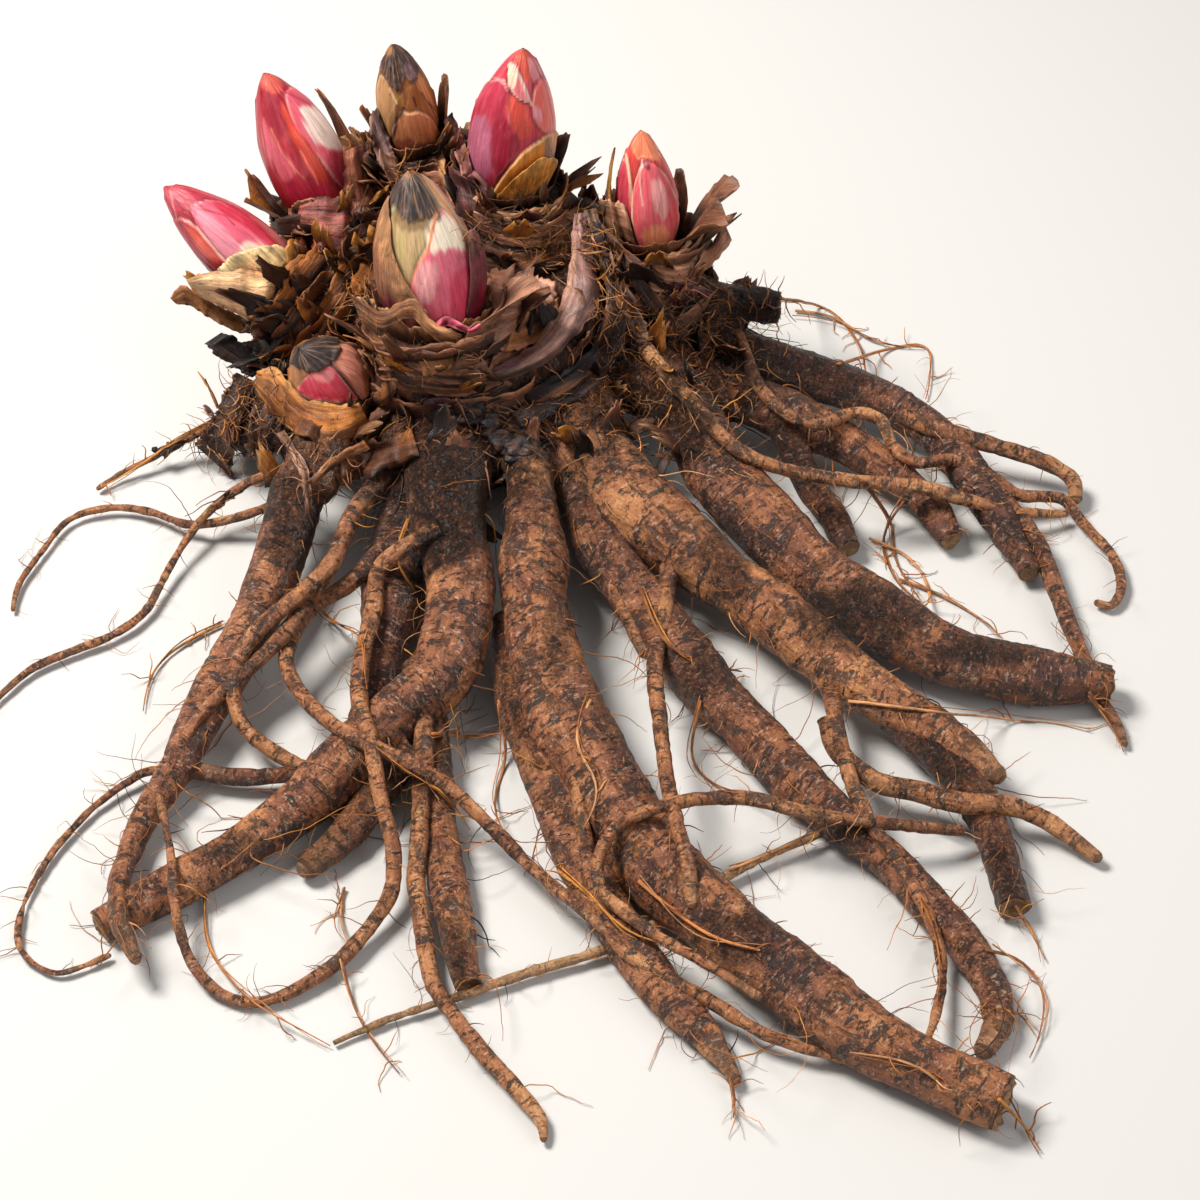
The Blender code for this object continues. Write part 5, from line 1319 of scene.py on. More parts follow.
def blade(shape, owner, inset, angle, height, flare, rows, thickness, seed, closed, tones, crinkle=1.0, dark=0.75,
          foot=0.4):
    """Torn papery wall round a bud; angle, height and flare are given for each column."""
    columns = len(angle)
    share = np.linspace(0.0, 1.0, rows)
    t, a = np.meshgrid(share, angle, indexing="ij")
    tall = np.broadcast_to(height[None], t.shape)
    spread = np.broadcast_to(flare[None], t.shape)
    distance = foot + t * tall
    radius = owner.profile(distance) + inset + spread * t**2
    field = np.stack([distance + seed * 43.0, owner.radius * np.cos(a), owner.radius * np.sin(a)], axis=-1)
    curl = noise(np.stack([np.zeros_like(a) + seed, owner.radius * np.cos(a), owner.radius * np.sin(a)], axis=-1),
                 3.2, seed + 1)
    radius = radius + crinkle * (0.55 * t * noise(field * (0.3, 1.0, 1.0), 2.4, seed + 2) + 1.1 * t**4 * curl
                                 + 0.16 * noise(field, 1.3, seed + 3))
    low, middle, high = tones
    patch = noise(field, 5.0, seed + 4)
    edge = ramp((1.0 - t) * tall, 1.6, 0.2)
    skin = mix(mix(low, middle, ramp(t + 0.3 * patch, 0.1, 0.6)), high, ramp(t + 0.35 * patch, 0.45, 1.05))
    skin = skin * (1.0 + 0.4 * noise(field * (0.16, 1.0, 1.0), 0.8, seed + 5))[..., None]
    skin = mix(skin, NEAR_BLACK, dark * ramp(noise(field * (0.5, 1.0, 1.0), 3.4, seed + 6), 0.25, 0.7))
    skin = mix(skin, np.asarray(high) * 0.55, 0.5 * edge * ramp(patch, -0.2, 0.3))
    thin = thickness * (0.5 + 0.5 * ramp((1.0 - t) * tall, 0.0, 1.5))
    inner = owner.place(a, distance, radius - 0.5 * thin)
    outer = owner.place(a, distance, radius + 0.5 * thin)
    # The inner face takes the colour at three quarters brightness: painted shade.
    shaded_inner_skin = skin * 0.75
    count = rows * columns
    faces = grid_quads(rows, columns, closed)
    rim = []
    spans = columns if closed else columns - 1
    for column in range(spans):
        following = (column + 1) % columns
        rim.append((column, following, count + following, count + column))
        top = (rows - 1) * columns
        rim.append((top + following, top + column, count + top + column, count + top + following))
    if not closed:
        for row in range(rows - 1):
            low_row, high_row = row * columns, (row + 1) * columns
            rim.append((high_row, low_row, count + low_row, count + high_row))
            last = columns - 1
            rim.append((low_row + last, high_row + last, count + high_row + last, count + low_row + last))
    quads = np.vstack([faces[:, ::-1], faces + count, np.array(rim)])
    shape.add(np.vstack([inner.reshape(-1, 3), outer.reshape(-1, 3)]), quads,
              grain=np.vstack([field.reshape(-1, 3)] * 2),
              skin=np.clip(np.vstack([shaded_inner_skin.reshape(-1, 3), skin.reshape(-1, 3)]), 0.0, 1.0))


def ring_noise(angle, size, seed):
    return noise(np.stack([10.0 * np.cos(angle), 10.0 * np.sin(angle), np.zeros_like(angle) + seed], axis=-1),
                 size, seed)


def cup_outline(ring_height, tears, columns, seed):
    """Height and flare of a torn cup at each column: it rises to a point at each tear."""
    angle = TAU * np.arange(columns) / columns
    height = ring_height + 1.2 + 1.0 * ring_noise(angle, 4.0, seed) + 0.8 * ring_noise(angle, 0.9, seed + 1)
    flare = np.full(columns, 0.5)
    for centre, peak, half_width, spread in tears:
        away = np.abs(turned(angle - math.radians(centre))) / math.radians(half_width)
        share = np.clip(1.0 - away, 0.0, 1.0)
        ragged = 0.9 * ring_noise(angle, 1.3, seed + 2) + 0.6 * ring_noise(angle, 0.5, seed + 3)
        torn = ring_height + (peak - ring_height) * (1.0 - (1.0 - share) ** 2.4) + ragged * (peak / 11.0)
        torn = torn - 0.16 * (peak - ring_height) * ramp(ring_noise(angle, 2.2, seed + 5), -0.1, 0.5)
        height = np.where(share > 0.0, np.maximum(height, torn), height)
        flare = np.maximum(flare, spread * share)
    return angle, np.maximum(height, 2.0), flare


HUSK_TONES = {
    "left": (DARK_BROWN, DRY_BROWN, OCHRE), "upper_left": (DARK_BROWN, DRY_BROWN, AMBER),
    "top_brown": (DARK_BROWN, DRY_BROWN, PAPER), "top_pink": (NEAR_BLACK, DARK_BROWN, DRY_BROWN),
    "right": (DARK_BROWN, DRY_BROWN, PAPER), "front": (DARK_BROWN, PAPER, TAN),
    "lower_left": (DARK_BROWN, DRY_BROWN, PAPER),
}
SCALE_TONES = {
    "scale_left_cream": (rgb(168, 104, 74), rgb(214, 168, 112), rgb(226, 198, 144)),
    "scale_upper_left": (rgb(178, 90, 88), rgb(172, 104, 82), TAN),
    "scale_top_amber": (rgb(196, 128, 66), rgb(200, 124, 44), rgb(216, 152, 74)),
    "scale_right_olive": (DARK_BROWN, OLIVE, OCHRE),
    "scale_front_hood": (rgb(118, 34, 52), rgb(142, 88, 58), rgb(176, 124, 80)),
    "scale_front_purple": (rgb(124, 22, 44), rgb(104, 34, 50), rgb(134, 82, 72)),
    "scale_front_papery": (rgb(120, 74, 54), rgb(168, 116, 92), rgb(184, 134, 104)),
}
SCALE_SLOTS = {
    "scale_left_cream": "scale_cream", "scale_upper_left": "husk", "scale_top_amber": "scale_amber",
    "scale_right_olive": "scale_dark", "scale_front_hood": "scale_cream", "scale_front_purple": "scale_dark",
    "scale_front_papery": "scale_amber",
}


def husk_piece(name):
    layer, ring_height, seed, tears = HUSKS[name]
    owner = FRAMES[name]
    shape = Shape()
    angle, height, flare = cup_outline(ring_height, tears, 156, seed)
    inset = 1.05 + layer * 1.5
    blade(shape, owner, inset, angle, height, flare, 12, 0.4, seed, True, HUSK_TONES[name])
    shape.build("husk_" + name + "_torn", HUSK, "husk", "husk_" + name)
    return shape


def scale_piece(name):
    bud_name, layer, start, end, height, flare, seed, _ = SCALES[name]
    owner = FRAMES[bud_name]
    columns = max(36, int((end - start) / 2.0))
    share = np.linspace(0.0, 1.0, columns)
    rise = np.where(share < 0.42, share / 0.42, (1.0 - share) / 0.58)
    top = height * (0.3 + 0.7 * np.sin(rise * math.pi / 2.0) ** 1.15)
    angle = np.radians(start + (end - start) * share)
    top = top + 0.5 * ring_noise(angle, 1.2, seed) + 0.25 * ring_noise(angle, 0.5, seed + 1)
    shape = Shape()
    blade(shape, owner, 0.85 + layer * 1.5, angle, np.maximum(top, 2.0), flare * rise, 18, 0.45, seed, False,
          SCALE_TONES[name], 0.5, 0.6 if name == "scale_right_olive" else 0.12)
    shape.build(name + "_torn", HUSK, SCALE_SLOTS[name], name)
    return shape


# Surface that fibres, scraps and crumbs lie on

class Ground:
    """Woody surface of the crown and roots, for laying small things on it."""

    def __init__(self, shapes):
        points, faces, count = [], [], 0
        for shape in shapes:
            own = np.concatenate(shape.points)
            for quads in shape.quads:
                faces.extend((quads + count).tolist())
            points.append(own)
            count += len(own)
        self.points = np.vstack(points)
        self.tree = BVHTree.FromPolygons(self.points.tolist(), faces)

    def nearest(self, point):
        hit, normal, _, _ = self.tree.find_nearest(Vector(point))
        return np.array(hit), np.array(normal)

    def seen(self, column, row, height=0.0):
        """Where the line of sight through this place in the photograph meets the wood, or else the floor."""
        direction = sight_direction(column, row)
        hit, normal, _, _ = self.tree.ray_cast(Vector(SIGHT_POINT), Vector(direction))
        if hit is None or hit.z < height:
            return on_sight(column, row, height), np.array((0.0, 0.0, 1.0))
        return np.array(hit), np.array(normal)

    def depth(self, column, row):
        """Distance along the line of sight to the wood, or to where that line passes it most closely."""
        direction = sight_direction(column, row)
        hit, _, _, distance = self.tree.ray_cast(Vector(SIGHT_POINT), Vector(direction))
        if hit is not None:
            return distance
        beside = SIGHT_POINT + direction * float(np.linalg.norm(CROWN_CENTRE - SIGHT_POINT))
        return float((self.nearest(beside)[0] - SIGHT_POINT) @ direction)

    def radius_at(self, centre, outward, guess):
        """Distance from centre to the surface along outward, near the guess."""
        start = centre + outward * (guess + 7.0)
        hit, _, _, distance = self.tree.ray_cast(Vector(start), Vector(-outward), guess + 7.0)
        if hit is None:
            return guess
        return max(guess + 7.0 - distance, guess - 3.0)


CROWN_CENTRE = np.array((8.0, 13.0, 20.0))
FORWARD = unit(SIGHT_TARGET - SIGHT_POINT)
SIGHT_RIGHT = np.array((1.0, 0.0, 0.0))
SIGHT_UP = np.cross(SIGHT_RIGHT, FORWARD)
FOCAL = 600.0 / math.tan(math.radians(12.0))


def sight_direction(column, row):
    return unit(FORWARD * FOCAL + SIGHT_RIGHT * (column - 600.0) - SIGHT_UP * (row - 600.0))


def on_sight(column, row, height):
    direction = sight_direction(column, row)
    return SIGHT_POINT + direction * ((height - SIGHT_POINT[2]) / direction[2])


def pick(chance, tones):
    """One of the colours, a little lighter or darker."""
    tone = np.asarray(chance.choice(tones), float)
    return np.clip(tone * chance.uniform(0.7, 1.3), 0.0, 1.0)


def laid_route(ground, start, heading, length, step, pull, wander, lift, chance):
    """Places of a fibre that follows the surface from start, drawn along pull."""
    place = np.array(start, float)
    heading = np.array(heading, float)
    route = []
    count = max(3, int(length / step))
    for index in range(count):
        hit, normal = ground.nearest(place)
        heading = heading + np.array(pull) * 0.35
        heading = heading + wander * np.array([chance.uniform(-1.0, 1.0) for _ in range(3)])
        heading = unit(heading - normal * float(heading @ normal))
        rise = lift[0] + (lift[1] - lift[0]) * (index / (count - 1)) ** 2
        route.append(hit + normal * rise)
        place = hit + normal * rise + heading * step
    return np.array(route)


def tapered(route, radius, tip=0.35):
    share = np.linspace(0.0, 1.0, len(route))
    return np.column_stack([route, radius * (1.0 - (1.0 - tip) * share**1.5)])


FIBRE_TONES = (DARK_BROWN, DRY_BROWN, AMBER, TAN, PAPER, NEAR_BLACK)
GOLD_TONES = (AMBER, OCHRE, TAN, rgb(170, 104, 52), rgb(140, 84, 44))


def crown_fibres(ground, crown_points):
    """Fibres of rotted leaf bases: they run down from the necks and hang between the roots."""
    chance = random.Random(901)
    shape = Shape()
    spots = crown_points[(crown_points[:, 2] > 6.0)]
    for index in range(900):
        start = spots[chance.randrange(len(spots))]
        outward = start - CROWN_CENTRE
        outward[2] = 0.0
        pull = unit(outward) * 0.35 + np.array((0.0, 0.0, -1.0))
        heading = np.array([chance.uniform(-1.0, 1.0) for _ in range(3)])
        length = chance.uniform(6.0, 26.0)
        lift = (0.2, chance.choice((0.3, 0.6, 1.4, 3.0)))
        route = laid_route(ground, start, heading, length, 1.9, pull, 0.32, lift, chance)
        rows = spline(tapered(route, chance.uniform(0.16, 0.42)), 2.0)
        strand(shape, rows, 3, index, chance.uniform(0.4, 1.0), skin=pick(chance, FIBRE_TONES))
    return shape


def sheaf(shape, ground, start, end, count, spread, radius, tones, seed):
    """Fibres that run together between two places in the photograph."""
    chance = random.Random(seed)
    for index in range(count):
        route = []
        shift = np.array((chance.gauss(0.0, spread[0]), chance.gauss(0.0, spread[0])))
        drift = np.array((chance.gauss(0.0, spread[1]), chance.gauss(0.0, spread[1])))
        first, last = sorted((chance.uniform(0.0, 0.35), chance.uniform(0.65, 1.0)))
        steps = 9
        for step in range(steps):
            share = first + (last - first) * step / (steps - 1)
            spot = np.array(start) * (1.0 - share) + np.array(end) * share + shift * (1.0 - share) + drift * share
            spot = spot + np.array((chance.gauss(0.0, 1.0), chance.gauss(0.0, 1.0)))
            hit, normal = ground.seen(spot[0], spot[1], 1.0)
            route.append(hit + normal * chance.uniform(0.3, 1.3))
        route = np.array(route)
        route[1:-1] = 0.5 * route[1:-1] + 0.25 * (route[:-2] + route[2:])
        strand(shape, spline(tapered(route, chance.uniform(*radius)), 1.6), 5, seed + index,
               chance.uniform(0.35, 0.9), skin=pick(chance, tones))


def hair_roots(ground, routes):
    """Fine golden roots along the thick ones, drooping to the floor."""
    chance = random.Random(733)
    shape = Shape()
    for name, rows in routes.items():
        radius = float(np.median(rows[:, 3]))
        length = float(np.linalg.norm(np.diff(rows[:, :3], axis=0), axis=1).sum())
        count = int(length / (2.2 if radius > 3.5 else 5.0))
        along = unit(np.gradient(rows[:, :3], axis=0))
        for index in range(count):
            at = chance.randrange(int(len(rows) * 0.12), len(rows))
            centre, reach = rows[at, :3], rows[at, 3]
            turn = chance.uniform(0.0, TAU)
            side = unit(np.cross(along[at], (0.0, 0.0, 1.0)))
            other = np.cross(along[at], side)
            outward = side * math.cos(turn) + other * math.sin(turn)
            if outward[2] < -0.5 and centre[2] < 8.0:
                outward[2] = -outward[2]
            outward[2] = min(outward[2], 0.55)
            place = centre + outward * reach * 0.9
            heading = unit(outward + along[at] * chance.uniform(-0.2, 1.0))
            size = chance.choice((4.0, 7.0, 7.0, 12.0, 20.0)) * chance.uniform(0.7, 1.5)
            if radius < 3.5:
                size = size * 0.7
            step = 1.5
            bend = np.array([chance.uniform(-0.3, 0.3) for _ in range(3)])
            route = [place]
            for _ in range(max(3, int(size / step))):
                heading = unit(heading + bend + np.array([chance.uniform(-0.28, 0.28) for _ in range(3)])
                               + (0.0, 0.0, -0.16))
                place = place + heading * step
                if place[2] < 0.4:
                    place[2] = 0.4
                    heading[2] = abs(heading[2]) * 0.2
                if not within(place):
                    break
                route.append(place)
            if len(route) < 3:
                continue
            thick = chance.uniform(0.1, 0.26) if radius > 3.5 else chance.uniform(0.09, 0.17)
            strand(shape, spline(tapered(np.array(route), thick), 2.7), 3, index, 1.0,
                   skin=pick(chance, GOLD_TONES if chance.random() < 0.7 else FIBRE_TONES))
    return shape


# Tangles of short fibres: column and row in the photograph, half width and height there, count, heading, tones.
TANGLES = (
    ((244, 420), (46, 50), 330, None, FIBRE_TONES), ((225, 400), (30, 30), 120, None, GOLD_TONES),
    ((372, 258), (26, 52), 240, None, FIBRE_TONES), ((350, 296), (26, 26), 110, None, GOLD_TONES),
    ((546, 232), (42, 26), 230, 0.15, FIBRE_TONES), ((546, 252), (40, 18), 110, 0.0, GOLD_TONES),
    ((640, 350), (56, 50), 330, None, FIBRE_TONES), ((650, 360), (60, 46), 150, None, GOLD_TONES),
    ((480, 420), (86, 26), 240, 0.1, FIBRE_TONES), ((740, 330), (44, 44), 160, None, GOLD_TONES),
    ((700, 300), (40, 30), 140, None, FIBRE_TONES), ((610, 260), (18, 50), 130, -1.2, GOLD_TONES),
    ((320, 470), (40, 30), 110, None, FIBRE_TONES), ((590, 420), (50, 24), 130, None, FIBRE_TONES),
    ((418, 180), (30, 14), 110, 0.1, GOLD_TONES), ((700, 420), (60, 50), 110, None, GOLD_TONES),
    ((480, 230), (16, 20), 70, None, FIBRE_TONES), ((420, 356), (60, 22), 120, 0.2, FIBRE_TONES),
)


def on_bud(place):
    """Whether a place lies on the open part of a bud, above its husk."""
    for owner in FRAMES.values():
        along, off = owner.locate(place[None])
        if 5.0 < along[0] < owner.length + 3.0 and off[0] < owner.profile(along)[0] + 2.4:
            return True
    return False


def tangles(ground):
    chance = random.Random(977)
    shape = Shape()
    for (column, row), (wide, tall), count, slant, tones in TANGLES:
        for index in range(count):
            spot = (column + wide * chance.uniform(-1.0, 1.0), row + tall * chance.uniform(-1.0, 1.0))
            hit, normal = ground.seen(*spot, 0.6)
            if hit[2] < 1.0 or not within(hit) or on_bud(hit):
                continue
            turn = slant + chance.uniform(-0.4, 0.4) if slant is not None else chance.uniform(0.0, TAU)
            heading = SIGHT_RIGHT * math.cos(turn) + SIGHT_UP * math.sin(turn)
            heading = unit(heading - normal * float(heading @ normal) + normal * chance.uniform(0.05, 0.5))
            bend = np.array([chance.uniform(-0.25, 0.25) for _ in range(3)])
            place = hit - normal * 0.3
            route = [place]
            for _ in range(chance.randrange(4, 10)):
                heading = unit(heading + bend + np.array([chance.uniform(-0.3, 0.3) for _ in range(3)])
                               - normal * 0.1)
                place = place + heading * 1.1
                route.append(place)
            thick = chance.choice((0.1, 0.13, 0.17, 0.24))
            strand(shape, spline(tapered(np.array(route), thick), 2.7), 3, index, chance.choice((1.0, 1.0, 0.4)),
                   floor=0.2, skin=pick(chance, tones))
    return shape


# Long thin roots drawn from the photograph: places in it, with the height above the floor where nothing is under.
LONG_HAIRS = (
    ((780, 300), (815, 306), (840, 320), (858, 345), (872, 392)), ((795, 312), (835, 318), (880, 345), (925, 348)),
    ((840, 365), (880, 352), (925, 345), (928, 372), (925, 400)), ((850, 700), (930, 712), (1010, 720), (1090, 730)),
    ((985, 950), (1012, 956), (1030, 970), (1045, 1000), (1042, 1030), (1030, 1060)),
    ((1005, 1010), (1022, 1014), (1035, 1035)), ((730, 1080), (738, 1098), (735, 1120)),
    ((965, 1120), (968, 1140), (963, 1168)), ((1000, 1100), (1020, 1122), (1040, 1150), (1060, 1174)),
    ((340, 962), (352, 1000), (372, 1040), (400, 1075)),
    ((345, 888), (338, 920), (350, 950)), ((1015, 905), (1030, 930), (1043, 960)),
    ((203, 900), (210, 950), (250, 1000), (330, 1048)), ((500, 700), (505, 760), (494, 800), (510, 850)),
    ((430, 735), (470, 738), (505, 732)), ((380, 745), (402, 770), (440, 788), (470, 830)),
    ((860, 480), (890, 520), (895, 560), (920, 600)), ((905, 500), (880, 540), (900, 585), (960, 640)),
    ((900, 580), (950, 600), (985, 622), (1000, 640)), ((870, 540), (912, 560), (930, 600), (905, 620)),
    ((224, 626), (192, 640), (166, 656), (149, 682), (142, 712)),
    ((640, 880), (700, 930), (760, 950), (830, 962)), ((560, 870), (600, 905), (630, 935), (690, 950)),
    ((700, 700), (690, 760), (720, 790), (790, 800)), ((960, 1120), (940, 1080), (900, 1060), (850, 1050)),
    ((225, 415), (180, 440), (130, 470), (100, 488)), ((1088, 690), (1105, 715), (1120, 735), (1124, 752)),
    ((300, 590), (330, 620), (360, 640), (365, 690)), ((730, 870), (790, 845), (840, 820)),
    ((880, 880), (925, 905), (940, 960), (935, 1010)), ((640, 590), (662, 640), (690, 660), (742, 672)),
    ((410, 520), (395, 560), (420, 600), (414, 640)), ((590, 700), (575, 740), (600, 790), (585, 830)),
)


def long_hairs(shape, ground):
    chance = random.Random(415)
    for index, spots in enumerate(LONG_HAIRS):
        for copy in range(2):
            route = []
            for column, row in spots:
                jog = 0.0 if copy == 0 else 5.0
                hit, normal = ground.seen(column + chance.uniform(-jog, jog), row + chance.uniform(-jog, jog), 0.6)
                if within(hit):
                    route.append(np.append(hit + normal * (0.5 + 0.3 * copy), 0.0))
            if len(route) < 3:
                continue
            dense = spline(np.array(route), 2.5)[:, :3]
            wave = np.column_stack([noise(dense * (0.12, 0.12, 0.12) + index * 9.0 + copy, 1.0, 50 + axis)
                                    for axis in range(3)])
            dense = dense + wave * (0.7, 0.7, 0.25)
            for _ in range(4):
                dense[1:-1] = 0.5 * dense[1:-1] + 0.25 * (dense[:-2] + dense[2:])
            thick = chance.uniform(0.34, 0.55) if copy == 0 else chance.uniform(0.14, 0.24)
            strand(shape, tapered(dense, thick, 0.3), 6, index + 70, 1.0, floor=0.1,
                   skin=pick(chance, GOLD_TONES))
            for _ in range(5 if copy == 0 else 2):
                at = chance.randrange(1, len(dense) - 1)
                heading = np.array([chance.uniform(-1.0, 1.0), chance.uniform(-1.0, 1.0), 0.25])
                place = dense[at]
                twig = [place]
                for _ in range(chance.randrange(3, 9)):
                    heading = unit(heading + np.array([chance.uniform(-0.5, 0.5) for _ in range(3)]) + (0, 0, -0.1))
                    place = place + heading * 1.4
                    place[2] = max(place[2], 0.3)
                    if within(place):
                        twig.append(place)
                if len(twig) < 3:
                    continue
                strand(shape, spline(tapered(np.array(twig), thick * 0.45), 1.5), 4, at, 1.0,
                       skin=pick(chance, GOLD_TONES))


# Torn paper and wrapped fibre round the necks

def neck_band(shape, ground, name, distance, tall, start, end, flare, tones, seed, stand=0.5, crinkle=1.0):
    """Torn band wrapped round a neck below its bud; its fibres run round it."""
    owner = FRAMES[name]
    line = spline(neck_line(BUDS[name]), 1.0)
    travel = (line[:, :3] - owner.foot) @ owner.axis
    columns = max(18, int((end - start) / 5.6))
    rows = 6
    angle = np.radians(np.linspace(start, end, columns))
    ends = np.minimum(ramp(np.linspace(0.0, 1.0, columns), 0.0, 0.12), ramp(np.linspace(1.0, 0.0, columns), 0.0, 0.12))
    height = tall * (0.75 + 0.25 * ring_noise(angle, 5.0, seed)) * (0.35 + 0.65 * ends)
    height = height + 0.10 * tall * ring_noise(angle, 1.1, seed + 1) + 0.05 * tall * ring_noise(angle, 0.45, seed + 2)
    share = np.linspace(0.0, 1.0, rows)
    centre_at = np.empty((rows, columns, 3))
    radius = np.empty((rows, columns))
    for column in range(columns):
        outward = math.cos(angle[column]) * owner.right + math.sin(angle[column]) * owner.back
        for row in range(rows):
            along = distance + share[row] * height[column]
            index = int(np.abs(travel - along).argmin())
            centre = line[index, :3] + owner.axis * (along - travel[index])
            centre_at[row, column] = centre
            radius[row, column] = ground.radius_at(centre, outward, float(line[index, 3]))
    for _ in range(3):
        radius[:, 1:-1] = 0.5 * radius[:, 1:-1] + 0.25 * (radius[:, :-2] + radius[:, 2:])
        radius[1:-1] = 0.5 * radius[1:-1] + 0.25 * (radius[:-2] + radius[2:])
    t, a = np.meshgrid(share, angle, indexing="ij")
    mean = float(radius.mean())
    field = np.stack([a * mean + seed * 53.0, distance + t * height[None], 0.0 * a + seed], axis=-1)
    curl = ring_noise(angle, 2.2, seed + 3)[None]
    radius = radius + stand * (0.4 + 0.6 * ends[None]) + flare * t**2 * (0.7 + 0.5 * curl) * ends[None]
    radius = radius + crinkle * (0.5 * noise(field * (0.25, 1.0, 1.0), 1.5, seed + 4) + 0.35 * noise(field, 3.0, seed + 5))
    outward = np.cos(a)[..., None] * owner.right + np.sin(a)[..., None] * owner.back
    low, middle, high = tones
    patch = noise(field * (0.5, 1.0, 1.0), 5.0, seed + 6)
    skin = mix(mix(low, middle, ramp(t + 0.45 * patch, 0.0, 0.6)), high, ramp(t + 0.5 * patch, 0.5, 1.1))
    skin = skin * (1.0 + 0.35 * noise(field * (0.12, 1.0, 1.0), 0.7, seed + 7))[..., None]
    outer = centre_at + outward * radius[..., None]
    inner = centre_at + outward * (radius - 0.5)[..., None]
    outer[..., 2] = np.maximum(outer[..., 2], 0.1)
    inner[..., 2] = np.maximum(inner[..., 2], 0.1)
    count = rows * columns
    faces = grid_quads(rows, columns, False)
    rim = []
    for column in range(columns - 1):
        top = (rows - 1) * columns + column
        rim.append((column, column + 1, count + column + 1, count + column))
        rim.append((top + 1, top, count + top, count + top + 1))
    for row in range(rows - 1):
        first, last = row * columns, row * columns + columns - 1
        rim.append((first + columns, first, count + first, count + first + columns))
        rim.append((last, last + columns, count + last + columns, count + last))
    quads = np.vstack([faces[:, ::-1], faces + count, np.array(rim)])
    # The inner face takes the colour at 0.6 brightness: painted shade.
    shape.add(np.vstack([inner.reshape(-1, 3), outer.reshape(-1, 3)]), quads,
              grain=np.vstack([field.reshape(-1, 3)] * 2),
              skin=np.clip(np.vstack([skin.reshape(-1, 3) * 0.6, skin.reshape(-1, 3)]), 0.0, 1.0))


# Bud, lowest distance from its foot, number of bands, band height, flare, tones from low to high.
BAND_STACKS = (
    ("top_pink", -20.0, 7, 8.0, 1.6, (DARK_BROWN, DRY_BROWN, TAN)),
    ("front", -20.0, 6, 11.0, 1.6, (DARK_BROWN, DRY_BROWN, PAPER)),
    ("upper_left", -18.0, 6, 8.5, 2.2, (NEAR_BLACK, DARK_BROWN, DRY_BROWN)),
    ("right", -18.0, 6, 8.5, 2.0, (DARK_BROWN, DRY_BROWN, PAPER)),
    ("left", -16.0, 6, 7.5, 2.0, (NEAR_BLACK, DRY_BROWN, AMBER)),
    ("lower_left", -14.0, 5, 7.5, 2.2, (NEAR_BLACK, DARK_BROWN, PAPER)),
    ("top_brown", -18.0, 6, 8.0, 2.0, (NEAR_BLACK, DRY_BROWN, PAPER)),
)


def neck_bands(ground):
    chance = random.Random(512)
    shape = Shape()
    for name, lowest, count, tall, flare, tones in BAND_STACKS:
        for index in range(count):
            distance = lowest + (3.0 - lowest) * index / count + chance.uniform(-1.2, 1.2)
            for turn in range(2):
                start = chance.uniform(0.0, 360.0)
                reach = chance.uniform(110.0, 230.0)
                neck_band(shape, ground, name, distance, tall * chance.uniform(0.6, 1.2), start, start + reach,
                          flare * chance.uniform(0.3, 1.5), tones, chance.randrange(9000),
                          chance.uniform(0.2, 1.3))
    return shape


# Sheets of old sheath laid over the crown where the photograph shows them

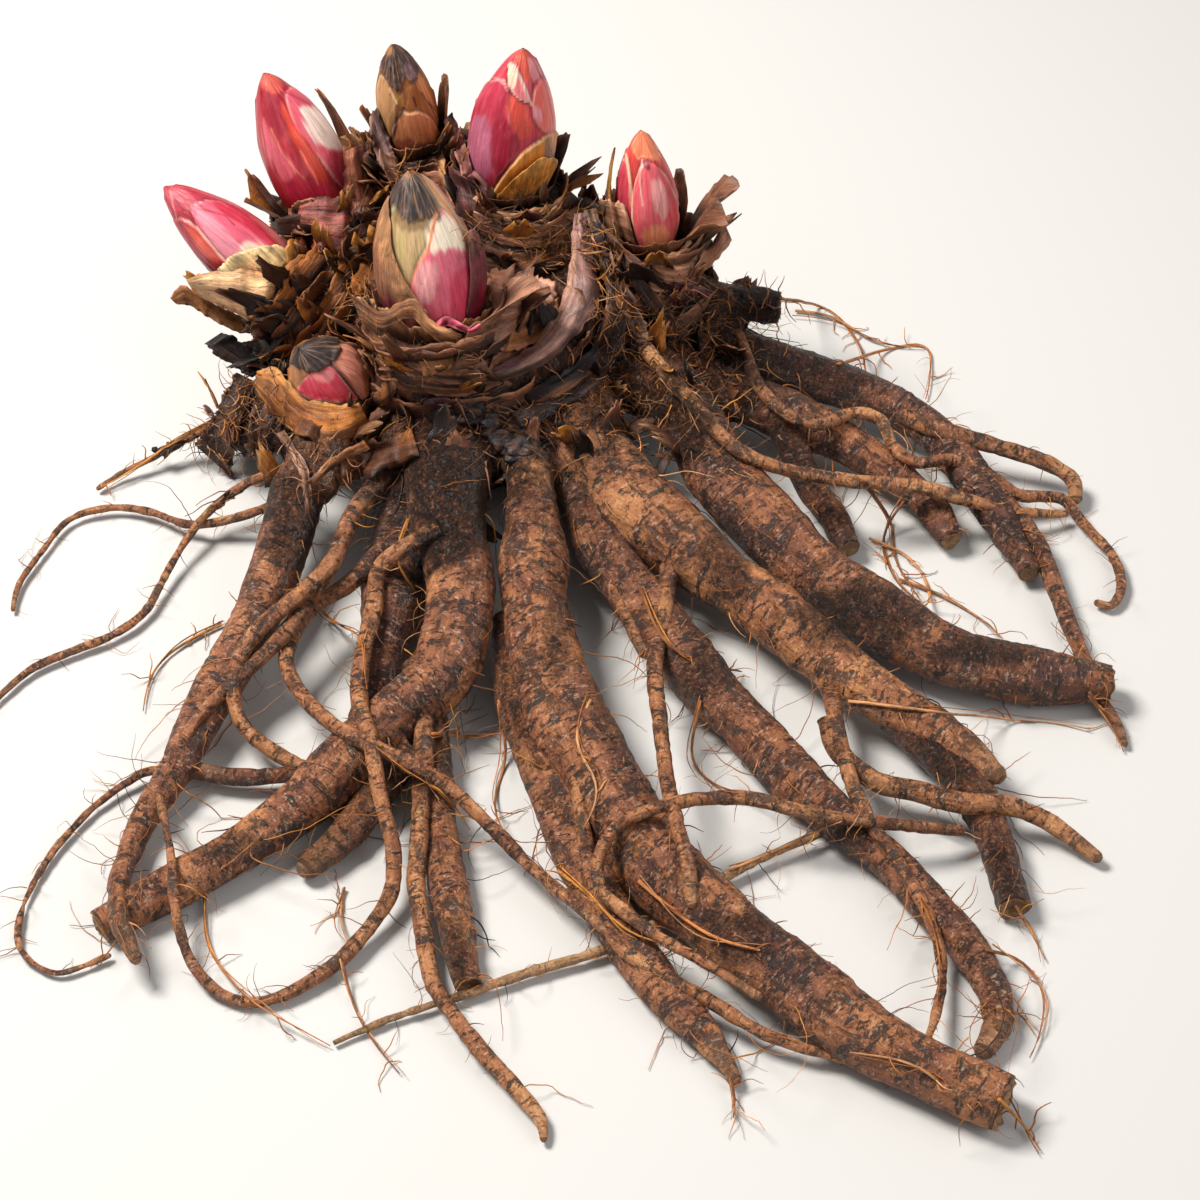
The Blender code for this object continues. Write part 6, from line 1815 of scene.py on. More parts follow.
def draped(shape, ground, first, second, lift, bulge, pleats, tones, seed, tear=4.0, dark=0.7):
    """Sheet between two edges drawn in the photograph's pixels, smoothed in depth and torn at its rim."""
    rows, columns = 40, 13
    edges = []
    for edge in (first, second):
        spots = spline(np.array([(*spot, 0.0, 0.0) for spot in edge], float), 3.0)[:, :2]
        travel = np.concatenate([[0.0], np.cumsum(np.linalg.norm(np.diff(spots, axis=0), axis=1))])
        even = np.linspace(0.0, travel[-1], rows)
        edges.append(np.column_stack([np.interp(even, travel, spots[:, axis]) for axis in range(2)]))
    share = np.linspace(0.0, 1.0, columns)
    spots = edges[0][:, None] * (1.0 - share)[None, :, None] + edges[1][:, None] * share[None, :, None]
    length = float(np.linalg.norm(np.diff(edges[0], axis=0), axis=1).sum()) * 0.28
    width = float(np.linalg.norm(edges[0] - edges[1], axis=1).mean()) * 0.28
    t, u = np.meshgrid(np.linspace(0.0, 1.0, rows), share, indexing="ij")
    field = np.stack([t * length + seed * 31.0, u * width, np.full_like(t, seed * 1.7)], axis=-1)
    rim = np.abs(2.0 * u - 1.0) ** 3
    ends = ramp(np.minimum(t, 1.0 - t), 0.0, 0.12)
    ragged = noise(field * (1.0, 0.3, 1.0), 1.8, seed) + 0.6 * noise(field * (1.0, 0.3, 1.0), 0.7, seed + 1)
    spots = spots + (spots - spots.mean(axis=1, keepdims=True)) * (0.06 * tear * ragged * rim)[..., None]
    away = np.empty((rows, columns))
    rays = np.empty((rows, columns, 3))
    for row in range(rows):
        for column in range(columns):
            spot = spots[row, column]
            rays[row, column] = sight_direction(spot[0], spot[1])
            away[row, column] = ground.depth(spot[0], spot[1])
    away = np.minimum(away, np.percentile(away, 30.0) + 9.0)
    calm = away.copy()
    for _ in range(2):
        wide = np.pad(calm, 1, mode="edge")
        calm = np.minimum.reduce([wide[row:row + rows, column:column + columns]
                                  for row in range(3) for column in range(3)])
    for _ in range(9):
        wide = np.pad(calm, 1, mode="edge")
        calm = 0.4 * calm + 0.15 * (wide[:-2, 1:-1] + wide[2:, 1:-1] + wide[1:-1, :-2] + wide[1:-1, 2:])
    rise = lift + bulge * (1.0 - (2.0 * u - 1.0) ** 2) + 0.9 * rim * ramp(ragged, 0.0, 1.0)
    folds = noise(field * (0.08, 1.6, 1.0), 2.4, seed + 2) + 0.5 * noise(field * (0.1, 2.2, 1.0), 1.1, seed + 3)
    rise = (rise + pleats * folds) * (0.25 + 0.75 * ends) + 0.3 * noise(field, 2.6, seed + 4)
    front = SIGHT_POINT + rays * (calm - rise)[..., None]
    back = SIGHT_POINT + rays * (calm - rise + 0.7)[..., None]
    front[..., 2] = np.maximum(front[..., 2], 0.3)
    back[..., 2] = np.maximum(back[..., 2], 0.1)
    patch = noise(field * (0.5, 1.0, 1.0), 4.0, seed + 5)
    low, middle, high = tones
    # The sheet is lighter on the raised folds and the lifted rim and darker in the fold hollows: painted light and
    # shade.
    skin = mix(mix(low, middle, ramp(0.5 + 0.5 * folds + 0.4 * patch, 0.0, 0.6)), high,
               ramp(0.3 + 0.45 * folds + 0.4 * rim + 0.4 * patch, 0.35, 1.0))
    skin = skin * (1.0 + 0.4 * noise(field * (0.12, 1.6, 1.0), 0.7, seed + 6))[..., None]
    skin = mix(skin, NEAR_BLACK, dark * ramp(noise(field * (0.4, 1.2, 1.0), 2.4, seed + 7), 0.3, 0.7))
    count = rows * columns
    faces = grid_quads(rows, columns, False)
    wall = []
    for column in range(columns - 1):
        top = (rows - 1) * columns + column
        wall.append((column, column + 1, count + column + 1, count + column))
        wall.append((top + 1, top, count + top, count + top + 1))
    for row in range(rows - 1):
        near, far = row * columns, row * columns + columns - 1
        wall.append((near + columns, near, count + near, count + near + columns))
        wall.append((far, far + columns, count + far + columns, count + far))
    quads = np.vstack([faces[:, ::-1], faces + count, np.array(wall)])
    # The back face takes the colour at half brightness: painted shade.
    shape.add(np.vstack([back.reshape(-1, 3), front.reshape(-1, 3)]), quads,
              grain=np.vstack([field.reshape(-1, 3)] * 2),
              skin=np.clip(np.vstack([skin.reshape(-1, 3) * 0.5, skin.reshape(-1, 3)]), 0.0, 1.0))


LAVENDER = rgb(112, 84, 82)
PALE_TAN = rgb(176, 132, 104)
PINK_TAN = rgb(178, 136, 120)
GOLD_BROWN = rgb(138, 84, 42)

# Edge and other edge in the photograph's pixels, then lift, bulge, pleats (mm), tones and seed.
SHEETS = (
    # Layers in front of the top pink bud.
    (((452, 198), (480, 214), (512, 224), (548, 222), (578, 204)),
     ((450, 208), (478, 226), (512, 236), (550, 233), (582, 214)), 2.6, 0.6, 0.7, (DARK_BROWN, PAPER, PALE_TAN), 1),
    (((456, 210), (484, 224), (516, 232), (550, 230), (582, 213)),
     ((458, 222), (484, 238), (516, 247), (552, 243), (584, 226)), 2.0, 0.8, 0.8, (DARK_BROWN, PAPER, PALE_TAN), 2),
    (((462, 224), (490, 238), (520, 245), (552, 241), (578, 228)),
     ((466, 238), (490, 254), (522, 260), (552, 255), (576, 244)), 1.5, 0.7, 0.8, (NEAR_BLACK, DRY_BROWN, PAPER), 3),
    (((482, 242), (505, 252), (530, 257), (556, 252), (572, 243)),
     ((486, 256), (508, 268), (532, 274), (554, 270), (568, 260)), 1.2, 0.7, 0.8, (NEAR_BLACK, DARK_BROWN, AMBER), 4),
    # Wall of the cup under the front bud and the collars below it.
    (((351, 296), (366, 300), (376, 312), (390, 313), (399, 304), (416, 300), (424, 314), (446, 332), (478, 338)),
     ((366, 334), (378, 346), (396, 358), (424, 369), (456, 373), (480, 368)), 3.4, 1.4, 0.8,
     (DARK_BROWN, GOLD_BROWN, TAN), 5),
    (((362, 322), (378, 342), (398, 354), (426, 364), (458, 367), (488, 360)),
     ((372, 346), (388, 364), (410, 376), (440, 383), (474, 381), (498, 370)), 2.6, 1.0, 0.7,
     (DARK_BROWN, PAPER, PALE_TAN), 6),
    (((374, 350), (392, 366), (416, 377), (444, 382), (474, 380), (500, 372)),
     ((386, 372), (404, 386), (430, 394), (458, 396), (486, 390), (508, 380)), 1.8, 0.8, 0.7,
     (NEAR_BLACK, DRY_BROWN, PAPER), 7),
    (((398, 384), (420, 392), (448, 396), (478, 394), (504, 384)),
     ((410, 398), (430, 406), (454, 408), (484, 405), (512, 396)), 1.2, 0.7, 0.7, (NEAR_BLACK, DARK_BROWN, DRY_BROWN), 8),
    # Papery scale to the right of the front bud.
    (((492, 268), (512, 268), (534, 274), (552, 284), (563, 300)),
     ((470, 320), (483, 334), (491, 347), (520, 330), (548, 318)), 3.4, 1.6, 0.9,
     (rgb(112, 68, 48), rgb(160, 108, 84), rgb(184, 134, 108)), 9),
    (((512, 318), (530, 312), (548, 304), (562, 296)),
     ((500, 352), (520, 350), (544, 338), (564, 316)), 3.0, 1.2, 0.9, (DARK_BROWN, GOLD_BROWN, PAPER), 10),
    # Fibrous strips under the right bud.
    (((584, 210), (594, 244), (606, 278), (620, 310), (634, 344)),
     ((596, 208), (608, 242), (622, 276), (638, 308), (652, 340)), 2.4, 0.8, 1.0, (DARK_BROWN, PALE_TAN, PALE_TAN), 11),
    (((600, 226), (614, 254), (630, 284), (648, 312), (662, 342)),
     ((612, 224), (628, 252), (646, 280), (666, 306), (684, 334)), 1.8, 0.8, 1.0, (NEAR_BLACK, DRY_BROWN, PAPER), 12),
    (((606, 230), (626, 256), (648, 278), (676, 296), (704, 304)),
     ((612, 216), (634, 240), (658, 262), (684, 280), (712, 290)), 2.2, 1.0, 0.9, (NEAR_BLACK, PLUM, PAPER), 13),
    (((598, 270), (606, 288), (616, 304), (626, 322)),
     ((606, 268), (616, 286), (628, 302), (640, 320)), 2.4, 0.6, 0.6, (AMBER, GOLD_BROWN, OCHRE), 14),
    (((640, 250), (660, 262), (684, 262), (708, 246), (726, 226)),
     ((644, 268), (664, 282), (690, 280), (716, 262), (732, 240)), 3.0, 1.2, 0.8, (DARK_BROWN, PAPER, PALE_TAN), 15),
    # Dark twisted scraps between the upper left and top brown buds, and left of the front bud.
    (((352, 152), (350, 176), (352, 200), (358, 222)),
     ((370, 146), (372, 172), (374, 198), (376, 220)), 4.5, 2.4, 0.9, (PLUM, DRY_BROWN, PAPER), 16),
    (((370, 110), (374, 136), (382, 166), (392, 194)),
     ((382, 112), (388, 134), (398, 160), (408, 186)), 4.5, 1.8, 1.0, (NEAR_BLACK, DRY_BROWN, PALE_TAN), 17),
    # Folds round the lower left bud and the torn bark below it.
    (((366, 344), (380, 356), (392, 376), (396, 400)),
     ((352, 352), (366, 366), (376, 386), (378, 408)), 3.0, 2.0, 0.8, (DARK_BROWN, GOLD_BROWN, PALE_TAN), 20),
    (((222, 332), (240, 340), (256, 354), (262, 370)),
     ((204, 344), (222, 358), (238, 368), (252, 378)), 3.0, 1.4, 0.8, (NEAR_BLACK, NEAR_BLACK, DARK_BROWN), 21),
    (((262, 372), (276, 392), (296, 412), (322, 426)),
     ((250, 384), (264, 406), (286, 428), (314, 440)), 2.0, 1.4, 0.8, (DARK_BROWN, DRY_BROWN, GOLD_BROWN), 22),
    (((236, 372), (222, 396), (208, 424), (198, 448)),
     ((256, 382), (246, 408), (236, 436), (232, 478)), 2.0, 1.6, 1.4, (NEAR_BLACK, DARK_BROWN, DRY_BROWN), 23),
    (((256, 392), (250, 414), (246, 436), (248, 458)),
     ((290, 414), (282, 430), (276, 446), (272, 470)), 1.8, 1.6, 1.4, (NEAR_BLACK, DARK_BROWN, DRY_BROWN), 24),
    (((334, 468), (356, 450), (384, 438), (412, 430)),
     ((340, 488), (364, 478), (392, 468), (420, 456)), 2.0, 2.2, 0.8, (DARK_BROWN, DRY_BROWN, GOLD_BROWN), 25),
    (((276, 434), (288, 452), (300, 474), (306, 514)),
     ((284, 430), (297, 450), (309, 472), (312, 515)), 3.0, 1.2, 0.8, (DRY_BROWN, PALE_TAN, PALE_TAN), 26),
    (((304, 486), (322, 466), (340, 452), (364, 440)),
     ((310, 490), (328, 473), (346, 460), (370, 449)), 3.0, 1.2, 0.8, (DRY_BROWN, GOLD_BROWN, PALE_TAN), 27),
)
BANDS = (
    # Glossy band of the oldest sheath that runs down from the top bud and under the front one.
    (((574, 214), (571, 242), (569, 270), (563, 298), (545, 330), (515, 356), (482, 373)),
     ((586, 212), (590, 244), (596, 276), (597, 300), (574, 338), (536, 368), (484, 386)), 2.4, 2.0, 0.8,
     (rgb(92, 52, 48), rgb(138, 98, 90), rgb(184, 136, 112)), 41),
    (((590, 222), (600, 262), (606, 300), (596, 340), (562, 372), (520, 394)),
     ((600, 222), (614, 262), (622, 302), (614, 344), (580, 382), (532, 408)), 1.4, 1.4, 0.8,
     (NEAR_BLACK, DARK_BROWN, PAPER), 42),
    (((614, 300), (606, 340), (582, 372), (548, 396), (510, 412)),
     ((630, 304), (622, 348), (598, 384), (562, 410), (520, 428)), 1.0, 1.0, 0.8, (NEAR_BLACK, DARK_BROWN, LAVENDER), 43),
)


# Leaves and torn skins that lie on the buds and husks.
FRONT_SHEETS = (
    # Cream scale at the foot of the left bud, and the tan one below it.
    (((186, 280), (204, 273), (222, 271), (240, 270), (258, 272), (277, 275)),
     ((194, 293), (212, 303), (230, 311), (244, 318), (256, 325), (272, 316)), 1.2, 1.0, 0.35,
     (rgb(190, 128, 80), rgb(214, 166, 114), rgb(226, 182, 142)), 51, 1.0, 0.1),
    (((170, 298), (182, 285), (200, 296), (222, 308), (242, 316), (257, 325)),
     ((176, 304), (190, 306), (206, 316), (224, 326), (238, 332), (250, 334)), 1.6, 0.7, 0.4,
     (rgb(134, 84, 44), rgb(164, 108, 58), rgb(184, 116, 92)), 52, 2.0, 0.25),
    # Pink and brown skin round the foot of the upper left bud.
    (((300, 206), (311, 200), (330, 197), (349, 199)), ((294, 226), (308, 242), (330, 252), (350, 246)), 1.4, 1.2, 0.8,
     (rgb(92, 48, 36), rgb(146, 74, 68), rgb(176, 112, 88)), 53, 3.0, 0.5),
    (((288, 208), (296, 216), (304, 222)), ((290, 232), (300, 244), (316, 256)), 1.2, 1.0, 0.9,
     (rgb(96, 46, 34), rgb(150, 78, 60), rgb(170, 112, 84)), 54, 4.0, 0.5),
    # Brown wrinkled skin between the upper left bud and the top brown one, and the grey scrap beside it.
    (((343, 152), (343, 172), (345, 196), (350, 222)), ((366, 142), (371, 164), (374, 190), (374, 216)), 2.2, 2.4, 0.9,
     (rgb(84, 40, 34), rgb(132, 74, 52), rgb(164, 102, 72)), 55, 3.0, 0.5),
    (((369, 118), (371, 138), (378, 158), (388, 178)), ((377, 107), (384, 124), (391, 146), (400, 168)), 2.0, 1.6, 1.0,
     (rgb(74, 50, 44), rgb(142, 104, 92), rgb(196, 148, 120)), 56, 3.0, 0.45),
    # Golden skin under the lower left bud, and the leaf on its right.
    (((257, 371), (275, 367), (290, 384), (305, 398), (330, 404), (359, 403)),
     ((254, 386), (268, 408), (288, 428), (320, 444), (348, 440), (370, 424)), 1.6, 2.4, 0.45,
     (rgb(112, 62, 26), rgb(176, 108, 46), rgb(206, 148, 82)), 57, 1.5, 0.35),
    (((362, 352), (372, 364), (378, 382), (376, 402)), ((378, 356), (390, 370), (397, 386), (392, 400)), 1.6, 1.2, 0.8,
     (rgb(110, 64, 32), rgb(172, 116, 58), rgb(186, 132, 84)), 58, 2.0, 0.35),
    # Dark skin left of the lower left bud.
    (((236, 344), (252, 340), (270, 338), (290, 334)), ((234, 356), (250, 364), (262, 366), (276, 352)), 1.6, 1.4, 0.9,
     (NEAR_BLACK, rgb(62, 46, 40), rgb(98, 70, 56)), 59, 3.0, 0.6),
    # Rim of the cup in front of the front bud.
    (((352, 296), (362, 300), (372, 308), (384, 312), (396, 304), (414, 298), (424, 312), (440, 326), (462, 334)),
     ((360, 312), (370, 322), (382, 328), (396, 322), (412, 318), (424, 330), (440, 342), (462, 350)), 1.6, 0.8, 0.8,
     (rgb(96, 56, 34), rgb(160, 106, 66), rgb(196, 142, 98)), 60, 2.0, 0.3),
    (((436, 322), (446, 316), (456, 320), (468, 326), (480, 322)), ((438, 330), (448, 326), (458, 330), (470, 334),
     (482, 330)), 1.2, 0.5, 0.3, (rgb(130, 30, 60), rgb(186, 70, 92), rgb(214, 128, 122)), 61, 1.0, 0.0),
    # Curled foot of the top pink bud.
    (((468, 174), (474, 170), (480, 174), (490, 186)), ((462, 182), (472, 184), (480, 190), (488, 200)), 1.4, 0.8, 0.6,
     (rgb(76, 34, 38), rgb(112, 58, 58), rgb(176, 116, 106)), 62, 2.0, 0.3),
    # Dark folded skin between the top brown and top pink buds.
    (((448, 166), (450, 182), (452, 200), (458, 218)), ((470, 176), (476, 190), (482, 204), (490, 214)), 1.6, 1.6, 1.0,
     (rgb(40, 22, 22), rgb(70, 36, 36), rgb(118, 72, 62)), 63, 3.0, 0.5),
    (((444, 120), (450, 142), (458, 164), (462, 184)), ((452, 112), (462, 136), (470, 158), (474, 176)), 1.6, 1.0, 0.9,
     (rgb(60, 32, 30), rgb(112, 66, 58), rgb(158, 102, 84)), 64, 3.0, 0.4),
    # Papery skins round the foot of the right bud.
    (((598, 200), (608, 199), (618, 202), (626, 206)), ((604, 224), (614, 232), (626, 240), (636, 246)), 1.4, 1.2, 0.8,
     (rgb(112, 72, 50), rgb(170, 122, 92), rgb(202, 156, 122)), 65, 2.5, 0.3),
    (((640, 262), (652, 262), (664, 258), (676, 250), (690, 240)), ((644, 282), (658, 290), (674, 284), (690, 272),
     (704, 256)), 1.6, 1.2, 0.9, (rgb(116, 72, 46), rgb(172, 118, 82), rgb(198, 146, 108)), 66, 2.5, 0.3),
    (((588, 212), (600, 222), (614, 236), (630, 252), (648, 266)), ((590, 226), (604, 240), (620, 256), (638, 274),
     (650, 284)), 1.4, 1.0, 1.0, (rgb(56, 36, 32), rgb(98, 66, 54), rgb(146, 104, 80)), 67, 3.0, 0.5),
)


def draped_sheets(ground, rows):
    shape = Shape()
    for values in rows:
        draped(shape, ground, *values)
    return shape


def knob(ground):
    """Dark wet lump of old bark under the front bud."""
    shape = Shape()
    for column, row, wide, tall, seed in ((463, 412, 8.0, 4.6, 71), (446, 418, 4.6, 4.0, 72), (486, 420, 5.0, 3.4, 73),
                                          (520, 446, 6.0, 3.2, 74), (500, 434, 5.0, 3.0, 75)):
        hit, normal = ground.seen(column, row, 1.0)
        rows, columns = 24, 44
        t, a = np.meshgrid(np.linspace(0.02, math.pi - 0.02, rows), TAU * np.arange(columns) / columns, indexing="ij")
        round_form = np.stack([np.sin(t) * np.cos(a), np.sin(t) * np.sin(a), np.cos(t)], axis=-1)
        field = round_form * (wide, 5.0, tall) + seed * 3.0
        swell = 1.0 + 0.2 * noise(field, 3.0, seed) + 0.16 * noise(field * (0.3, 1.0, 1.4), 1.1, seed + 1)
        swell = swell - 0.12 * ramp(noise(field, 0.8, seed + 3), 0.0, 0.8)
        place = hit + round_form * (wide, 5.0, tall) * swell[..., None] - normal * 1.4
        place[..., 2] = np.maximum(place[..., 2], 0.1)
        tone = mix(NEAR_BLACK, rgb(54, 46, 48), ramp(noise(field * (0.5, 1.0, 1.0), 1.2, seed + 2), 0.1, 0.8))
        tone = mix(tone, rgb(84, 52, 34), ramp(noise(field, 2.0, seed + 4), 0.2, 0.6))
        shape.add(place, grid_quads(rows, columns, True), grain=field.reshape(-1, 3), skin=tone.reshape(-1, 3))
    return shape


def within(place):
    """Whether a place lies in the box of the part and a little round it."""
    return -122.5 < place[0] < 186.0 and -237.0 < place[1] < 87.0


# Loose scraps of old scale

def scrap(shape, place, normal, up, wide, tall, bend, tones, seed):
    """Small torn sheet that stands on the surface, leans along up and curls over."""
    rows, columns = 6, 6
    normal, up = unit(normal), unit(up)
    across = unit(np.cross(up, normal))
    t, u = np.meshgrid(np.linspace(0.0, 1.0, rows), np.linspace(-1.0, 1.0, columns), indexing="ij")
    chance = random.Random(seed)
    skew = chance.uniform(-0.4, 0.4)
    narrow = 1.0 - 0.5 * t ** chance.uniform(1.4, 3.4)
    field = np.stack([t * tall + seed * 29.0, u * wide * 0.5, 0.0 * t + seed], axis=-1)
    ragged = 1.0 + 0.5 * noise(field, 2.0, seed)
    side = u * 0.5 * wide * narrow * ragged + skew * t * wide
    length = t * tall * (1.0 + 0.4 * noise(np.stack([u * 3.0, 0 * u, 0 * u + seed], axis=-1), 1.0, seed + 1))
    turn = bend * t
    rise = np.where(np.abs(turn) > 1e-3, np.sin(turn) / np.maximum(np.abs(turn), 1e-3), 1.0) * length
    tip = (1.0 - np.cos(turn)) / np.maximum(np.abs(turn), 1e-3) * length * np.sign(bend)
    cupping = 0.22 * wide * u**2 * (1.0 - 0.5 * t) * chance.choice((-1.0, 1.0))
    out = tip + cupping + 0.5 * noise(field, 2.0, seed + 2)
    sheet = place + side[..., None] * across + rise[..., None] * up + out[..., None] * normal
    sheet[..., 2] = np.maximum(sheet[..., 2], 0.3)
    face = unit(np.cross(np.gradient(sheet, axis=1), np.gradient(sheet, axis=0)))
    low, middle, high = tones
    tone = mix(mix(low, middle, ramp(t + 0.3 * noise(field, 3.0, seed + 3), 0.0, 0.5)), high,
               ramp(t + 0.4 * noise(field, 2.0, seed + 4), 0.5, 1.1))
    count = rows * columns
    faces = grid_quads(rows, columns, False)
    rim = []
    for column in range(columns - 1):
        top = (rows - 1) * columns + column
        rim.append((column, column + 1, count + column + 1, count + column))
        rim.append((top + 1, top, count + top, count + top + 1))
    for row in range(rows - 1):
        first, last = row * columns, row * columns + columns - 1
        rim.append((first + columns, first, count + first, count + first + columns))
        rim.append((last, last + columns, count + last + columns, count + last))
    quads = np.vstack([faces[:, ::-1], faces + count, np.array(rim)])
    back, front = sheet - face * 0.16, sheet + face * 0.16
    back[..., 2] = np.maximum(back[..., 2], 0.1)
    # The back face takes the colour at 0.7 brightness: painted shade.
    shape.add(np.vstack([back.reshape(-1, 3), front.reshape(-1, 3)]), quads,
              grain=np.vstack([field.reshape(-1, 3)] * 2),
              skin=np.clip(np.vstack([tone.reshape(-1, 3) * 0.7, tone.reshape(-1, 3)]), 0.0, 1.0))


SCRAP_TONES = (
    (NEAR_BLACK, DARK_BROWN, DRY_BROWN), (DARK_BROWN, DRY_BROWN, PAPER), (DARK_BROWN, DRY_BROWN, TAN),
    (DARK_BROWN, AMBER, OCHRE), (NEAR_BLACK, NEAR_BLACK, DARK_BROWN), (PLUM, DRY_BROWN, PAPER),
)


def scraps(ground, crown_points):
    chance = random.Random(644)
    shape = Shape()
    for name, owner in FRAMES.items():
        values = BUDS[name]
        for index in range(26):
            angle = chance.uniform(0.0, TAU)
            distance = chance.uniform(-12.0, 2.5)
            outward = math.cos(angle) * owner.right + math.sin(angle) * owner.back
            centre = owner.foot + owner.axis * distance
            radius = ground.radius_at(centre, outward, values[5] + 1.0)
            place = centre + outward * (radius + 0.2)
            up = owner.axis + outward * chance.uniform(0.0, 0.7)
            scrap(shape, place, outward, up, chance.uniform(4.0, 11.0), chance.uniform(5.0, 13.0),
                  chance.uniform(-0.4, 1.5), chance.choice(SCRAP_TONES), 2000 + index + 40 * len(name))
    spots = crown_points[crown_points[:, 2] > 14.0]
    for index in range(170):
        place = spots[chance.randrange(len(spots))]
        hit, normal = ground.nearest(place)
        up = np.array((0.0, 0.0, 1.0)) + 0.6 * np.array([chance.uniform(-1.0, 1.0) for _ in range(3)])
        up = up - normal * float(up @ normal) + normal * chance.uniform(0.1, 0.6)
        scrap(shape, hit + normal * 0.2, normal, up, chance.uniform(3.0, 9.0), chance.uniform(4.0, 11.0),
              chance.uniform(0.1, 1.6), chance.choice(SCRAP_TONES), 3000 + index)
    return shape


# Soil

CRUMB_FACES = np.array([
    (0, 1, 2), (0, 2, 3), (0, 3, 4), (0, 4, 5), (0, 5, 1), (1, 6, 2), (2, 6, 7), (2, 7, 3), (3, 7, 8), (3, 8, 4),
    (4, 8, 9), (4, 9, 5), (5, 9, 10), (5, 10, 1), (1, 10, 6), (11, 7, 6), (11, 8, 7), (11, 9, 8), (11, 10, 9),
    (11, 6, 10)])


def crumb_points():
    rows = [(0.0, 0.0, 1.0)]
    for turn, height in ((0.0, 0.447), (0.5, -0.447)):
        for corner in range(5):
            angle = TAU * (corner + turn) / 5.0
            rows.append((0.894 * math.cos(angle), 0.894 * math.sin(angle), height))
    rows.append((0.0, 0.0, -1.0))
    return np.array(rows)


CRUMB = crumb_points()


def crumbs(ground, spots, count, size, seed):
    chance = random.Random(seed)
    shape = Shape()
    for index in range(count):
        hit, normal = ground.nearest(spots[chance.randrange(len(spots))])
        big = chance.uniform(*size) * (1.6 if chance.random() < 0.12 else 1.0)
        stretch = np.array([chance.uniform(0.6, 1.3) for _ in range(3)])
        form = CRUMB * (1.0 + 0.3 * noise(CRUMB * 3.0 + index, 1.0, seed)[:, None]) * stretch * big
        place = form + hit + normal * big * 0.25
        place[:, 2] = np.maximum(place[:, 2], 0.05)
        shape.add(place, None, CRUMB_FACES, grain=form + index * 3.0, skin=pick(chance, SOIL_TONES))
    return shape


SOIL_TONES = (rgb(24, 17, 14), rgb(38, 25, 18), rgb(58, 36, 24), rgb(18, 14, 13))


# Camera, floor and light

def aim(made, target):
    direction = Vector(target) - made.location
    made.rotation_mode = "QUATERNION"
    made.rotation_quaternion = direction.to_track_quat("-Z", "Y")


def camera():
    data = bpy.data.cameras.new("camera")
    data.sensor_width = 36.0
    data.lens = 18.0 / math.tan(math.radians(12.0))
    data.clip_start = 0.01
    data.clip_end = 20.0
    made = bpy.data.objects.new("camera", data)
    bpy.context.scene.collection.objects.link(made)
    made.location = Vector(SIGHT_POINT * MM)
    aim(made, SIGHT_TARGET * MM)
    bpy.context.scene.camera = made


def floor():
    mesh = bpy.data.meshes.new("floor")
    wide = 6.0
    mesh.from_pydata([(-wide, -wide, -0.0001), (wide, -wide, -0.0001), (wide, wide, -0.0001), (-wide, wide, -0.0001)],
                     [], [(0, 1, 2, 3)])
    made = bpy.data.objects.new("floor", mesh)
    bpy.context.scene.collection.objects.link(made)
    surface, tree, shader = new_surface("floor")
    shader.inputs["Base Color"].default_value = (0.55, 0.53, 0.5, 1.0)
    shader.inputs["Roughness"].default_value = 0.85
    mesh.materials.append(surface)


def area_light(name, place, target, size, power, colour):
    data = bpy.data.lights.new(name, "AREA")
    data.shape = "DISK"
    data.size = size
    data.energy = power
    data.color = colour
    made = bpy.data.objects.new(name, data)
    bpy.context.scene.collection.objects.link(made)
    made.location = place
    aim(made, target)


def studio():
    camera()
    floor()
    area_light("key", (-0.5, 0.1, 0.95), (0.03, -0.05, 0.02), 0.4, 20.0, (1.0, 0.98, 0.95))
    area_light("fill", (0.9, -0.5, 0.8), (0.03, -0.07, 0.02), 0.9, 5.0, (0.95, 0.97, 1.0))
    world = bpy.data.worlds.new("studio")
    world.use_nodes = True
    world.node_tree.nodes["Background"].inputs["Color"].default_value = (0.95, 0.96, 1.0, 1.0)
    world.node_tree.nodes["Background"].inputs["Strength"].default_value = 0.36
    bpy.context.scene.world = world
    bpy.context.scene.view_settings.view_transform = "Standard"


# The whole

def storage_pieces():
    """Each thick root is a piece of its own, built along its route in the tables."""
    seed = 100
    shapes, routes = [], {}
    for name, route in list(STORAGE_ROOTS.items()) + list(BACK_ROOTS.items()):
        placed = sighted(route) if name in STORAGE_ROOTS else np.array(route, float)
        radius = float(np.median(placed[:, 3]))
        sides = int(min(56, max(26, round(TAU * radius / 0.95))))
        shape = Shape()
        routes[name] = bark_tube(shape, placed, sides, 1.35, seed, 0.05, 1.0, ROOT_TINTS[name],
                                 ROOT_SOIL.get(name, 0.8), placed[-1, 3] > 3.1)
        shape.build("root_" + name, BARK, "root_bark")
        shapes.append(shape)
        seed += 1
    return seed, shapes, routes


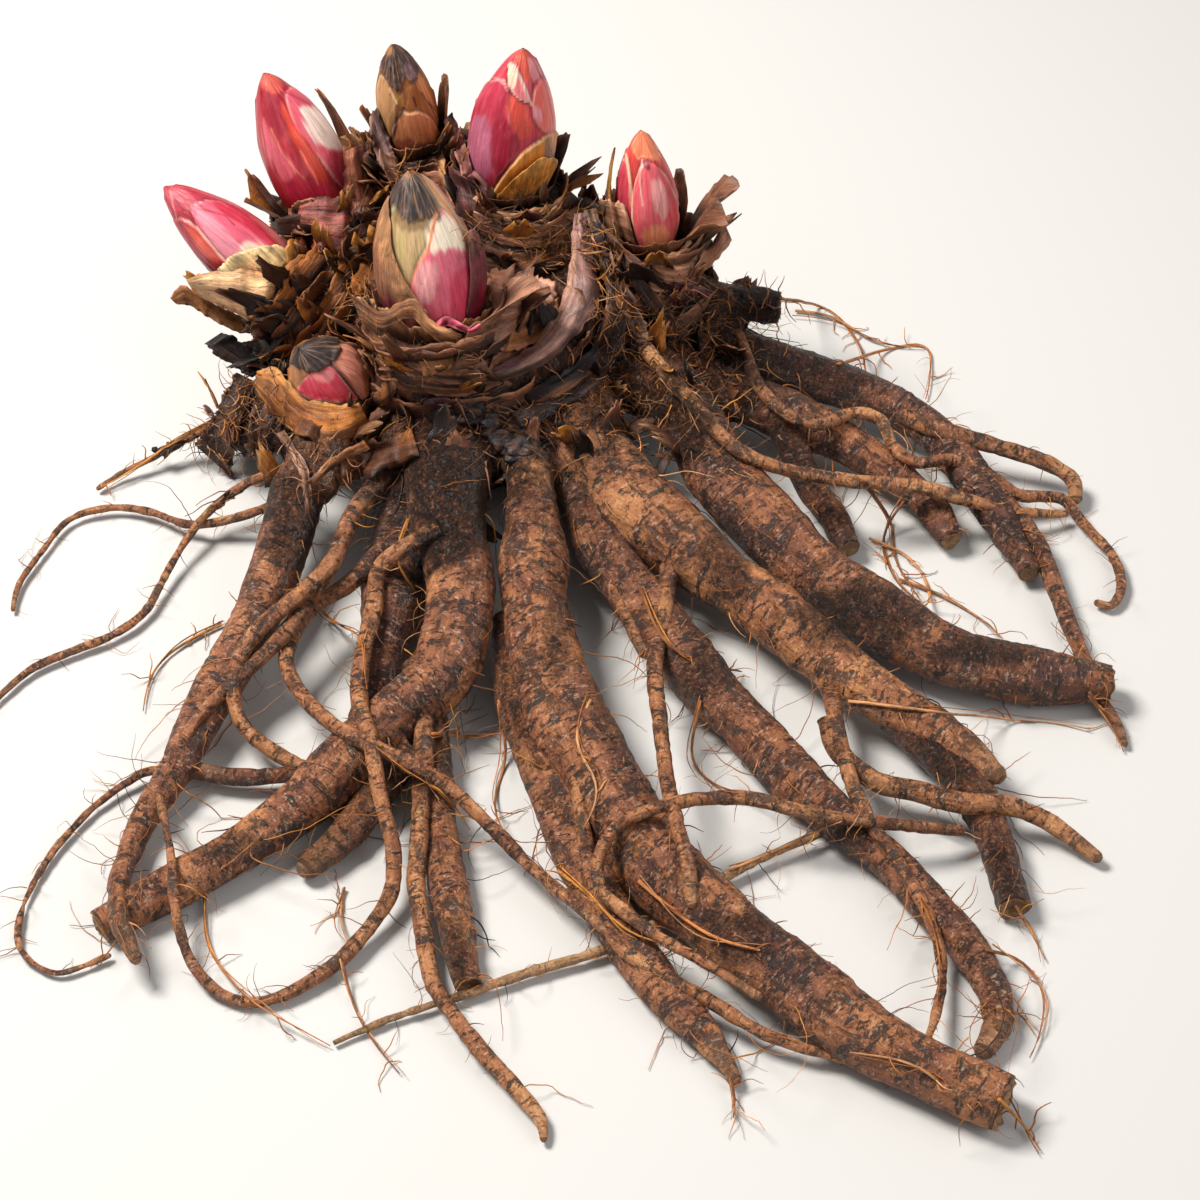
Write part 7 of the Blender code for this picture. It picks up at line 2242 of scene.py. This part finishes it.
ROOT_TINTS = {
    "left": 0.52, "front_left": 0.5, "front": 0.56, "right_front": 0.66, "right_front_branch": 0.36, "right": 0.42,
    "under_right": 0.44, "back_right": 0.26, "back_right_lower": 0.4, "torn_stub": 0.08, "under_left": 0.6,
    "under_front": 0.52, "short_left": 0.5, "behind_left": 0.3, "between_right": 0.3, "back_middle": 0.45,
    "back_left": 0.45,
}
ROOT_SOIL = {"left": 1.0, "front_left": 1.0, "front": 0.9, "right_front": 0.55, "torn_stub": 1.0, "back_right": 1.0}
SIDE_TINTS = {"front_tip": 0.72, "tan_right": 0.7, "over_right": 0.75, "tip_right_low": 0.5, "low_left": 0.3}


def side_pieces(seed):
    shape, routes = Shape(), {}
    for name, route in list(SIDE_ROOTS.items()) + list(FINE_ROOTS.items()):
        placed = sighted(route)
        radius = float(np.median(placed[:, 3]))
        sides = int(min(22, max(9, round(TAU * radius / 0.75))))
        tint = 0.95 if name == "straw" else SIDE_TINTS.get(name, 0.66)
        slim = 0.86 if name in SIDE_ROOTS else 0.7
        routes[name] = bark_tube(shape, placed, sides, 1.6, seed, 0.03, 0.75, tint, 0.25, False, slim)
        seed += 1
    shape.build("side_roots", BARK, "root_bark")
    return shape, routes


def main():
    crown, crown_points, crown_quads = crown_body()
    crown.build("crown_bark", BARK, "root_bark", WOODY)
    seed, shapes, routes = storage_pieces()
    side_shape, side_routes = side_pieces(seed)
    ground = Ground([crown] + shapes + [side_shape])
    neck_bands(ground).build("neck_bands", FIBRE, "husk")
    sheets = draped_sheets(ground, SHEETS)
    sheets.build("old_sheaths", HUSK, "husk")
    band = draped_sheets(ground, BANDS)
    band.build("sheath_band", SHEATH, "husk")
    knob(ground).build("dark_knob", SHEATH, "root_bark")
    scraps(ground, crown_points).build("scale_scraps", HUSK, "husk")
    crown_fibres(ground, crown_points).build("crown_fibres", FIBRE, "husk")
    hairs = hair_roots(ground, {**routes, **side_routes})
    long_hairs(hairs, ground)
    hairs.build("hair_roots", FIBRE, "root_bark")
    low = crown_points[crown_points[:, 2] < 40.0]
    crumbs(ground, low, 700, (0.35, 1.1), 77).build("soil_crumbs", FIBRE, "root_bark")
    front = [crown]
    for index, name in enumerate(BUDS):
        front.append(bud_piece(name, 300 + 20 * index))
        front.append(husk_piece(name))
    for name in SCALES:
        front.append(scale_piece(name))
    skins = draped_sheets(Ground(front), FRONT_SHEETS)
    skins.build("torn_skins", HUSK, "husk")
    tangles(Ground(front + shapes + [sheets, band, skins])).build("fibre_tangles", FIBRE, "husk")
    studio()


main()
